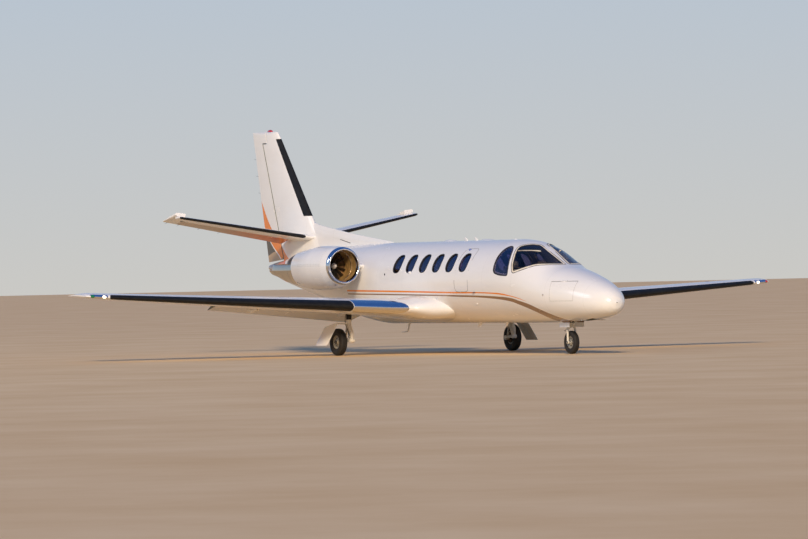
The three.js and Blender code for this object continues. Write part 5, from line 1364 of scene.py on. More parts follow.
def turned(name, profile, place, *finishes, sides=96):
    """A profile of (along, radius) pairs turned round an axis. It closes on itself or ends on the axis."""
    rings = [[place(a, r, t) for a, r in profile] for t in once_round(sides)]
    return piece(name, *lofted(rings, looped=True), *finishes)


def flowing(points, steps=6):
    """More points on a smooth curve through a row of points."""
    p = [np.array(q, float) for q in points]
    made = []
    for i in range(len(p) - 1):
        a, b, c, d = p[max(i - 1, 0)], p[i], p[i + 1], p[min(i + 2, len(p) - 1)]
        made += [0.5 * (2 * b + (c - a) * t + (2 * a - 5 * b + 4 * c - d) * t**2 + (3 * b - a - 3 * c + d) * t**3)
                 for t in np.arange(steps) / steps]
    return [tuple(q) for q in made] + [tuple(p[-1])]


def egg(side, station, across, up, down, sides=96):
    """A section of the cowl, rounder above than below."""
    return [by_engine(side, station, across * math.cos(t), (up if math.sin(t) > 0 else down) * math.sin(t))
            for t in once_round(sides)]


def cowl_form(side, grow, *finishes):
    """The cowl's closed outer shape, a distance out of its skin."""
    rings = [egg(side, s, *(between(COWL, s) + grow)) for s in np.linspace(COWL[0, 0], COWL[-1, 0], 60)]
    return piece("cowl_form", *lofted(rings), *finishes)


def cowl_spot(side, station, turn, lift):
    """A place on the cowl's skin, lifted in millimetres."""
    across, up, down = between(COWL, station) + lift
    return by_engine(side, station, across * math.cos(turn),
                     (up if math.sin(turn) > 0 else down) * math.sin(turn))


def cowl_groove(side, path, wide, closed=False):
    """A cutting shape for a panel line along (station, turn) points on the cowl, or all round it."""
    rings = []
    for i, (station, turn) in enumerate(path):
        ahead = path[min(i + 1, len(path) - 1)]
        back = path[max(i - 1, 0)]
        mean = float(between(COWL, station)[0])
        run = np.array([ahead[0] - back[0], (ahead[1] - back[1]) * mean])
        run /= np.linalg.norm(run)
        rings.append([cowl_spot(side, station - run[1] * w, turn + run[0] * w / mean, lift)
                      for w, lift in ((-wide, 6), (wide, 6), (wide * 0.7, -4), (-wide * 0.7, -4))])
    return piece("groove", *lofted(rings, looped=closed), cowl_paint, primer_and_nose_shade)


cowl_paint, tree, _, _, _, colour, bump, rough = gloss_paint("cowl_polyurethane_gloss")
sprayed(tree, colour, bump, rough)

# Perforated acoustic sheet, anodised bronze; its 1.5 mm holes are drawn at 6 mm
duct_bronze = patterned("bronze_anodised_liner", {"Scale": 12.0, "Detail": 6.0},
                        ((0.3, "A07B46"), (0.7, "CDA869")), 0.42, (0.5, 0.0012), {"Metallic": 0.35},
                        fine=("TexVoronoi", {"Scale": 160.0, "Randomness": 0.15}))

# Forged and ground titanium with streaks across the blade, laid a dark grey well below bare titanium's
# as painted shade inside the intake
fan_titanium = patterned("forged_titanium_blade", {"Scale": 3.0, "Detail": 5.0},
                         ((0.3, "3A3632"), (0.75, "6E675E")), 0.36, (0.1, 0.001), {"Metallic": 0.9},
                         stretch=(60, 6, 6))

# Sprayed enamel, pale and glossy under a haze of rain marks
spinner_paint = patterned("spinner_grey_enamel", {"Scale": 30.0, "Detail": 4.0},
                          ((0.3, "CFCAC0"), (0.7, "E8E4DB")), 0.3, (0.08, 0.001), {"Coat Weight": 0.4})

# The core and nozzle are a nickel alloy that has run hot, so they are tinted straw and brown
hot_nickel, tree = finish_of("heat_tinted_nickel_alloy")
where = add(tree, "TexCoord").outputs["Object"]
drawn = add(tree, "Mapping", {"Vector": where, "Scale": (2.0, 5.0, 5.0)}).outputs[0]
tint = add(tree, "TexNoise", {"Vector": drawn, "Scale": 2.4, "Detail": 7.0, "Roughness": 0.62}).outputs[0]
tone = stops(add(tree, "ValToRGB", {0: tint}), (0.25, linear("4F443A")), (0.5, linear("7B6A58")),
             (0.75, linear("A08C70")))
soot = add(tree, "TexNoise", {"Vector": where, "Scale": 40.0, "Detail": 5.0}).outputs[0]
rough = add(tree, "MapRange", {"Value": soot, "To Min": 0.28, "To Max": 0.5}).outputs[0]
bump = add(tree, "Bump", {"Height": soot, "Strength": 0.12, "Distance": 0.001}).outputs[0]
show(tree, add(tree, "BsdfPrincipled", {"Base Color": tone, "Metallic": 0.9, "Roughness": rough,
                                        "Normal": bump}).outputs[0])

# The reverser's beams and buckets are polished stainless sheet, a little straw-coloured from heat
bright_steel = patterned("polished_stainless_sheet", {"Scale": 4.0, "Detail": 6.0},
                         ((0.3, "C2BBAE"), (0.7, "D8D2C6")), (0.12, 0.24), (0.05, 0.0008), {"Metallic": 1.0},
                         stretch=(1.5, 40, 40))


# Small fastenings repeat along rows: one shape is set on each point and turned to face outward
def repeat_rule():
    """The node group that sets a shape on each point, turned to the point's facing and spun by chance."""
    rule = bpy.data.node_groups.new("repeat_on_points", "GeometryNodeTree")
    rule.is_modifier = True
    for name, way, kind in (("Points", "INPUT", "NodeSocketGeometry"), ("Shape", "INPUT", "NodeSocketObject"),
                            ("Finish", "INPUT", "NodeSocketMaterial"), ("Spin", "INPUT", "NodeSocketFloat"),
                            ("Result", "OUTPUT", "NodeSocketGeometry")):
        rule.interface.new_socket(name, in_out=way, socket_type=kind)
    given = add(rule, "NodeGroupInput").outputs
    facing = add(rule, "GeometryNodeInputNamedAttribute", {"Name": "facing"}, data_type="FLOAT_VECTOR").outputs[0]
    upright = add(rule, "FunctionNodeAlignRotationToVector", {"Vector": facing}, axis="Z").outputs[0]
    chance = add(rule, "FunctionNodeRandomValue", {"Seed": 7}, data_type="FLOAT").outputs[1]
    angle = add(rule, "ShaderNodeMath", {0: chance, 1: given["Spin"]}, operation="MULTIPLY").outputs[0]
    spin = add(rule, "FunctionNodeAxisAngleToRotation", {"Axis": (0, 0, 1), "Angle": angle}).outputs[0]
    both = add(rule, "FunctionNodeRotateRotation", {"Rotation": upright, "Rotate By": spin},
               rotation_space="LOCAL").outputs[0]
    shape = add(rule, "GeometryNodeObjectInfo", {"Object": given["Shape"]}).outputs["Geometry"]
    set_out = add(rule, "GeometryNodeInstanceOnPoints",
                  {"Points": given["Points"], "Instance": shape, "Rotation": both}).outputs[0]
    real = add(rule, "GeometryNodeRealizeInstances", {0: set_out}).outputs[0]
    done = add(rule, "GeometryNodeSetMaterial", {"Geometry": real, "Material": given["Finish"]}).outputs[0]
    add(rule, "NodeGroupOutput", {0: done})
    return rule


REPEAT = repeat_rule()


def repeated(name, shape, places, finish, spin=0.0):
    """A copy of a small shape on each (point, facing), as one piece."""
    mesh = bpy.data.meshes.new(name)
    mesh.from_pydata([tuple(p) for p, _ in places], [], [])
    facing = mesh.attributes.new("facing", "FLOAT_VECTOR", "POINT")
    facing.data.foreach_set("vector", [c for _, n in places for c in n])
    mesh.materials.append(finish)
    made = bpy.data.objects.new(name, mesh)
    scene.collection.objects.link(made)
    rule = made.modifiers.new("repeat", "NODES")
    rule.node_group = REPEAT
    names = {i.name: i.identifier for i in REPEAT.interface.items_tree if i.in_out == "INPUT"}
    rule[names["Shape"]], rule[names["Finish"]], rule[names["Spin"]] = shape, finish, spin
    return baked(made)


def button(name, profile, sides):
    """A small turned shape that stands along Z at the origin, from (height, radius) pairs in millimetres."""
    def place(a, r, t):
        return Vector((r * math.cos(t), r * math.sin(t), a)) / 1000

    return turned(name, profile, place, sides=sides)


rivet = button("rivet", [(-0.4, 0), (-0.4, 3.4), (0.25, 3.1), (0.5, 1.8), (0.6, 0)], 8)
camloc = button("camloc", [(-0.6, 0), (-0.6, 6.5), (0.5, 6.2), (0.7, 4.6), (0.1, 4.0), (0.1, 0)], 12)

# Plated steel, a dull silver with fine specks
fastener_steel = patterned("cadmium_plated_steel", {"Scale": 120.0, "Detail": 3.0},
                           ((0.3, "8F8C86"), (0.7, "B7B3AA")), 0.35, (0.2, 0.0005), {"Metallic": 1.0})


def joined_up(name, parts):
    """Closed shapes made into one, the first keeping its finishes."""
    carved(parts[0], *parts[1:], how="UNION")
    parts[0].name = name
    return parts[0]


def cowl_row(side, path):
    """Fastener places along (station, turn) points, each facing out."""
    return [(cowl_spot(side, s, t, 0.2), (cowl_spot(side, s, t, 20) - cowl_spot(side, s, t, 0)).normalized())
            for s, t in path]


# Stations and radii of the turned pieces, and the reverser's tables: beam (station, reach, half height)
# and bucket (station, half width, depth)
COWL_JOINTS = (8440, 9395)
LINER_RING = [(8436, 302.6), (8436, 297.5), (8448, 296.5), (8458, 297.5), (8458, 302.6)]
SPINNER_AND_HUB = [(8518, 0), (8520, 10), (8528, 21), (8543, 33), (8564, 46), (8586, 56), (8606, 62),
                   (8618, 64), (8712, 64), (8712, 40), (8745, 40), (8745, 0)]
SPINNER_REAR, BLADES, BLADE_STATION = 8606, 15, 8660
BLADE_REACH, BLADE_CHORD, BLADE_LEAN = (56, 293), (36, 34), (25, 50)
CORE = [(8750, 0), (8750, 40.8), (8725, 40.8), (8725, 302.7), (8930, 302.7), (9000, 240), (9740, 240),
        (9790, 292.7), (9862, 289), *flowing([(9862, 289), (10040, 262), (10220, 208)], 6)[1:], (10222, 202),
        *flowing([(10220, 196), (10040, 250), (9862, 277)], 6), (9880, 110), (9960, 84), (10040, 44), (10085, 0)]
REVERSER_FROM, BUCKET_WALL, BUCKET_RIBS = 9857, 22, (10080, 10420, 10760)
BEAM_SECTION = [(-44, -1.0), (-6, -1.0), (-1, -0.9), (0, -0.7), (-17, 0.6), (-23, 0.85), (-32, 1.0), (-44, 1.0)]
BEAM = np.array([[9857, 303, 74], [10300, 264, 72], [10600, 234, 70], [10840, 196, 66], [10890, 172, 40]])
BUCKET = np.array([[9857, 301, 396], [10080, 278, 368], [10400, 240, 310], [10650, 218, 250],
                   [10850, 198, 206], [11050, 168, 168]])


for side, word in BOTH_SIDES:
    def place(along, radius, turn):
        return by_engine(side, along, radius * math.cos(turn), radius * math.sin(turn))

    away = 0.0 if side > 0 else math.pi
    body = cowl_form(side, 0, cowl_paint, duct_bronze)
    hollow = turned("hollow", [(8200, 0), (8200, 303), *DUCT, (9900, 293), (9900, 0)], place,
                    cowl_paint, duct_bronze)
    carved(body, inside_finish(hollow))
    for turn in (away - 0.06, away + math.pi + 0.1):
        carved(body, cowl_groove(side, [(s, turn) for s in np.linspace(8440, 9800, 60)], 1.6))
    for station in COWL_JOINTS:
        carved(body, cowl_groove(side, [(station, t) for t in once_round(120)], 1.4, True))
    placed(body, "airframe", "fuselage_paint", "cowl_" + word)

    rows = []
    for station in COWL_JOINTS:
        rows += cowl_row(side, [(station + 16, t) for t in once_round(60)])
    rows += cowl_row(side, [(s, away + d) for s in np.arange(8500, 9800, 64) for d in (-0.105, -0.015)])
    placed(repeated("cowl_fasteners_" + word, camloc, rows, fastener_steel, 6.28), "airframe", "gear_paint")

    # Two drains and an oil door low on the outer side, and an overboard vent ahead of them
    lows = [(9745, -0.86, 11), (9650, -0.88, 9), (9320, -1.32, 15), (8330, -1.25, 20)]
    drains = [rod("drain", *(cowl_spot(side, s, away + side * t, lift) for lift in (-6, 5)), r, r * 0.8, 16,
                  seal_rubber) for s, t, r in lows]
    placed(joined_up("cowl_drains_" + word, drains), "airframe", "tyre")

    lip = turned("intake_lip_" + word, flowing(LIP, 5), place, polished, sides=128)
    placed(lip, "airframe", "polished_metal", "intake_lip_" + word)
    ring = turned("liner_ring_" + word, LINER_RING, place, polished)
    placed(ring, "airframe", "polished_metal")

    # Fan: a forged hub and spinner with swept, twisted blades that thin toward the tip
    fan = turned("fan_" + word, SPINNER_AND_HUB, place, fan_titanium, spinner_paint, sides=60)
    for face in fan.data.polygons:
        face.material_index = int(face.center.x > spot(SPINNER_REAR, 0, 0).x)
    blades = []
    for i in range(BLADES):
        turn = math.pi / 2 + (2 * i + 1) * math.pi / BLADES
        rings = []
        for u in np.linspace(0, 1, 9):
            radius, lean = mix(*BLADE_REACH, u), math.radians(mix(*BLADE_LEAN, u))
            chord = mix(*BLADE_CHORD, u) + 3 * math.sin(math.pi * u)
            face = [(c, 4.0 * mix(1, 0.5, u) * (1 - 0.8 * c * c) + 0.6) for c in np.linspace(-1, 1, 7)]
            rings.append([place(BLADE_STATION - c * chord * math.cos(lean) - 2 * t / 4, radius,
                                turn + c * chord * math.sin(lean) / radius * 0.9 + t / radius)
                          for c, t in face + [(c, -t) for c, t in face[::-1]]])
        blades.append(piece("blade", *lofted(rings), fan_titanium, spinner_paint))
    carved(fan, *blades, how="UNION")
    placed(fan, "fan_" + word, "fan_metal", "fan_" + word)

    # Engine core and the short hot nozzle with its bullet, and the reverser's beams and bucket
    core = turned("engine_core_" + word, CORE, place, hot_nickel, sides=80)
    beams = []
    for sign in (1, -1):
        rings = []
        for station in (*np.linspace(REVERSER_FROM, 10840, 30), 10855, 10870, 10882, 10890):
            reach, tall = between(BEAM, station)
            rings.append([spot(station, side * ENGINE_OUT + sign * (reach + y), ENGINE_HIGH - 12 + z * tall)
                          for y, z in BEAM_SECTION])
        beams.append(piece(f"reverser_beam_{word}_{'outer' if sign * side > 0 else 'inner'}", *lofted(rings),
                           bright_steel))
    rings = []
    for station in np.linspace(REVERSER_FROM, BUCKET[-1, 0], 40):
        across, down = between(BUCKET, station)
        low = -math.asin(60 / down)
        turns = np.linspace(low, -math.pi - low, 40)
        rings.append([by_engine(side, station, (across - t) * math.cos(a), (down - t) * math.sin(a))
                      for t, row in ((0, turns), (BUCKET_WALL, turns[::-1])) for a in row])
    bucket = piece("reverser_bucket_" + word, *lofted(rings), bright_steel)
    for station in BUCKET_RIBS:
        across, down = between(BUCKET, station)
        rings = [[by_engine(side, station + s, (across + t) * math.cos(a), (down + t) * math.sin(a))
                  for s, t in ((-7, -3), (-5, 2.2), (5, 2.2), (7, -3))]
                 for a in np.linspace(-0.25, -math.pi + 0.25, 36)]
        carved(bucket, piece("rib", *lofted(rings), bright_steel), how="UNION")
    placed(core, "airframe", "engine_metal", "engine_" + word)
    placed(bucket, "airframe", "engine_metal")
    for beam in beams:
        placed(beam, "airframe", "polished_metal")

    # Pylon: a short stub wing that carries the engine, fitted to the fuselage and the cowl
    pylon_rings = [[spot(lead + x * (trail - lead), side * y, ENGINE_HIGH - 15 + z * (trail - lead))
                    for x, z in (foil(thick, 0, t) for t in around(24))]
                   for y, lead, trail, thick in ((480, 8330, 10180, 0.105), (600, 8372, 10105, 0.1),
                                                 (720, 8420, 10030, 0.095), (865, 8530, 9936, 0.092),
                                                 (1010, 8650, 9840, 0.09))]
    pylon = piece("pylon_skin_" + word, *lofted(pylon_rings), cowl_paint)
    behind = turned("behind", [(9849, 0), (9849, 330), (10400, 330), (10400, 0)], place, cowl_paint)
    carved(pylon, hull("side", 8000, 11000, -FIT), cowl_form(side, FIT), behind)
    placed(pylon, "airframe", "fuselage_paint", "pylon_" + word)
for shape in (rivet, camloc):
    shape.hide_render = True


# Landing gear. Legs and forks are forged steel in gloss white, gone dusty low down. The sliding
# parts are hard chrome, and the joints are greased pins.
gear_white, tree = finish_of("dusty_white_gear_enamel")
where = add(tree, "TexCoord").outputs["Object"]
dust = add(tree, "TexNoise", {"Vector": where, "Scale": 14.0, "Detail": 8.0, "Roughness": 0.65}).outputs[0]
rise = add(tree, "SeparateXYZ", {0: where}).outputs["Z"]
low = add(tree, "MapRange", {"Value": rise, "From Min": 0.65, "From Max": 0.1, "To Max": 0.8}).outputs["Result"]
thick = add(tree, "MapRange", {"Value": dust, "From Min": 0.45, "From Max": 0.75}).outputs[0]
share = add(tree, "Math", {0: thick, 1: low}, operation="MULTIPLY").outputs[0]
tone = add(tree, "Mix", {0: share, 6: linear("DDD8CC"), 7: linear("8B7F6C")}, data_type="RGBA").outputs[2]
rough = add(tree, "MapRange", {"Value": dust, "To Min": 0.22, "To Max": 0.5}).outputs[0]
bump = add(tree, "Bump", {"Height": dust, "Strength": 0.1, "Distance": 0.002}).outputs[0]
show(tree, add(tree, "BsdfPrincipled", {"Base Color": tone, "Roughness": rough, "Normal": bump}).outputs[0])

# Ground hard chrome, bright, under a film of oil
chrome = patterned("hard_chrome_piston", {"Scale": 70.0, "Detail": 4.0}, ((0.35, "C9CBCD"), (0.8, "DADBDD")),
                   (0.06, 0.2), (0.05, 0.0005), {"Metallic": 1.0})

# Phosphated steel, nearly black, with brown grime in the grease
dark_steel = patterned("oiled_dark_steel", {"Scale": 45.0, "Detail": 6.0},
                       ((0.3, "1C1B1A"), (0.6, "34302B"), (0.85, "5A4B3A")), (0.3, 0.6), (0.3, 0.001),
                       {"Metallic": 0.7})

# Moulded rubber, dusty brown where it wears; its fine grain is drawn at 2 mm
tyre_rubber = patterned("worn_black_tyre_rubber", {"Scale": 26.0, "Detail": 8.0, "Roughness": 0.7},
                        ((0.35, "171513"), (0.65, "2A2622"), (0.85, "463D33")), (0.6, 0.85), (0.35, 0.0008),
                        fine=("TexNoise", {"Scale": 420.0, "Detail": 3.0}))

# Cast magnesium in silver paint, with brake dust in its hollows
wheel_silver = patterned("silver_painted_magnesium", {"Scale": 34.0, "Detail": 7.0},
                         ((0.3, "6F6857"), (0.6, "B7B4A8"), (0.85, "C9C7BE")), (0.55, 0.3, 0.3, 0.8),
                         (0.15, 0.001), {"Metallic": 0.45})


def swept(name, path, radii, finish, flat=1.0, sides=16, steps=6):
    """A round bar, or one flattened fore and aft, along a smooth path in metres. Radii in millimetres."""
    spine = [Vector(p) for p in flowing([tuple(p) for p in path], steps)]
    sizes = [r[0] for r in flowing([(r,) for r in radii], steps)]
    across = None
    rings = []
    for i, at in enumerate(spine):
        along = (spine[min(i + 1, len(spine) - 1)] - spine[max(i - 1, 0)]).normalized()
        across = (along.orthogonal() if across is None else across - along * across.dot(along)).normalized()
        other = along.cross(across)
        rings.append([at + (across * math.cos(a) + other * math.sin(a) * flat) * sizes[i] / 1000
                      for a in once_round(sides)])
    return piece(name, *lofted(rings), finish)


def tyre_profile(radius, width, rim):
    """Across and radius round one tyre: beads, bulged walls, and a tread with four grooves."""
    half, deep = width / 2, radius - rim
    wall = [(-0.62, 0), (-0.78, 0.06), (-0.93, 0.24), (-1.0, 0.47), (-0.985, 0.62), (-0.93, 0.76), (-0.83, 0.88),
            (-0.7, 0.945), (-0.56, 0.975)]
    left = [(a * half, rim + r * deep) for a, r in flowing(wall, 3)]
    tread = []
    for groove in (-0.42, -0.14, 0.14, 0.42):
        for shift, down in ((-0.055, 0), (-0.04, 6), (0.04, 6), (0.055, 0)):
            a = groove + shift
            tread.append((a * half, radius - 0.5 - 7.0 * a * a - down))
    return left + tread + [(-a, r) for a, r in left[::-1]]


hex_bolt = button("hex_bolt", [(-1, 0), (-1, 7.2), (4.6, 7.2), (5.4, 6.2), (5.4, 3.4), (8.0, 3.4), (8.4, 2.8),
                               (8.4, 0)], 6)


def wheel(body, node_tyre, node_hub, station, out, radius, width, rim, bore, outer_side, pockets, bolt_ring):
    """A tyre, its two-piece rim, tie bolts and valve. outer_side is the side that shows."""
    def place(a, r, t):
        return spot(station + r * math.cos(t), out + a, radius + r * math.sin(t))

    tyre = turned("tyre_of_" + body, tyre_profile(radius, width, rim), place, tyre_rubber, sides=110)
    placed(tyre, body, "tyre", node_tyre)
    half = width / 2
    side_profile = flowing([(half * 0.60, rim - FIT), (half * 0.66, rim - 3), (half * 0.66, rim - 9),
                            (half * 0.52, rim - 12)], 2) + flowing(
        [(half * 0.36, rim - 19), (half * 0.30, rim - 27), (half * 0.32, mix(rim, bore, 0.5)),
         (half * 0.42, bore + 27), (half * 0.5, bore + 20)], 3)
    profile = [*side_profile, (half * 0.56, bore + 16), (half * 0.56, bore)]
    rim_piece = turned("rim_of_" + body, profile + [(-a, r) for a, r in profile[::-1]], place, wheel_silver,
                       dark_steel, sides=96)
    middle = mix(rim - 24, bore + 24, 0.45)
    for i in range(pockets):
        t = 2 * math.pi * (i + 0.5) / pockets
        for way in (-1, 1):
            carved(rim_piece, inside_finish(rod("pocket", place(way * half * 0.9, middle, t),
                                                place(way * half * 0.20, middle, t), 15, 12, 20,
                                                wheel_silver, dark_steel)))
    placed(rim_piece, body, "wheel_paint", node_hub)
    bolts = [(place(way * half * 0.315, bolt_ring, 2 * math.pi * i / pockets), Vector((0, way, 0)))
             for i in range(pockets) for way in (-1, 1)]
    placed(repeated("tie_bolts_of_" + body, hex_bolt, bolts, fastener_steel, 0.6), body, "gear_paint")
    valve = swept("valve_of_" + body, [place(outer_side * half * 0.34, bolt_ring + 14, 0.35),
                                       place(outer_side * half * 0.55, bolt_ring + 15, 0.36),
                                       place(outer_side * half * 0.7, bolt_ring + 12, 0.37)], [3, 3, 2.4],
                  fastener_steel, sides=10)
    placed(valve, body, "gear_paint")
    return place


NOSE_STATION, NOSE_RADIUS = 1670, 220
nose_place = wheel("nose_wheel", "nose_tyre", "nose_hub", NOSE_STATION, 0, NOSE_RADIUS, width=112, rim=118,
                   bore=18.9, outer_side=-1, pockets=8, bolt_ring=62)


def nose_at(aft, out, height):
    """A place by its distance aft of the nose wheel's axle."""
    return spot(NOSE_STATION + aft, out, height)


def round_leg(a, r, t):
    """A place round the nose leg's upright axis."""
    return nose_at(r * math.cos(t), r * math.sin(t), a)


# Nose fork: two curved arms forged in one with a turning collar, in white enamel. A chromed axle with
# nuts passes through its eyes, and steel scissors behind it bring the steering down.
arms = [swept("arm", [nose_at(0, y, 205), nose_at(1, y, 300), nose_at(3, y, 400), nose_at(4, y * 0.98, 462),
                      nose_at(2, y * 0.72, 506), nose_at(0, y * 0.3, 526), nose_at(0, 0, 530)],
              [21, 19, 21, 24, 27, 30, 31], gear_white, 0.8, 20) for y in (84, -84)]
collar = turned("collar", [*flowing([(500, 34), (520, 37), (552, 36), (558, 34)], 3), (559.5, 30), (559.5, 0),
                           (498, 0)], round_leg, gear_white, sides=40)
eyes = [rod("eye", nose_at(0, y - 17, 220), nose_at(0, y + 17, 220), 31, 31, 40, gear_white) for y in (84, -84)]
fork = joined_up("nose_fork_forging", [collar, *arms, *eyes])
placed(fork, "nose_steer", "gear_paint", "nose_fork")
axle = turned("nose_axle", [(-112, 0), (-112, 13), (-110, 18), (110, 18), (112, 13), (112, 0)],
              nose_place, chrome, sides=32)
placed(axle, "nose_steer", "gear_paint")
nuts = [rod("nut", nose_at(0, y - 5, 220), nose_at(0, y + 5, 220), 25, 25, 6, dark_steel) for y in (106, -106)]
placed(joined_up("nose_axle_nuts", nuts), "nose_steer", "gear_paint")
links = [swept("link", [nose_at(26, y, 520), nose_at(110, y * 0.7, 488), nose_at(190, y * 0.45, 441)], [9, 8, 9],
               gear_white, 1.5, 12) for y in (30, -30)]
links += [rod("pin", nose_at(190, -45, 440), nose_at(190, 45, 440), 12, None, 20, gear_white),
          rod("pin", nose_at(24, -40, 521), nose_at(24, 40, 521), 13, None, 20, gear_white)]
placed(joined_up("nose_scissors", links), "nose_steer", "gear_paint")


# Nose leg: a steel cylinder on a trunnion bar, held by a drag strut, in white enamel. A dark steering
# collar is clamped round it, and two rubber hoses run down it.
leg = turned("leg", [(560.3, 0), (560.3, 50), (566, 53), (584, 53), (590, 47), (640, 46), (648, 52), (672, 53),
                     (680, 47), (760, 48), (780, 56), (875, 58), (880, 54), (880, 0)],
             round_leg, gear_white, sides=44)
bars = [rod("trunnion", nose_at(0, -149.7, 845), nose_at(0, 149.7, 845), 32, None, 32, gear_white),
        rod("drag_bar", nose_at(-420, -149.7, 870), nose_at(-420, 149.7, 870), 20, None, 24, gear_white)]
for y in (-1, 1):
    bars.append(swept("drag", [nose_at(-30, y * 24, 600), nose_at(-220, y * 46, 730), nose_at(-420, y * 60, 870)],
                      [13, 11, 13], gear_white, 1.0, 14))
bars.append(rod("drag_pin", nose_at(-30, -40, 600), nose_at(-30, 40, 600), 17, None, 20, gear_white))
placed(joined_up("nose_leg_forging", [leg, *bars]), "airframe", "gear_paint", "nose_leg")
steer = turned("steering_collar", [(592, 46), (592, 62), (600, 66), (630, 66), (638, 60), (638, 46)],
               round_leg, dark_steel, sides=40)
placed(steer, "airframe", "gear_paint")
hoses = [swept("hose", [nose_at(30, y, 860), nose_at(64, y * 1.3, 780), nose_at(60, y * 1.2, 690),
                        nose_at(58, y, 640)], [5, 5, 5, 5], seal_rubber, sides=10) for y in (-26, 26)]
placed(joined_up("nose_hoses", hoses), "airframe", "tyre")


# Main gear: a fixed forged leg with a trailing arm and a chromed shock strut, a wheel with stacked
# steel brake discs, and a pressed aluminium door stayed to the leg.
MAIN_STATION, MAIN_OUT, MAIN_RADIUS, MAIN_WIDTH = 7250, 1970, 265, 150
LEG_OUT = MAIN_OUT - MAIN_WIDTH / 2 - 62


def door_out(z):
    """How far out the main gear's door stands at a height."""
    return 2105 + (662 - z) * 0.611


# Rubbed steel discs with a film of rust
disc_steel = patterned("rusty_brake_disc", {"Scale": 60.0, "Detail": 7.0},
                       ((0.3, "4A4038"), (0.6, "6E5744"), (0.85, "8A6B4C")), (0.35, 0.65), (0.25, 0.0008),
                       {"Metallic": 0.8})

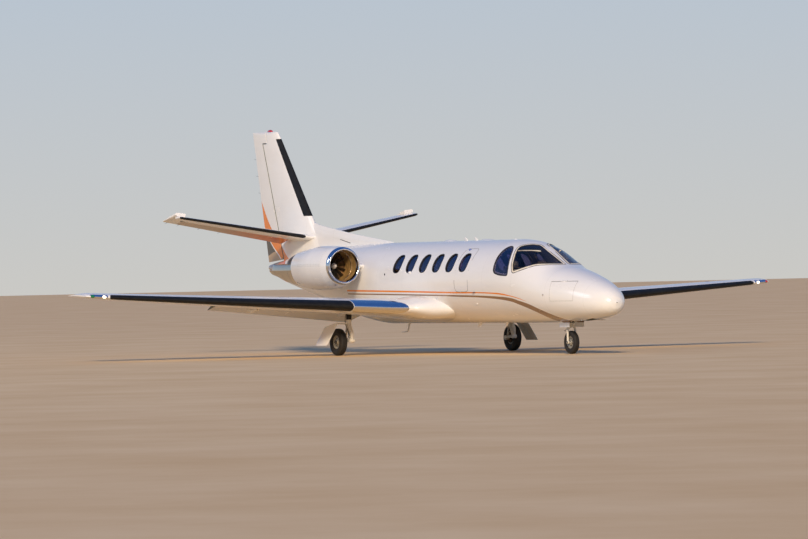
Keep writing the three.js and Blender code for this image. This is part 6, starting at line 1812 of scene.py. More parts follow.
for side, word in BOTH_SIDES:
    main_place = wheel("main_wheel_" + word, "main_tyre_" + word, "main_hub_" + word, MAIN_STATION,
                       side * MAIN_OUT, MAIN_RADIUS, width=MAIN_WIDTH, rim=132, bore=24.9, outer_side=side,
                       pockets=9, bolt_ring=76)

    def leg_at(station, out, height):
        """A place by its distance out from the middle of this side's main leg."""
        return spot(station, side * (LEG_OUT + out), height)

    # Trailing-link leg: a fixed leg, a pierced web in front, the trailing arm and its shock strut
    outline = [(6925, 300), (7010, 300), (7150, 560), (7130, 620), (7010, 620), (6960, 520)]
    web = piece("web", *lofted([[leg_at(s, y, z) for s, z in softened(outline, 26, 4)] for y in (-20, 20)]),
                gear_white)
    for s, z, r in ((7035, 470, 30), (7000, 380, 22)):
        carved(web, rod("hole", leg_at(s, -60, z), leg_at(s, 60, z), r, None, 32, gear_white))
    parts = [web,
             swept("leg", [leg_at(s, 0, z) for s, z in ((7060, 855), (7060, 760), (7060, 660), (7060, 600),
                                                        (7000, 505), (6960, 440), (6955, 330), (6960, 288))],
                   [50, 46, 44, 46, 42, 38, 32, 34], gear_white, 0.85, 24),
             rod("boss", leg_at(6960, -48, 290), leg_at(6960, 48, 290), 36, None, 36, gear_white),
             rod("collar", leg_at(7060, 0, 664), leg_at(7060, 0, 700), 52, None, 36, gear_white),
             block("beam", 6890.3, 7199.7, side * (LEG_OUT - 40), side * (LEG_OUT + 40), 815, 899.7, gear_white)]
    placed(joined_up("main_leg_forging_" + word, parts), "airframe", "gear_paint", "main_leg_" + word)
    sleeve = turned("leg_sleeve_" + word, [(702, 40), (702, 50), (708, 53), (806, 53), (812, 50), (812, 40)],
                    lambda a, r, t: leg_at(7060 + r * math.cos(t), side * r * math.sin(t), a), dark_steel,
                    sides=40)
    placed(sleeve, "airframe", "gear_paint")
    arm = [swept("arm", [leg_at(s, 0, z) for s, z in ((6960, 290), (7050, 296), (7160, 282),
                                                      (MAIN_STATION, MAIN_RADIUS))],
                 [30, 34, 36, 40], gear_white, 0.75, 24),
           rod("eye", leg_at(6960, -30, 290), leg_at(6960, 30, 290), 39, None, 36, gear_white),
           rod("eye", leg_at(MAIN_STATION, -34, MAIN_RADIUS), leg_at(MAIN_STATION, 40, MAIN_RADIUS), 44, None, 40,
               gear_white)]
    placed(joined_up("trailing_arm_" + word, arm), "airframe", "gear_paint")
    axle = rod("main_axle_" + word, leg_at(MAIN_STATION, -30, MAIN_RADIUS),
               spot(MAIN_STATION, side * (MAIN_OUT + MAIN_WIDTH / 2 + 4), MAIN_RADIUS), 24, None, 40, chrome)
    placed(axle, "airframe", "gear_paint")
    cap = turned("axle_nut_" + word, [(MAIN_WIDTH * 0.36, 0), (MAIN_WIDTH * 0.36, 34), (MAIN_WIDTH * 0.42, 34),
                                      (MAIN_WIDTH * 0.44, 26), (MAIN_WIDTH * 0.53, 24), (MAIN_WIDTH * 0.535, 0)],
                 lambda a, r, t: main_place(side * a, r, t), dark_steel, sides=6)
    placed(cap, "airframe", "gear_paint")
    lower, upper = leg_at(7200, 0, 300), leg_at(7110, 0, 640)
    strut = turned("strut", [(0, 0), (0, 22), (60, 22), (66, 15), (170, 15), (172, 27), (180, 30), (330, 30),
                             (340, 25), (351, 22), (351, 0)],
                   lambda a, r, t: lower + (upper - lower) * (a / 351.7)
                   + (Vector((math.cos(t) * 0.967, math.sin(t), math.cos(t) * 0.256)) * r / 1000), gear_white,
                   chrome, sides=32)
    for face in strut.data.polygons:
        run = (face.center - lower).dot((upper - lower).normalized()) * 1000
        face.material_index = int(66 < run < 171)
    strut.name = "shock_strut_" + word
    placed(strut, "airframe", "gear_paint")
    brake = turned("brake_pack_" + word, [(-77, 46), (-77, 88), (-74, 90), (-74, 102), (-70, 102), (-70, 90),
                                          (-67, 90), (-67, 102), (-63, 102), (-63, 90), (-60, 90), (-60, 102),
                                          (-56, 102), (-56, 46)],
                   lambda a, r, t: main_place(side * a, r, t), disc_steel, sides=72)
    placed(brake, "airframe", "gear_paint")
    pistons = [rod("piston", main_place(-100 * side, 72, t), main_place(-76 * side, 72, t), 15, 19, 20,
                   dark_steel) for t in np.linspace(0.2, 2 * math.pi + 0.2, 6, endpoint=False)]
    placed(joined_up("brake_pistons_" + word, pistons), "airframe", "gear_paint")
    line = swept("brake_hose_" + word, [leg_at(7085, 40, 850), leg_at(7112, 52, 720), leg_at(7090, 56, 600),
                                        leg_at(7010, 52, 480), leg_at(6992, 46, 380), leg_at(7080, 40, 320),
                                        leg_at(7190, 20, 330), spot(7270, side * (MAIN_OUT - 96), 340)],
                 [5.5] * 8, seal_rubber, sides=10)
    placed(line, "airframe", "tyre")
    stays = [rod("stay", leg_at(s, 0, 620), spot(s, side * (door_out(633) - FIT), 633), 12, 11, 18, gear_white)
             for s in (7070, 7130)]
    placed(joined_up("door_stays_" + word, stays), "airframe", "gear_paint")

    # Outboard gear door: a pressed skin with rounded corners and a stiffened inner face
    corners = softened([(6972, 661), (7427, 564), (7422, 207), (6963, 206)], 24, 5)
    door = piece("main_gear_door_skin_" + word, *lofted(
        [[spot(s, side * (door_out(z) + thick), z) for s, z in corners] for thick in (0, 10)]), wing_paint)
    placed(door, "airframe", "wing_paint", "main_gear_door_" + word)
    ribs = []
    for (s0, z0), (s1, z1) in (((7010, 620), (7385, 545)), ((7000, 420), (7385, 410)), ((7000, 242), (7385, 242)),
                               ((7130, 595), (7130, 245)), ((7270, 570), (7270, 245))):
        a, b = Vector((s0, z0)), Vector((s1, z1))
        across = Vector((-(b - a).y, (b - a).x)).normalized() * 12
        rings = [[spot(q.x, side * (door_out(q.y) - lift), q.y) for q, lift in (
            (p - across, -1), (p + across, -1), (p + across * 0.6, 7), (p - across * 0.6, 7))] for p in (a, b)]
        ribs.append(piece("rib", *lofted(rings), gear_white))
    placed(joined_up("door_ribs_" + word, ribs), "airframe", "gear_paint")

    # Nose gear door: a pressed skin that hangs from the belly's edge beside the nose leg
    section = [(152, 640), (160, 640), (166, 508), (158, 508)]
    panel = piece("nose_gear_door_skin_" + word, *lofted(
        [[spot(s, side * y, z) for y, z in section] for s in (1470, 1600, 1715, 1830)]), hull_paint)
    carved(panel, hull("belly", 1200, 1600, -FIT), hull("belly", 1600, 2100, -FIT))
    placed(panel, "airframe", "fuselage_paint", "nose_gear_door_" + word)
hex_bolt.hide_render = True


# Inside trim: a black moulded panel and pedestal in textured paint, fixed to the floor and side
# walls, and a floor of panels with wool carpet bonded on. Both CAD shapes are right and stay.
FLOOR_TOP = 760

# The spray texture has beads of 0.8 mm, drawn at 3 mm so that they show
panel_paint = patterned("black_textured_panel_paint", {"Scale": 6.0, "Detail": 4.0},
                        ((0.35, "17171A"), (0.75, "26262A")), (0.55, 0.75), (0.2, 0.0006),
                        fine=("TexVoronoi", {"Scale": 330.0}))

carpet, tree = finish_of("wool_loop_carpet")
where = add(tree, "TexCoord").outputs["Object"]
# Loops stand 4 mm apart and are drawn at 9 mm
loops = add(tree, "TexVoronoi", {"Vector": where, "Scale": 110.0}).outputs["Distance"]
worn = add(tree, "TexNoise", {"Vector": where, "Scale": 3.0, "Detail": 5.0}).outputs[0]
shade = add(tree, "Math", {0: loops, 1: worn}, operation="ADD").outputs[0]
tone = stops(add(tree, "ValToRGB", {0: shade}), (0.45, linear("5B5148")), (1.1, linear("857868")))
bump = add(tree, "Bump", {"Height": loops, "Strength": 0.6, "Distance": 0.003}).outputs[0]
show(tree, add(tree, "BsdfPrincipled", {"Base Color": tone, "Roughness": 0.95, "Sheen Weight": 0.4,
                                        "Normal": bump}).outputs[0])
for node, finish in (("instrument_panel", panel_paint), ("cabin_floor", carpet)):
    for slot in bpy.data.objects[node].material_slots:
        slot.material = finish


# Screens, knobs and control yokes on the panel's face: glass displays in cast bezels, turned
# aluminium knobs, and moulded yokes on steel shafts. All are screwed to the panel.
FACE_TOP, FACE_LOW = Vector((2250, 1500)), Vector((2210, 1180))
PILOT_OUT, YOKE_AT, YOKE_HIGH = 320, 2440, 1330

# Coated cover glass over a dark screen, with finger smears
display_glass = patterned("display_cover_glass", {"Scale": 22.0, "Detail": 3.0},
                          ((0.4, "07090E"), (0.8, "11151E")), (0.08, 0.22), look={"Coat Weight": 0.6})

# Moulded polyurethane, grey and satin, with a fine leather-like grain
yoke_plastic = patterned("grey_moulded_polyurethane", {"Scale": 260.0, "Detail": 3.0},
                         ((0.3, "3A3B3F"), (0.8, "505258")), 0.6, (0.25, 0.0006))


def face_at(down, out, lift=0.0):
    """A place on the panel's aft face, by millimetres down it and out to port, lifted off it."""
    run = (FACE_LOW - FACE_TOP).normalized()
    q = FACE_TOP + run * down + Vector((-run.y, run.x)) * -lift
    return spot(q.x, out, q.y)


def face_frame(name, down, out, wide, high, low, tall, inset, *finishes):
    """A rounded plate on the panel's face, its front edge drawn in by a chamfer."""
    outline = softened([(out - wide / 2, down - high / 2), (out + wide / 2, down - high / 2),
                        (out + wide / 2, down + high / 2), (out - wide / 2, down + high / 2)], 14, 4)
    middle = Vector((out, down))
    rings = [[face_at(v, y, lift) for y, v in (middle + (Vector(q) - middle) * shrink for q in outline)]
             for lift, shrink in ((low, 1), (tall - 3, 1), (tall, 1 - inset))]
    return piece(name, *lofted(rings), *finishes)


bezels, glasses = [], []
for out in (-330, 0, 330):
    bezel = face_frame("bezel", 120, out, 250, 186, -2, 14, 0.03, panel_paint)
    bezels.append(carved(bezel, face_frame("sight", 120, out, 214, 150, 8, 30, 0, panel_paint)))
    glasses.append(face_frame("display", 120, out, 216, 152, 6, 9.4, 0.004, display_glass))
for out in (-170, 170):
    bezels.append(face_frame("key_panel", 120, out, 50, 180, -2, 9, 0.05, panel_paint))
placed(joined_up("display_bezels", bezels), "airframe", "panel")
placed(joined_up("display_glasses", glasses), "airframe", "panel")
knob = button("knob", [(0, 0), (9, 0), (8.5, 9), (7, 10), (0, 10)], 12)
places = [face_at(down, out, 9) for out in (-170, 170) for down in (50, 85, 120, 155, 190)]
places += [face_at(245, out, 0) for out in range(-420, 421, 60)]
out_of_face = face_at(0, 0, 1) - face_at(0, 0, 0)
placed(repeated("panel_knobs", knob, [(q, out_of_face.normalized()) for q in places], wheel_silver),
       "airframe", "panel")
for side, word in BOTH_SIDES:
    hub_at = spot(YOKE_AT, side * PILOT_OUT, YOKE_HIGH)
    shaft = rod("yoke_shaft_" + word, face_at(190, side * PILOT_OUT, -20), hub_at, 16, 14, 24, dark_steel)
    placed(shaft, "airframe", "panel")
    horns = [swept("horn", [spot(YOKE_AT + a, side * PILOT_OUT + b * way, YOKE_HIGH + c) for a, b, c in
                            ((0, 20, 0), (4, 70, -10), (2, 118, 4), (-6, 132, 50), (-14, 126, 104))],
                   [20, 16, 14, 15, 13], yoke_plastic, 0.8, 16) for way in (-1, 1)]
    hub = turned("hub", [(-18, 0), (-18, 26), (-10, 34), (12, 34), (18, 28), (18, 0)],
                 lambda a, r, t: hub_at + Vector((-a, r * math.cos(t), r * math.sin(t))) / 1000, yoke_plastic,
                 sides=32)
    placed(joined_up("yoke_" + word, [*horns, hub]), "airframe", "panel")


# Throttle quadrant: two steel levers with moulded grips. They stand in the slots of the pedestal's
# sloped top.
parts = []
for out in (-24, 24):
    parts.append(swept("lever", [spot(2330, out, 1165), spot(2322, out, 1215), spot(2318, out, 1262)],
                       [7, 6, 6], dark_steel, 0.6, 14))
    parts.append(swept("grip", [spot(2318, out - 16, 1272), spot(2316, out, 1276), spot(2318, out + 16, 1272)],
                       [13, 15, 13], yoke_plastic, 1.0, 16))
placed(joined_up("throttle_levers", parts), "airframe", "panel")


# Glareshield edge: a moulded roll of black vinyl on the panel's aft rim. A channel moulded into it
# grips the rim.
roll = swept("glareshield_roll", [spot(2338, y, 1547 - abs(y) * 0.02) for y in
                                  (-500, -430, -300, -150, 0, 150, 300, 430, 500)],
             [15, 17, 17, 17, 17, 17, 17, 17, 15], seal_rubber, 1.1, 18)
placed(roll, "airframe", "panel")


# Visor rails: bent strips of metal under the windscreen's upper edge, screwed to the roof. They are
# enamelled cream, satin and a little mottled.
visor_cream = patterned("cream_enamelled_rail", {"Scale": 14.0, "Detail": 3.0},
                        ((0.3, "D8CCAE"), (0.7, "EBE2CA")), (0.3, 0.45))
for side, word in BOTH_SIDES:
    path = [(s, side * (skin_half(s, z) - 34), z) for s, z in
            ((2390, 1950), (2480, 1962), (2640, 1966), (2800, 1964), (2920, 1955))]
    placed(swept("visor_rail_" + word, [spot(*p) for p in path], [14, 15, 15, 15, 14], visor_cream, 0.7, 14),
           "airframe", "seat_leather")


# Seats: foam cushions in cream leather on folded-metal frames, which slide on rails in the floor.
# Each cover is sewn from panels with piped edges; the channels are stitched through to the foam.
leather, tree = finish_of("cream_grained_leather")
where = add(tree, "TexCoord").outputs["Object"]
# Leather grain is about 1 mm, drawn at 3 mm
cells = add(tree, "TexVoronoi", {"Vector": where, "Scale": 320.0}).outputs["Distance"]
folds = add(tree, "TexNoise", {"Vector": where, "Scale": 18.0, "Detail": 5.0, "Distortion": 0.6}).outputs[0]
tone = stops(add(tree, "ValToRGB", {0: folds}), (0.3, linear("B9AC93")), (0.55, linear("CDC2AB")),
             (0.8, linear("D9D0BC")))
high = add(tree, "Math", {0: cells, 1: folds}, operation="ADD").outputs[0]
bump = add(tree, "Bump", {"Height": high, "Strength": 0.3, "Distance": 0.0012}).outputs[0]
rough = add(tree, "MapRange", {"Value": folds, "To Min": 0.42, "To Max": 0.6}).outputs[0]
show(tree, add(tree, "BsdfPrincipled", {"Base Color": tone, "Roughness": rough, "Sheen Weight": 0.15,
                                        "Normal": bump}).outputs[0])

# Waxed cord, twisted, a shade darker than the leather
stitching = patterned("waxed_cord_piping", {"Scale": 60.0, "Distortion": 2.0}, ((0.2, "8F8370"), (0.8, "A79B86")),
                      0.6, (0.4, 0.001), kind="TexWave")

# A pad lies in its own axes: u across, v along, w through it, from its underside up to its crown
PADS = {  # half width, half length, thickness, channels along it, stitched edges drawn in
    "cushion": (182, 196, 88, (-95, 0, 95)),
    "back": (172, 268, 74, (-150, -50, 50, 150)),
    "head": (112, 62, 62, ()),
}
PIPE = 5.0
CABIN_SEAT_OUT = 345
RAIL = [(-16, 0.4), (16, 0.4), (16, 6), (12, 6), (12, 28), (5, 28), (5, 24), (8, 24), (8, 8), (-8, 8), (-8, 24),
        (-5, 24), (-5, 28), (-12, 28), (-12, 6), (-16, 6)]


def pad_ring(half_wide, half_long, inset, height, sides=48):
    """A round-cornered ring of a pad at a height, drawn in from its edge."""
    across, along = rounded(sides, 4)
    return [Vector((u, v, height)) / 1000
            for u, v in zip((half_wide - inset) * across, (half_long - inset) * along)]


def swollen(pad, cap_mm):
    """Fills a pad as its cover does: remeshed, blown up by cloth pressure, and held to a reach."""
    step = pad.modifiers.new("skin", "REMESH")
    step.mode, step.voxel_size = "VOXEL", 0.011
    baked(pad)
    rest = [v.co.copy() for v in pad.data.vertices]
    step = pad.modifiers.new("cover", "CLOTH")
    step.settings.use_pressure = True
    step.settings.uniform_pressure_force = 4.0
    step.settings.effector_weights.gravity = 0.0
    for frame in range(1, 21):
        scene.frame_set(frame)
    baked(pad)
    for vertex, home in zip(pad.data.vertices, rest):
        move = vertex.co - home
        if move.length > cap_mm / 1000:
            vertex.co = home + move.normalized() * cap_mm / 1000
    scene.frame_set(1)
    return pad


pads = {}
for part, (half_wide, half_long, thick, channels) in PADS.items():
    levels = [(inset, thick * share) for inset, share in
              ((6, 0), (2, 0.12), (0, 0.45), (3, 0.72), (26, 0.86), (70, 0.92))]
    pad = piece("seat_" + part, *lofted([pad_ring(half_wide - 8, half_long - 8, inset, height)
                                        for inset, height in levels if inset < half_long - 20]), leather)
    swollen(pad, 24)
    for vertex in pad.data.vertices:  # stitched channels and the seam round the edge pull the cover in
        u, v, w = vertex.co * 1000
        if w > thick * 0.5:
            pull = sum(math.exp(-((v - at) / 9) ** 2) for at in channels) * 9
            vertex.co.z -= pull * min(1, max(0, (half_wide - 24 - abs(u)) / 30)) / 1000
        edge = math.exp(-((w - thick * 0.72) / 7) ** 2) * 3
        vertex.co.xy = vertex.co.xy * (1 - edge / max(half_wide, half_long))
    pads[part] = pad


def set_down(name, pad, place):
    """A copy of a pad, a cord of piping or a frame, moved to its seat by a rule for each of its points."""
    made = copied(pad)
    made.name = name
    for vertex in made.data.vertices:
        vertex.co = place(vertex.co)
    if (place(Vector((1, 0, 0))) - place(Vector())).cross(
            place(Vector((0, 1, 0))) - place(Vector())).dot(place(Vector((0, 0, 1))) - place(Vector())) < 0:
        made.data.flip_normals()
    return made


# On a seat: how far aft of its station and how high above the floor each pad's middle lies, the
# lean of its own length from level, and how full it is
ON_SEAT = {"cushion": (-24, 238, 3, 0.75), "back": (232, 618, 76, 0.7), "head": (352, 948, 80, 0.7)}


def piping(part):
    """The sewn cord round a pad's edge."""
    half_wide, half_long, thick, _ = PADS[part]
    ring = pad_ring(half_wide, half_long, 2, thick * 0.72, 60)
    across = [(ring[(i + 1) % 60] - ring[i - 1]).normalized() for i in range(60)]
    rings = [[q + (Vector((0, 0, 1)) * math.sin(a) + run.cross(Vector((0, 0, 1))) * math.cos(a)) * PIPE / 1000
              for a in once_round(6)] for q, run in zip(ring, across)]
    return piece("piping", *lofted(rings, looped=True), stitching)


cords = {part: piping(part) for part in PADS}


def seat(word, node, station, out, faces, wide):
    """One whole seat: pads and piping, the shell behind its back, its pan, its frame and its feet."""
    def on(part):
        aft, high, lean, _ = ON_SEAT[part]
        lean = math.radians(lean)

        def place(q):
            v, w = q.y * 1000, q.z * 1000
            run, rise = v * math.cos(lean) - w * math.sin(lean), v * math.sin(lean) + w * math.cos(lean)
            return spot(station + faces * (aft + run), out + q.x * 1000 * wide, FLOOR_TOP + high + rise)
        return place

    def frame_at(aft, across, high):
        return spot(station + faces * aft, out + across, FLOOR_TOP + high)

    for part, pad in pads.items():
        made = set_down(f"seat_{part}_{word}", pad, on(part))
        placed(made, "airframe", "seat_leather", node)
        placed(set_down(f"seat_piping_{part}_{word}", cords[part], on(part)), "airframe", "seat_leather")
    half = 176 * wide
    back = [[frame_at(aft + lift, y, high) for y, lift in
             ((-half + 20, 24), (-half, 10), (-half, 0), (half, 0), (half, 10), (half - 20, 24))]
            for aft, high in ((236, 300), (260, 380), (330, 660), (392, 900), (400, 915))]
    pan = [[frame_at(aft, y, high + drop) for y, drop in
            ((-half, 0), (-half, -22), (-half + 30, -34), (half - 30, -34), (half, -22), (half, 0))]
           for aft, high in ((-232, 240), (-200, 234), (200, 228), (226, 234))]
    legs = [rod("leg", frame_at(a, y, 30), frame_at(a + lean, y, 212), 17, 17, 20, wheel_silver)
            for y in (-110, 110) for a, lean in ((-150, 30), (150, 20))]
    legs += [rod("brace", frame_at(-150, y, 44), frame_at(165, y, 200), 9, 9, 16, wheel_silver)
             for y in (-110, 110)]
    parts = [piece("shell", *lofted(back), yoke_plastic), piece("pan", *lofted(pan), yoke_plastic), *legs]
    placed(joined_up("seat_frame_" + word, parts), "airframe", "gear_paint")


for side, word in BOTH_SIDES:
    seat("crew_" + word, "cockpit_seats", 2930, side * PILOT_OUT, 1, 0.95)
    for row, (station, faces) in enumerate(((4700, -1), (5760, 1), (6560, 1), (7320, 1))):
        seat(f"cabin_{row + 1}_{word}", "cabin_seats", station, side * CABIN_SEAT_OUT, faces, 1.0)
    # Floor rails: extruded aluminium tracks with a lip each side of the slot, screwed down
    for name, start, end, middle in (("crew", 2640, 3150, PILOT_OUT), ("cabin", 4400, 7600, CABIN_SEAT_OUT)):
        rails = []
        for out in (side * middle - 110, side * middle + 110):
            rails.append(piece("rail", *lofted([[spot(s, out + y, FLOOR_TOP + z) for y, z in RAIL]
                                                for s in (start, end)]), wheel_silver))
        placed(joined_up(f"seat_rails_{name}_{word}", rails), "airframe", "gear_paint")
for spare in (*pads.values(), *cords.values(), knob):
    bpy.data.objects.remove(spare)


# Aerials and sensors on the skin: painted glass-fibre pads and blades on the roof and belly, a bent
# steel mast under the wing, heated steel probes at the nose. Each is screwed to a doubler.
fibre_paint, tree, _, _, _, colour, bump, rough = gloss_paint("white_painted_glass_fibre")
sprayed(tree, colour, bump, rough)


def skin_top(station, out=0.0):
    """Height of the roof at a station and a distance out."""
    _, roof, half, widest, fullness = between(SECTIONS, station)
    return widest + (roof - widest) * (1 - abs(out / half) ** fullness) ** (1 / fullness)


def skin_keel(station, out=0.0):
    """Height of the belly at a station and a distance out."""
    keel, _, half, widest, fullness = between(SECTIONS, station)
    return widest - (widest - keel) * (1 - abs(out / half) ** fullness) ** (1 / fullness)


def pad_on(name, start, end, half, tall, level, finish, out=0.0, lean=0.0, sides=24):
    """A streamlined shape from a level up, or down where tall is negative, drawn to a fine tail."""
    rings = []
    for share in (0, 0.12, 0.3, 0.55, 0.75, 0.9, 0.98, 1.0):
        size = max(0.04, (1 - share**2.4)) ** 0.5
        back = lean * share
        middle, reach = (start + end) / 2 + back, (end - start) / 2 * size
        rings.append([spot(middle + reach * math.cos(t), out + half * size * math.sin(t) *
                           (1 - 0.35 * math.cos(t)), level + tall * share)
                      for t in once_round(sides)])
    return piece(name, *lofted(rings), finish)


roof_parts = [
    pad_on("pad", 6010, 6440, 82, 34, skin_top(6220) - 10, fibre_paint),
    pad_on("pad", 4490, 4990, 66, 30, skin_top(4740) - 10, fibre_paint, lean=60),
    pad_on("blade", 5500, 5620, 9, 78, skin_top(5560) - 10, fibre_paint, lean=70),
    pad_on("blade", 5110, 5230, 9, 78, skin_top(5170) - 10, fibre_paint, lean=70),
    pad_on("knob", 3640, 3720, 34, 24, skin_top(3680) - 8, fibre_paint),
    pad_on("vent", 8850, 8910, 24, 12, skin_top(8880, 207) - 6, fibre_paint, out=-207),
]
placed(joined_up("roof_aerials", roof_parts), "airframe", "fuselage_paint")
belly_parts = [
    pad_on("blade", 4000, 4130, 9, -96, skin_keel(4063) + 12, fibre_paint, lean=60),
    pad_on("blade", 5000, 5190, 10, -90, skin_keel(5100) + 12, fibre_paint, lean=60),
]
placed(joined_up("belly_aerials", belly_parts), "airframe", "fuselage_paint")
mast = swept("belly_mast", [spot(7890, 0, skin_keel(7890) + 12), spot(7925, 0, 560), spot(7960, 0, 480),
                            spot(8000, 0, 432), spot(8110, 0, 420), spot(8230, 0, 416)],
             [20, 18, 15, 13, 11, 8], fibre_paint, 0.6, 18)
placed(mast, "airframe", "fuselage_paint")


def on_side(station, height, side, lift=0.0):
    """A place on the hull's side, lifted off the skin."""
    return spot(station, side * (skin_half(station, height) + lift), height)


for side, word in BOTH_SIDES:
    # Pitot probe on a swept mast, and the round static plate behind it
    base = on_side(983, 648, side, -6)
    tip = on_side(900, 640, side, 96)
    probe = [swept("mast", [base, on_side(975, 644, side, 40), on_side(948, 640, side, 84), tip],
                   [17, 13, 10, 9], polished, 0.5, 18),
             swept("tube", [tip + Vector((ahead, 0, 0)) for ahead in (0, 0.06, 0.13)], [9, 8.5, 6.5], polished, 1,
                   18)]
    placed(joined_up("pitot_probe_" + word, probe), "airframe", "polished_metal")
    plates = [turned("plate", [(-2, 0), (-2, size), (1.2, size - 1), (1.6, size * 0.3), (1.6, 0)],
                     lambda a, r, t, s=s, z=z: on_side(s + r * math.cos(t), z + r * math.sin(t), side, a),
                     polished, sides=28) for s, z, size in ((1602, 1124, 17), (5514, 1073, 24), (7480, 1567, 22))]
    placed(joined_up("static_plates_" + word, plates), "airframe", "polished_metal")
    # A stall vane on the stripe, and the cast scoop behind the cabin windows
    for name, start, end, half, tall, z, finish, slot in (
            ("side_vane_", 3940, 4020, 5, 44, 1189, dark_steel, "polished_metal"),
            ("side_scoop_", 6440, 6540, 26, 24, 1597, fibre_paint, "fuselage_paint"),
            ("side_knob_", 4003, 4043, 17, 16, 967, fibre_paint, "fuselage_paint")):
        made = pad_on(name + word, start, end, half, tall, 0, finish)
        for vertex in made.data.vertices:
            aft, across, off = (HALF_LENGTH - vertex.co.x) * 1000, vertex.co.y * 1000, vertex.co.z * 1000
            vertex.co = on_side(aft, z + across, side, off - 3)
        if side < 0:
            made.data.flip_normals()
        placed(made, "airframe", slot)


# Locks and handles: the hatch's release in enamelled steel and the entry door's handle in polished
# metal. Both are plates let into the skin, nearly flush.

# Enamelled steel, a bright blue, chipped a little
lock_blue = patterned("blue_enamelled_steel", {"Scale": 160.0, "Detail": 3.0}, ((0.3, "1E3F94"), (0.7, "2F57B8")),
                      0.35, look={"Coat Weight": 0.4})


def flush_plate(name, outline, side, tall, finish):
    """A plate that follows the hull's side, its edge rounded off."""
    middle = sum((Vector(q) for q in outline), Vector((0, 0))) / len(outline)
    rings = [[on_side(*(middle + (Vector(q) - middle) * shrink), side, lift) for q in outline]
             for lift, shrink in ((-3, 1), (tall * 0.5, 1), (tall, 0.94))]
    return piece(name, *lofted(rings), finish)


hatch_handle = softened([(4505, 2012), (4560, 1988), (4618, 2030), (4600, 2040), (4562, 2010), (4520, 2026)],
                        6, 3)
placed(flush_plate("hatch_release", hatch_handle, -1, 2.2, lock_blue), "airframe", "fuselage_paint")
entry_handle = softened([(4390, 1170), (4500, 1170), (4500, 1204), (4390, 1204)], 12, 4)
placed(flush_plate("entry_handle", entry_handle, 1, 3, polished), "entry_door", "fuselage_paint")


# Anti-collision beacon: a pressed red glass dome on a polished ring. It is bolted to the top of the
# fin.

# Pressed red glass, ribbed level to spread the light
red_glass = patterned("red_beacon_glass", {"Scale": 70.0}, ((0.3, "9C120C"), (0.8, "D8281A")), 0.12, (0.3, 0.001),
                      {"Coat Weight": 0.5}, kind="TexWave", bands_direction="Z")
placed(pad_on("beacon_ring", 13520, 13780, 38, 14, 4552, polished, sides=40), "airframe", "polished_metal")
placed(pad_on("beacon_dome", 13540, 13760, 32, 44, 4560, red_glass, sides=40), "airframe", "glass")


# Wing-tip lamps: a bright lamp behind a clear cover in the metal leading edge, a coloured lamp in
# the cap, and a white glass-fibre tip fairing screwed to the last rib

# Fluted glass with the lamp burning behind it
lamp_glass = patterned("lit_lamp_glass", {"Scale": 90.0}, ((0.2, "FFE9C4"), (0.8, "FFFFFF")), 0.15,
                       look={"Emission Color": linear("FFF0D8"), "Emission Strength": 2.2}, kind="TexWave",
                       bands_direction="Y")
# Fluted green glass
green_glass = patterned("green_lamp_glass", {"Scale": 80.0}, ((0.2, "0C5A34"), (0.8, "1E8A54")), 0.12,
                        look={"Coat Weight": 0.5}, kind="TexWave", bands_direction="Y")
for side, word in BOTH_SIDES:
    def wing_face(out, t, lift=0.0):
        return wing_spot(out, t, side, lift)

    placed(wrapped("tip_lamp_" + word, wing_face, 7330, 7400, 0.12, 0.14, -2, 5, lamp_glass, 20, 20),
           "airframe", "glass")
    placed(wrapped("tip_light_" + word, wing_face, 7560, 7625, 0.16, 0.2, -2, 4,
                   red_glass if side > 0 else green_glass, 20, 20), "airframe", "glass")
    placed(wrapped("tip_fairing_" + word, wing_face, 7630, 7690, 0.5, 0.5, -2, 2.6, fibre_paint, 20, 20),
           "airframe", "wing_paint")


# Static wicks: stiff carbon rods that bleed charge off the trailing edges. Each is riveted by its
# foot to a control surface or a wing tip.

# Drawn carbon fibre, black and satin, with fine strands
wick_black = patterned("black_carbon_rod", {"Scale": 300.0}, ((0.3, "101012"), (0.7, "242427")), 0.5)


def wicks(name, body, feet):
    """Rods on a moving surface. Each is given by the place of its foot and how far it reaches aft."""
    rods = []
    for at, reach, rise in feet:
        away = Vector((-reach, 0, rise)) / 1000
        rods.append(swept("wick", [at + Vector((0.03, 0, 0)), at, at + away * 0.5, at + away], [5, 4, 2.5, 1.6],
                          wick_black, 1, 8, 2))
    placed(joined_up(name, rods), body, "wing_paint")


for side, word in BOTH_SIDES:
    wicks("aileron_wicks_" + word, "aileron_" + word,
          [(wing_spot(out, 1, side), 130, -4) for out in (5400, 5950, 6500, 7050)])
    wicks("wing_tip_wicks_" + word, "airframe", [(wing_spot(out, 1, side), 130, -4) for out in (7300, 7480)])
    wicks("elevator_wicks_" + word, "elevator_" + word,
          [(droop(side) @ tail_spot(out, 1, side), 110, -24) for out in (1500, 1950, 2400, 2660)])
wicks("rudder_wicks", "rudder", [(fin_spot(z, 1), 110, 14) for z in (3300, 3650, 4000)])


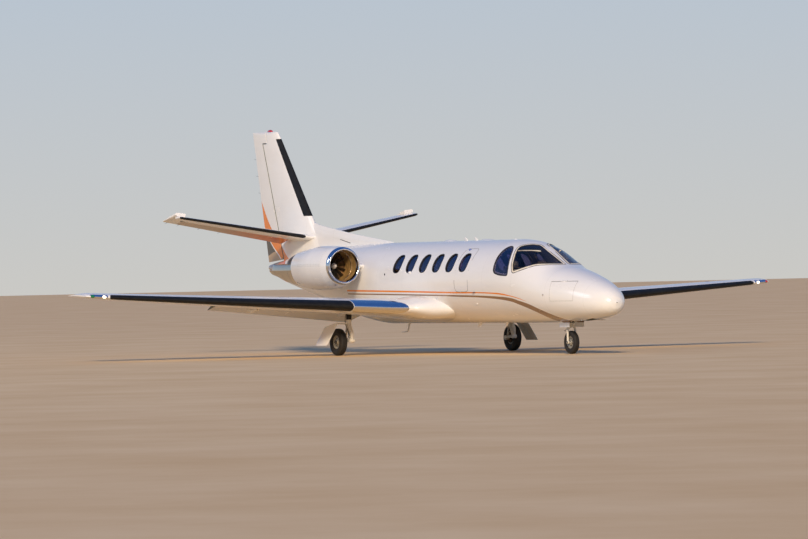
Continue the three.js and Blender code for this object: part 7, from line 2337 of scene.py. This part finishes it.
# Rows of flush rivets hold the wing skins to the two spars. A lockable cap of polished aluminium
# closes each tank, let into the upper skin.
for side, word in BOTH_SIDES:
    rows = []
    for t in (0.36, 0.78, -0.36, -0.76):
        for out in np.arange(1300 if t > 0 else 2300, 7230, 85):
            at = wing_spot(out, t, side)
            facing = wing_spot(out, t, side, 10) - at
            rows.append((at, facing.normalized()))
    placed(repeated("wing_rivets_" + word, rivet, rows, fastener_steel), "airframe", "wing_paint")
    at = wing_spot(6350, 0.6, side)
    up = (wing_spot(6350, 0.6, side, 10) - at).normalized()
    fore = (wing_spot(6350, 0.56, side) - at).normalized()
    fore = (fore - up * fore.dot(up)).normalized()
    aside = up.cross(fore)

    def cap_place(a, r, turn):
        return at + (up * a + fore * (r * math.cos(turn)) + aside * (r * math.sin(turn))) / 1000

    cap = turned("tank_cap_" + word, [(-2, 0), (-2, 46), (1.4, 44), (1.6, 37), (0.8, 36), (0.8, 34), (2.2, 32),
                                      (2.6, 0)], cap_place, polished, sides=40)
    placed(cap, "airframe", "wing_paint")
for spare in (rivet, camloc, hex_bolt):
    bpy.data.objects.remove(spare)


# Tail root fairing: a white glass-fibre shell that closes the joint of the tailplane and the fin,
# screwed to both; it stops ahead of the elevators' inner ends
rings = []
for station, half, tall in ((11600, 22, 9), (11625, 62, 28), (11680, 112, 50), (11780, 165, 66), (11940, 205, 76),
                            (12130, 225, 78), (12310, 222, 73), (12400, 215, 66), (12455, 208, 58)):
    middle = float(np.interp(station, (11600, 12455), (2352, 2372)))
    rings.append([spot(station, half * math.copysign(abs(math.cos(a)) ** 0.8, math.cos(a)),
                       middle + tall * math.copysign(abs(math.sin(a)) ** 1.15, math.sin(a)))
                  for a in once_round(56)])
placed(piece("tail_root_fairing", *lofted(rings), fibre_paint), "airframe", "wing_paint")


# Cooling air for the tail bay enters by a long slot on each side of the dorsal fin. No slot is cut:
# a flush strip of black rubber stands for its dark mouth, as painted shade.
for side, word in BOTH_SIDES:
    rings = []
    for u in np.linspace(0, 1, 24):
        station, level = mix(10191, 10639, u), mix(2211, 2295, u)
        tall = 7 * math.sqrt(max(0.02, 1 - (2 * u - 1) ** 8))
        ridge = between(DORSAL, station)[0]
        rings.append([spot(station, side * (dorsal_half(station, (z - 1900) / (ridge - 1900)) + lift), z)
                      for z, lift in ((level - tall, -4), (level + tall, -4), (level + tall, 1),
                                      (level - tall, 1))])
    placed(piece("dorsal_slot_" + word, *lofted(rings), seal_rubber), "airframe", "tyre")
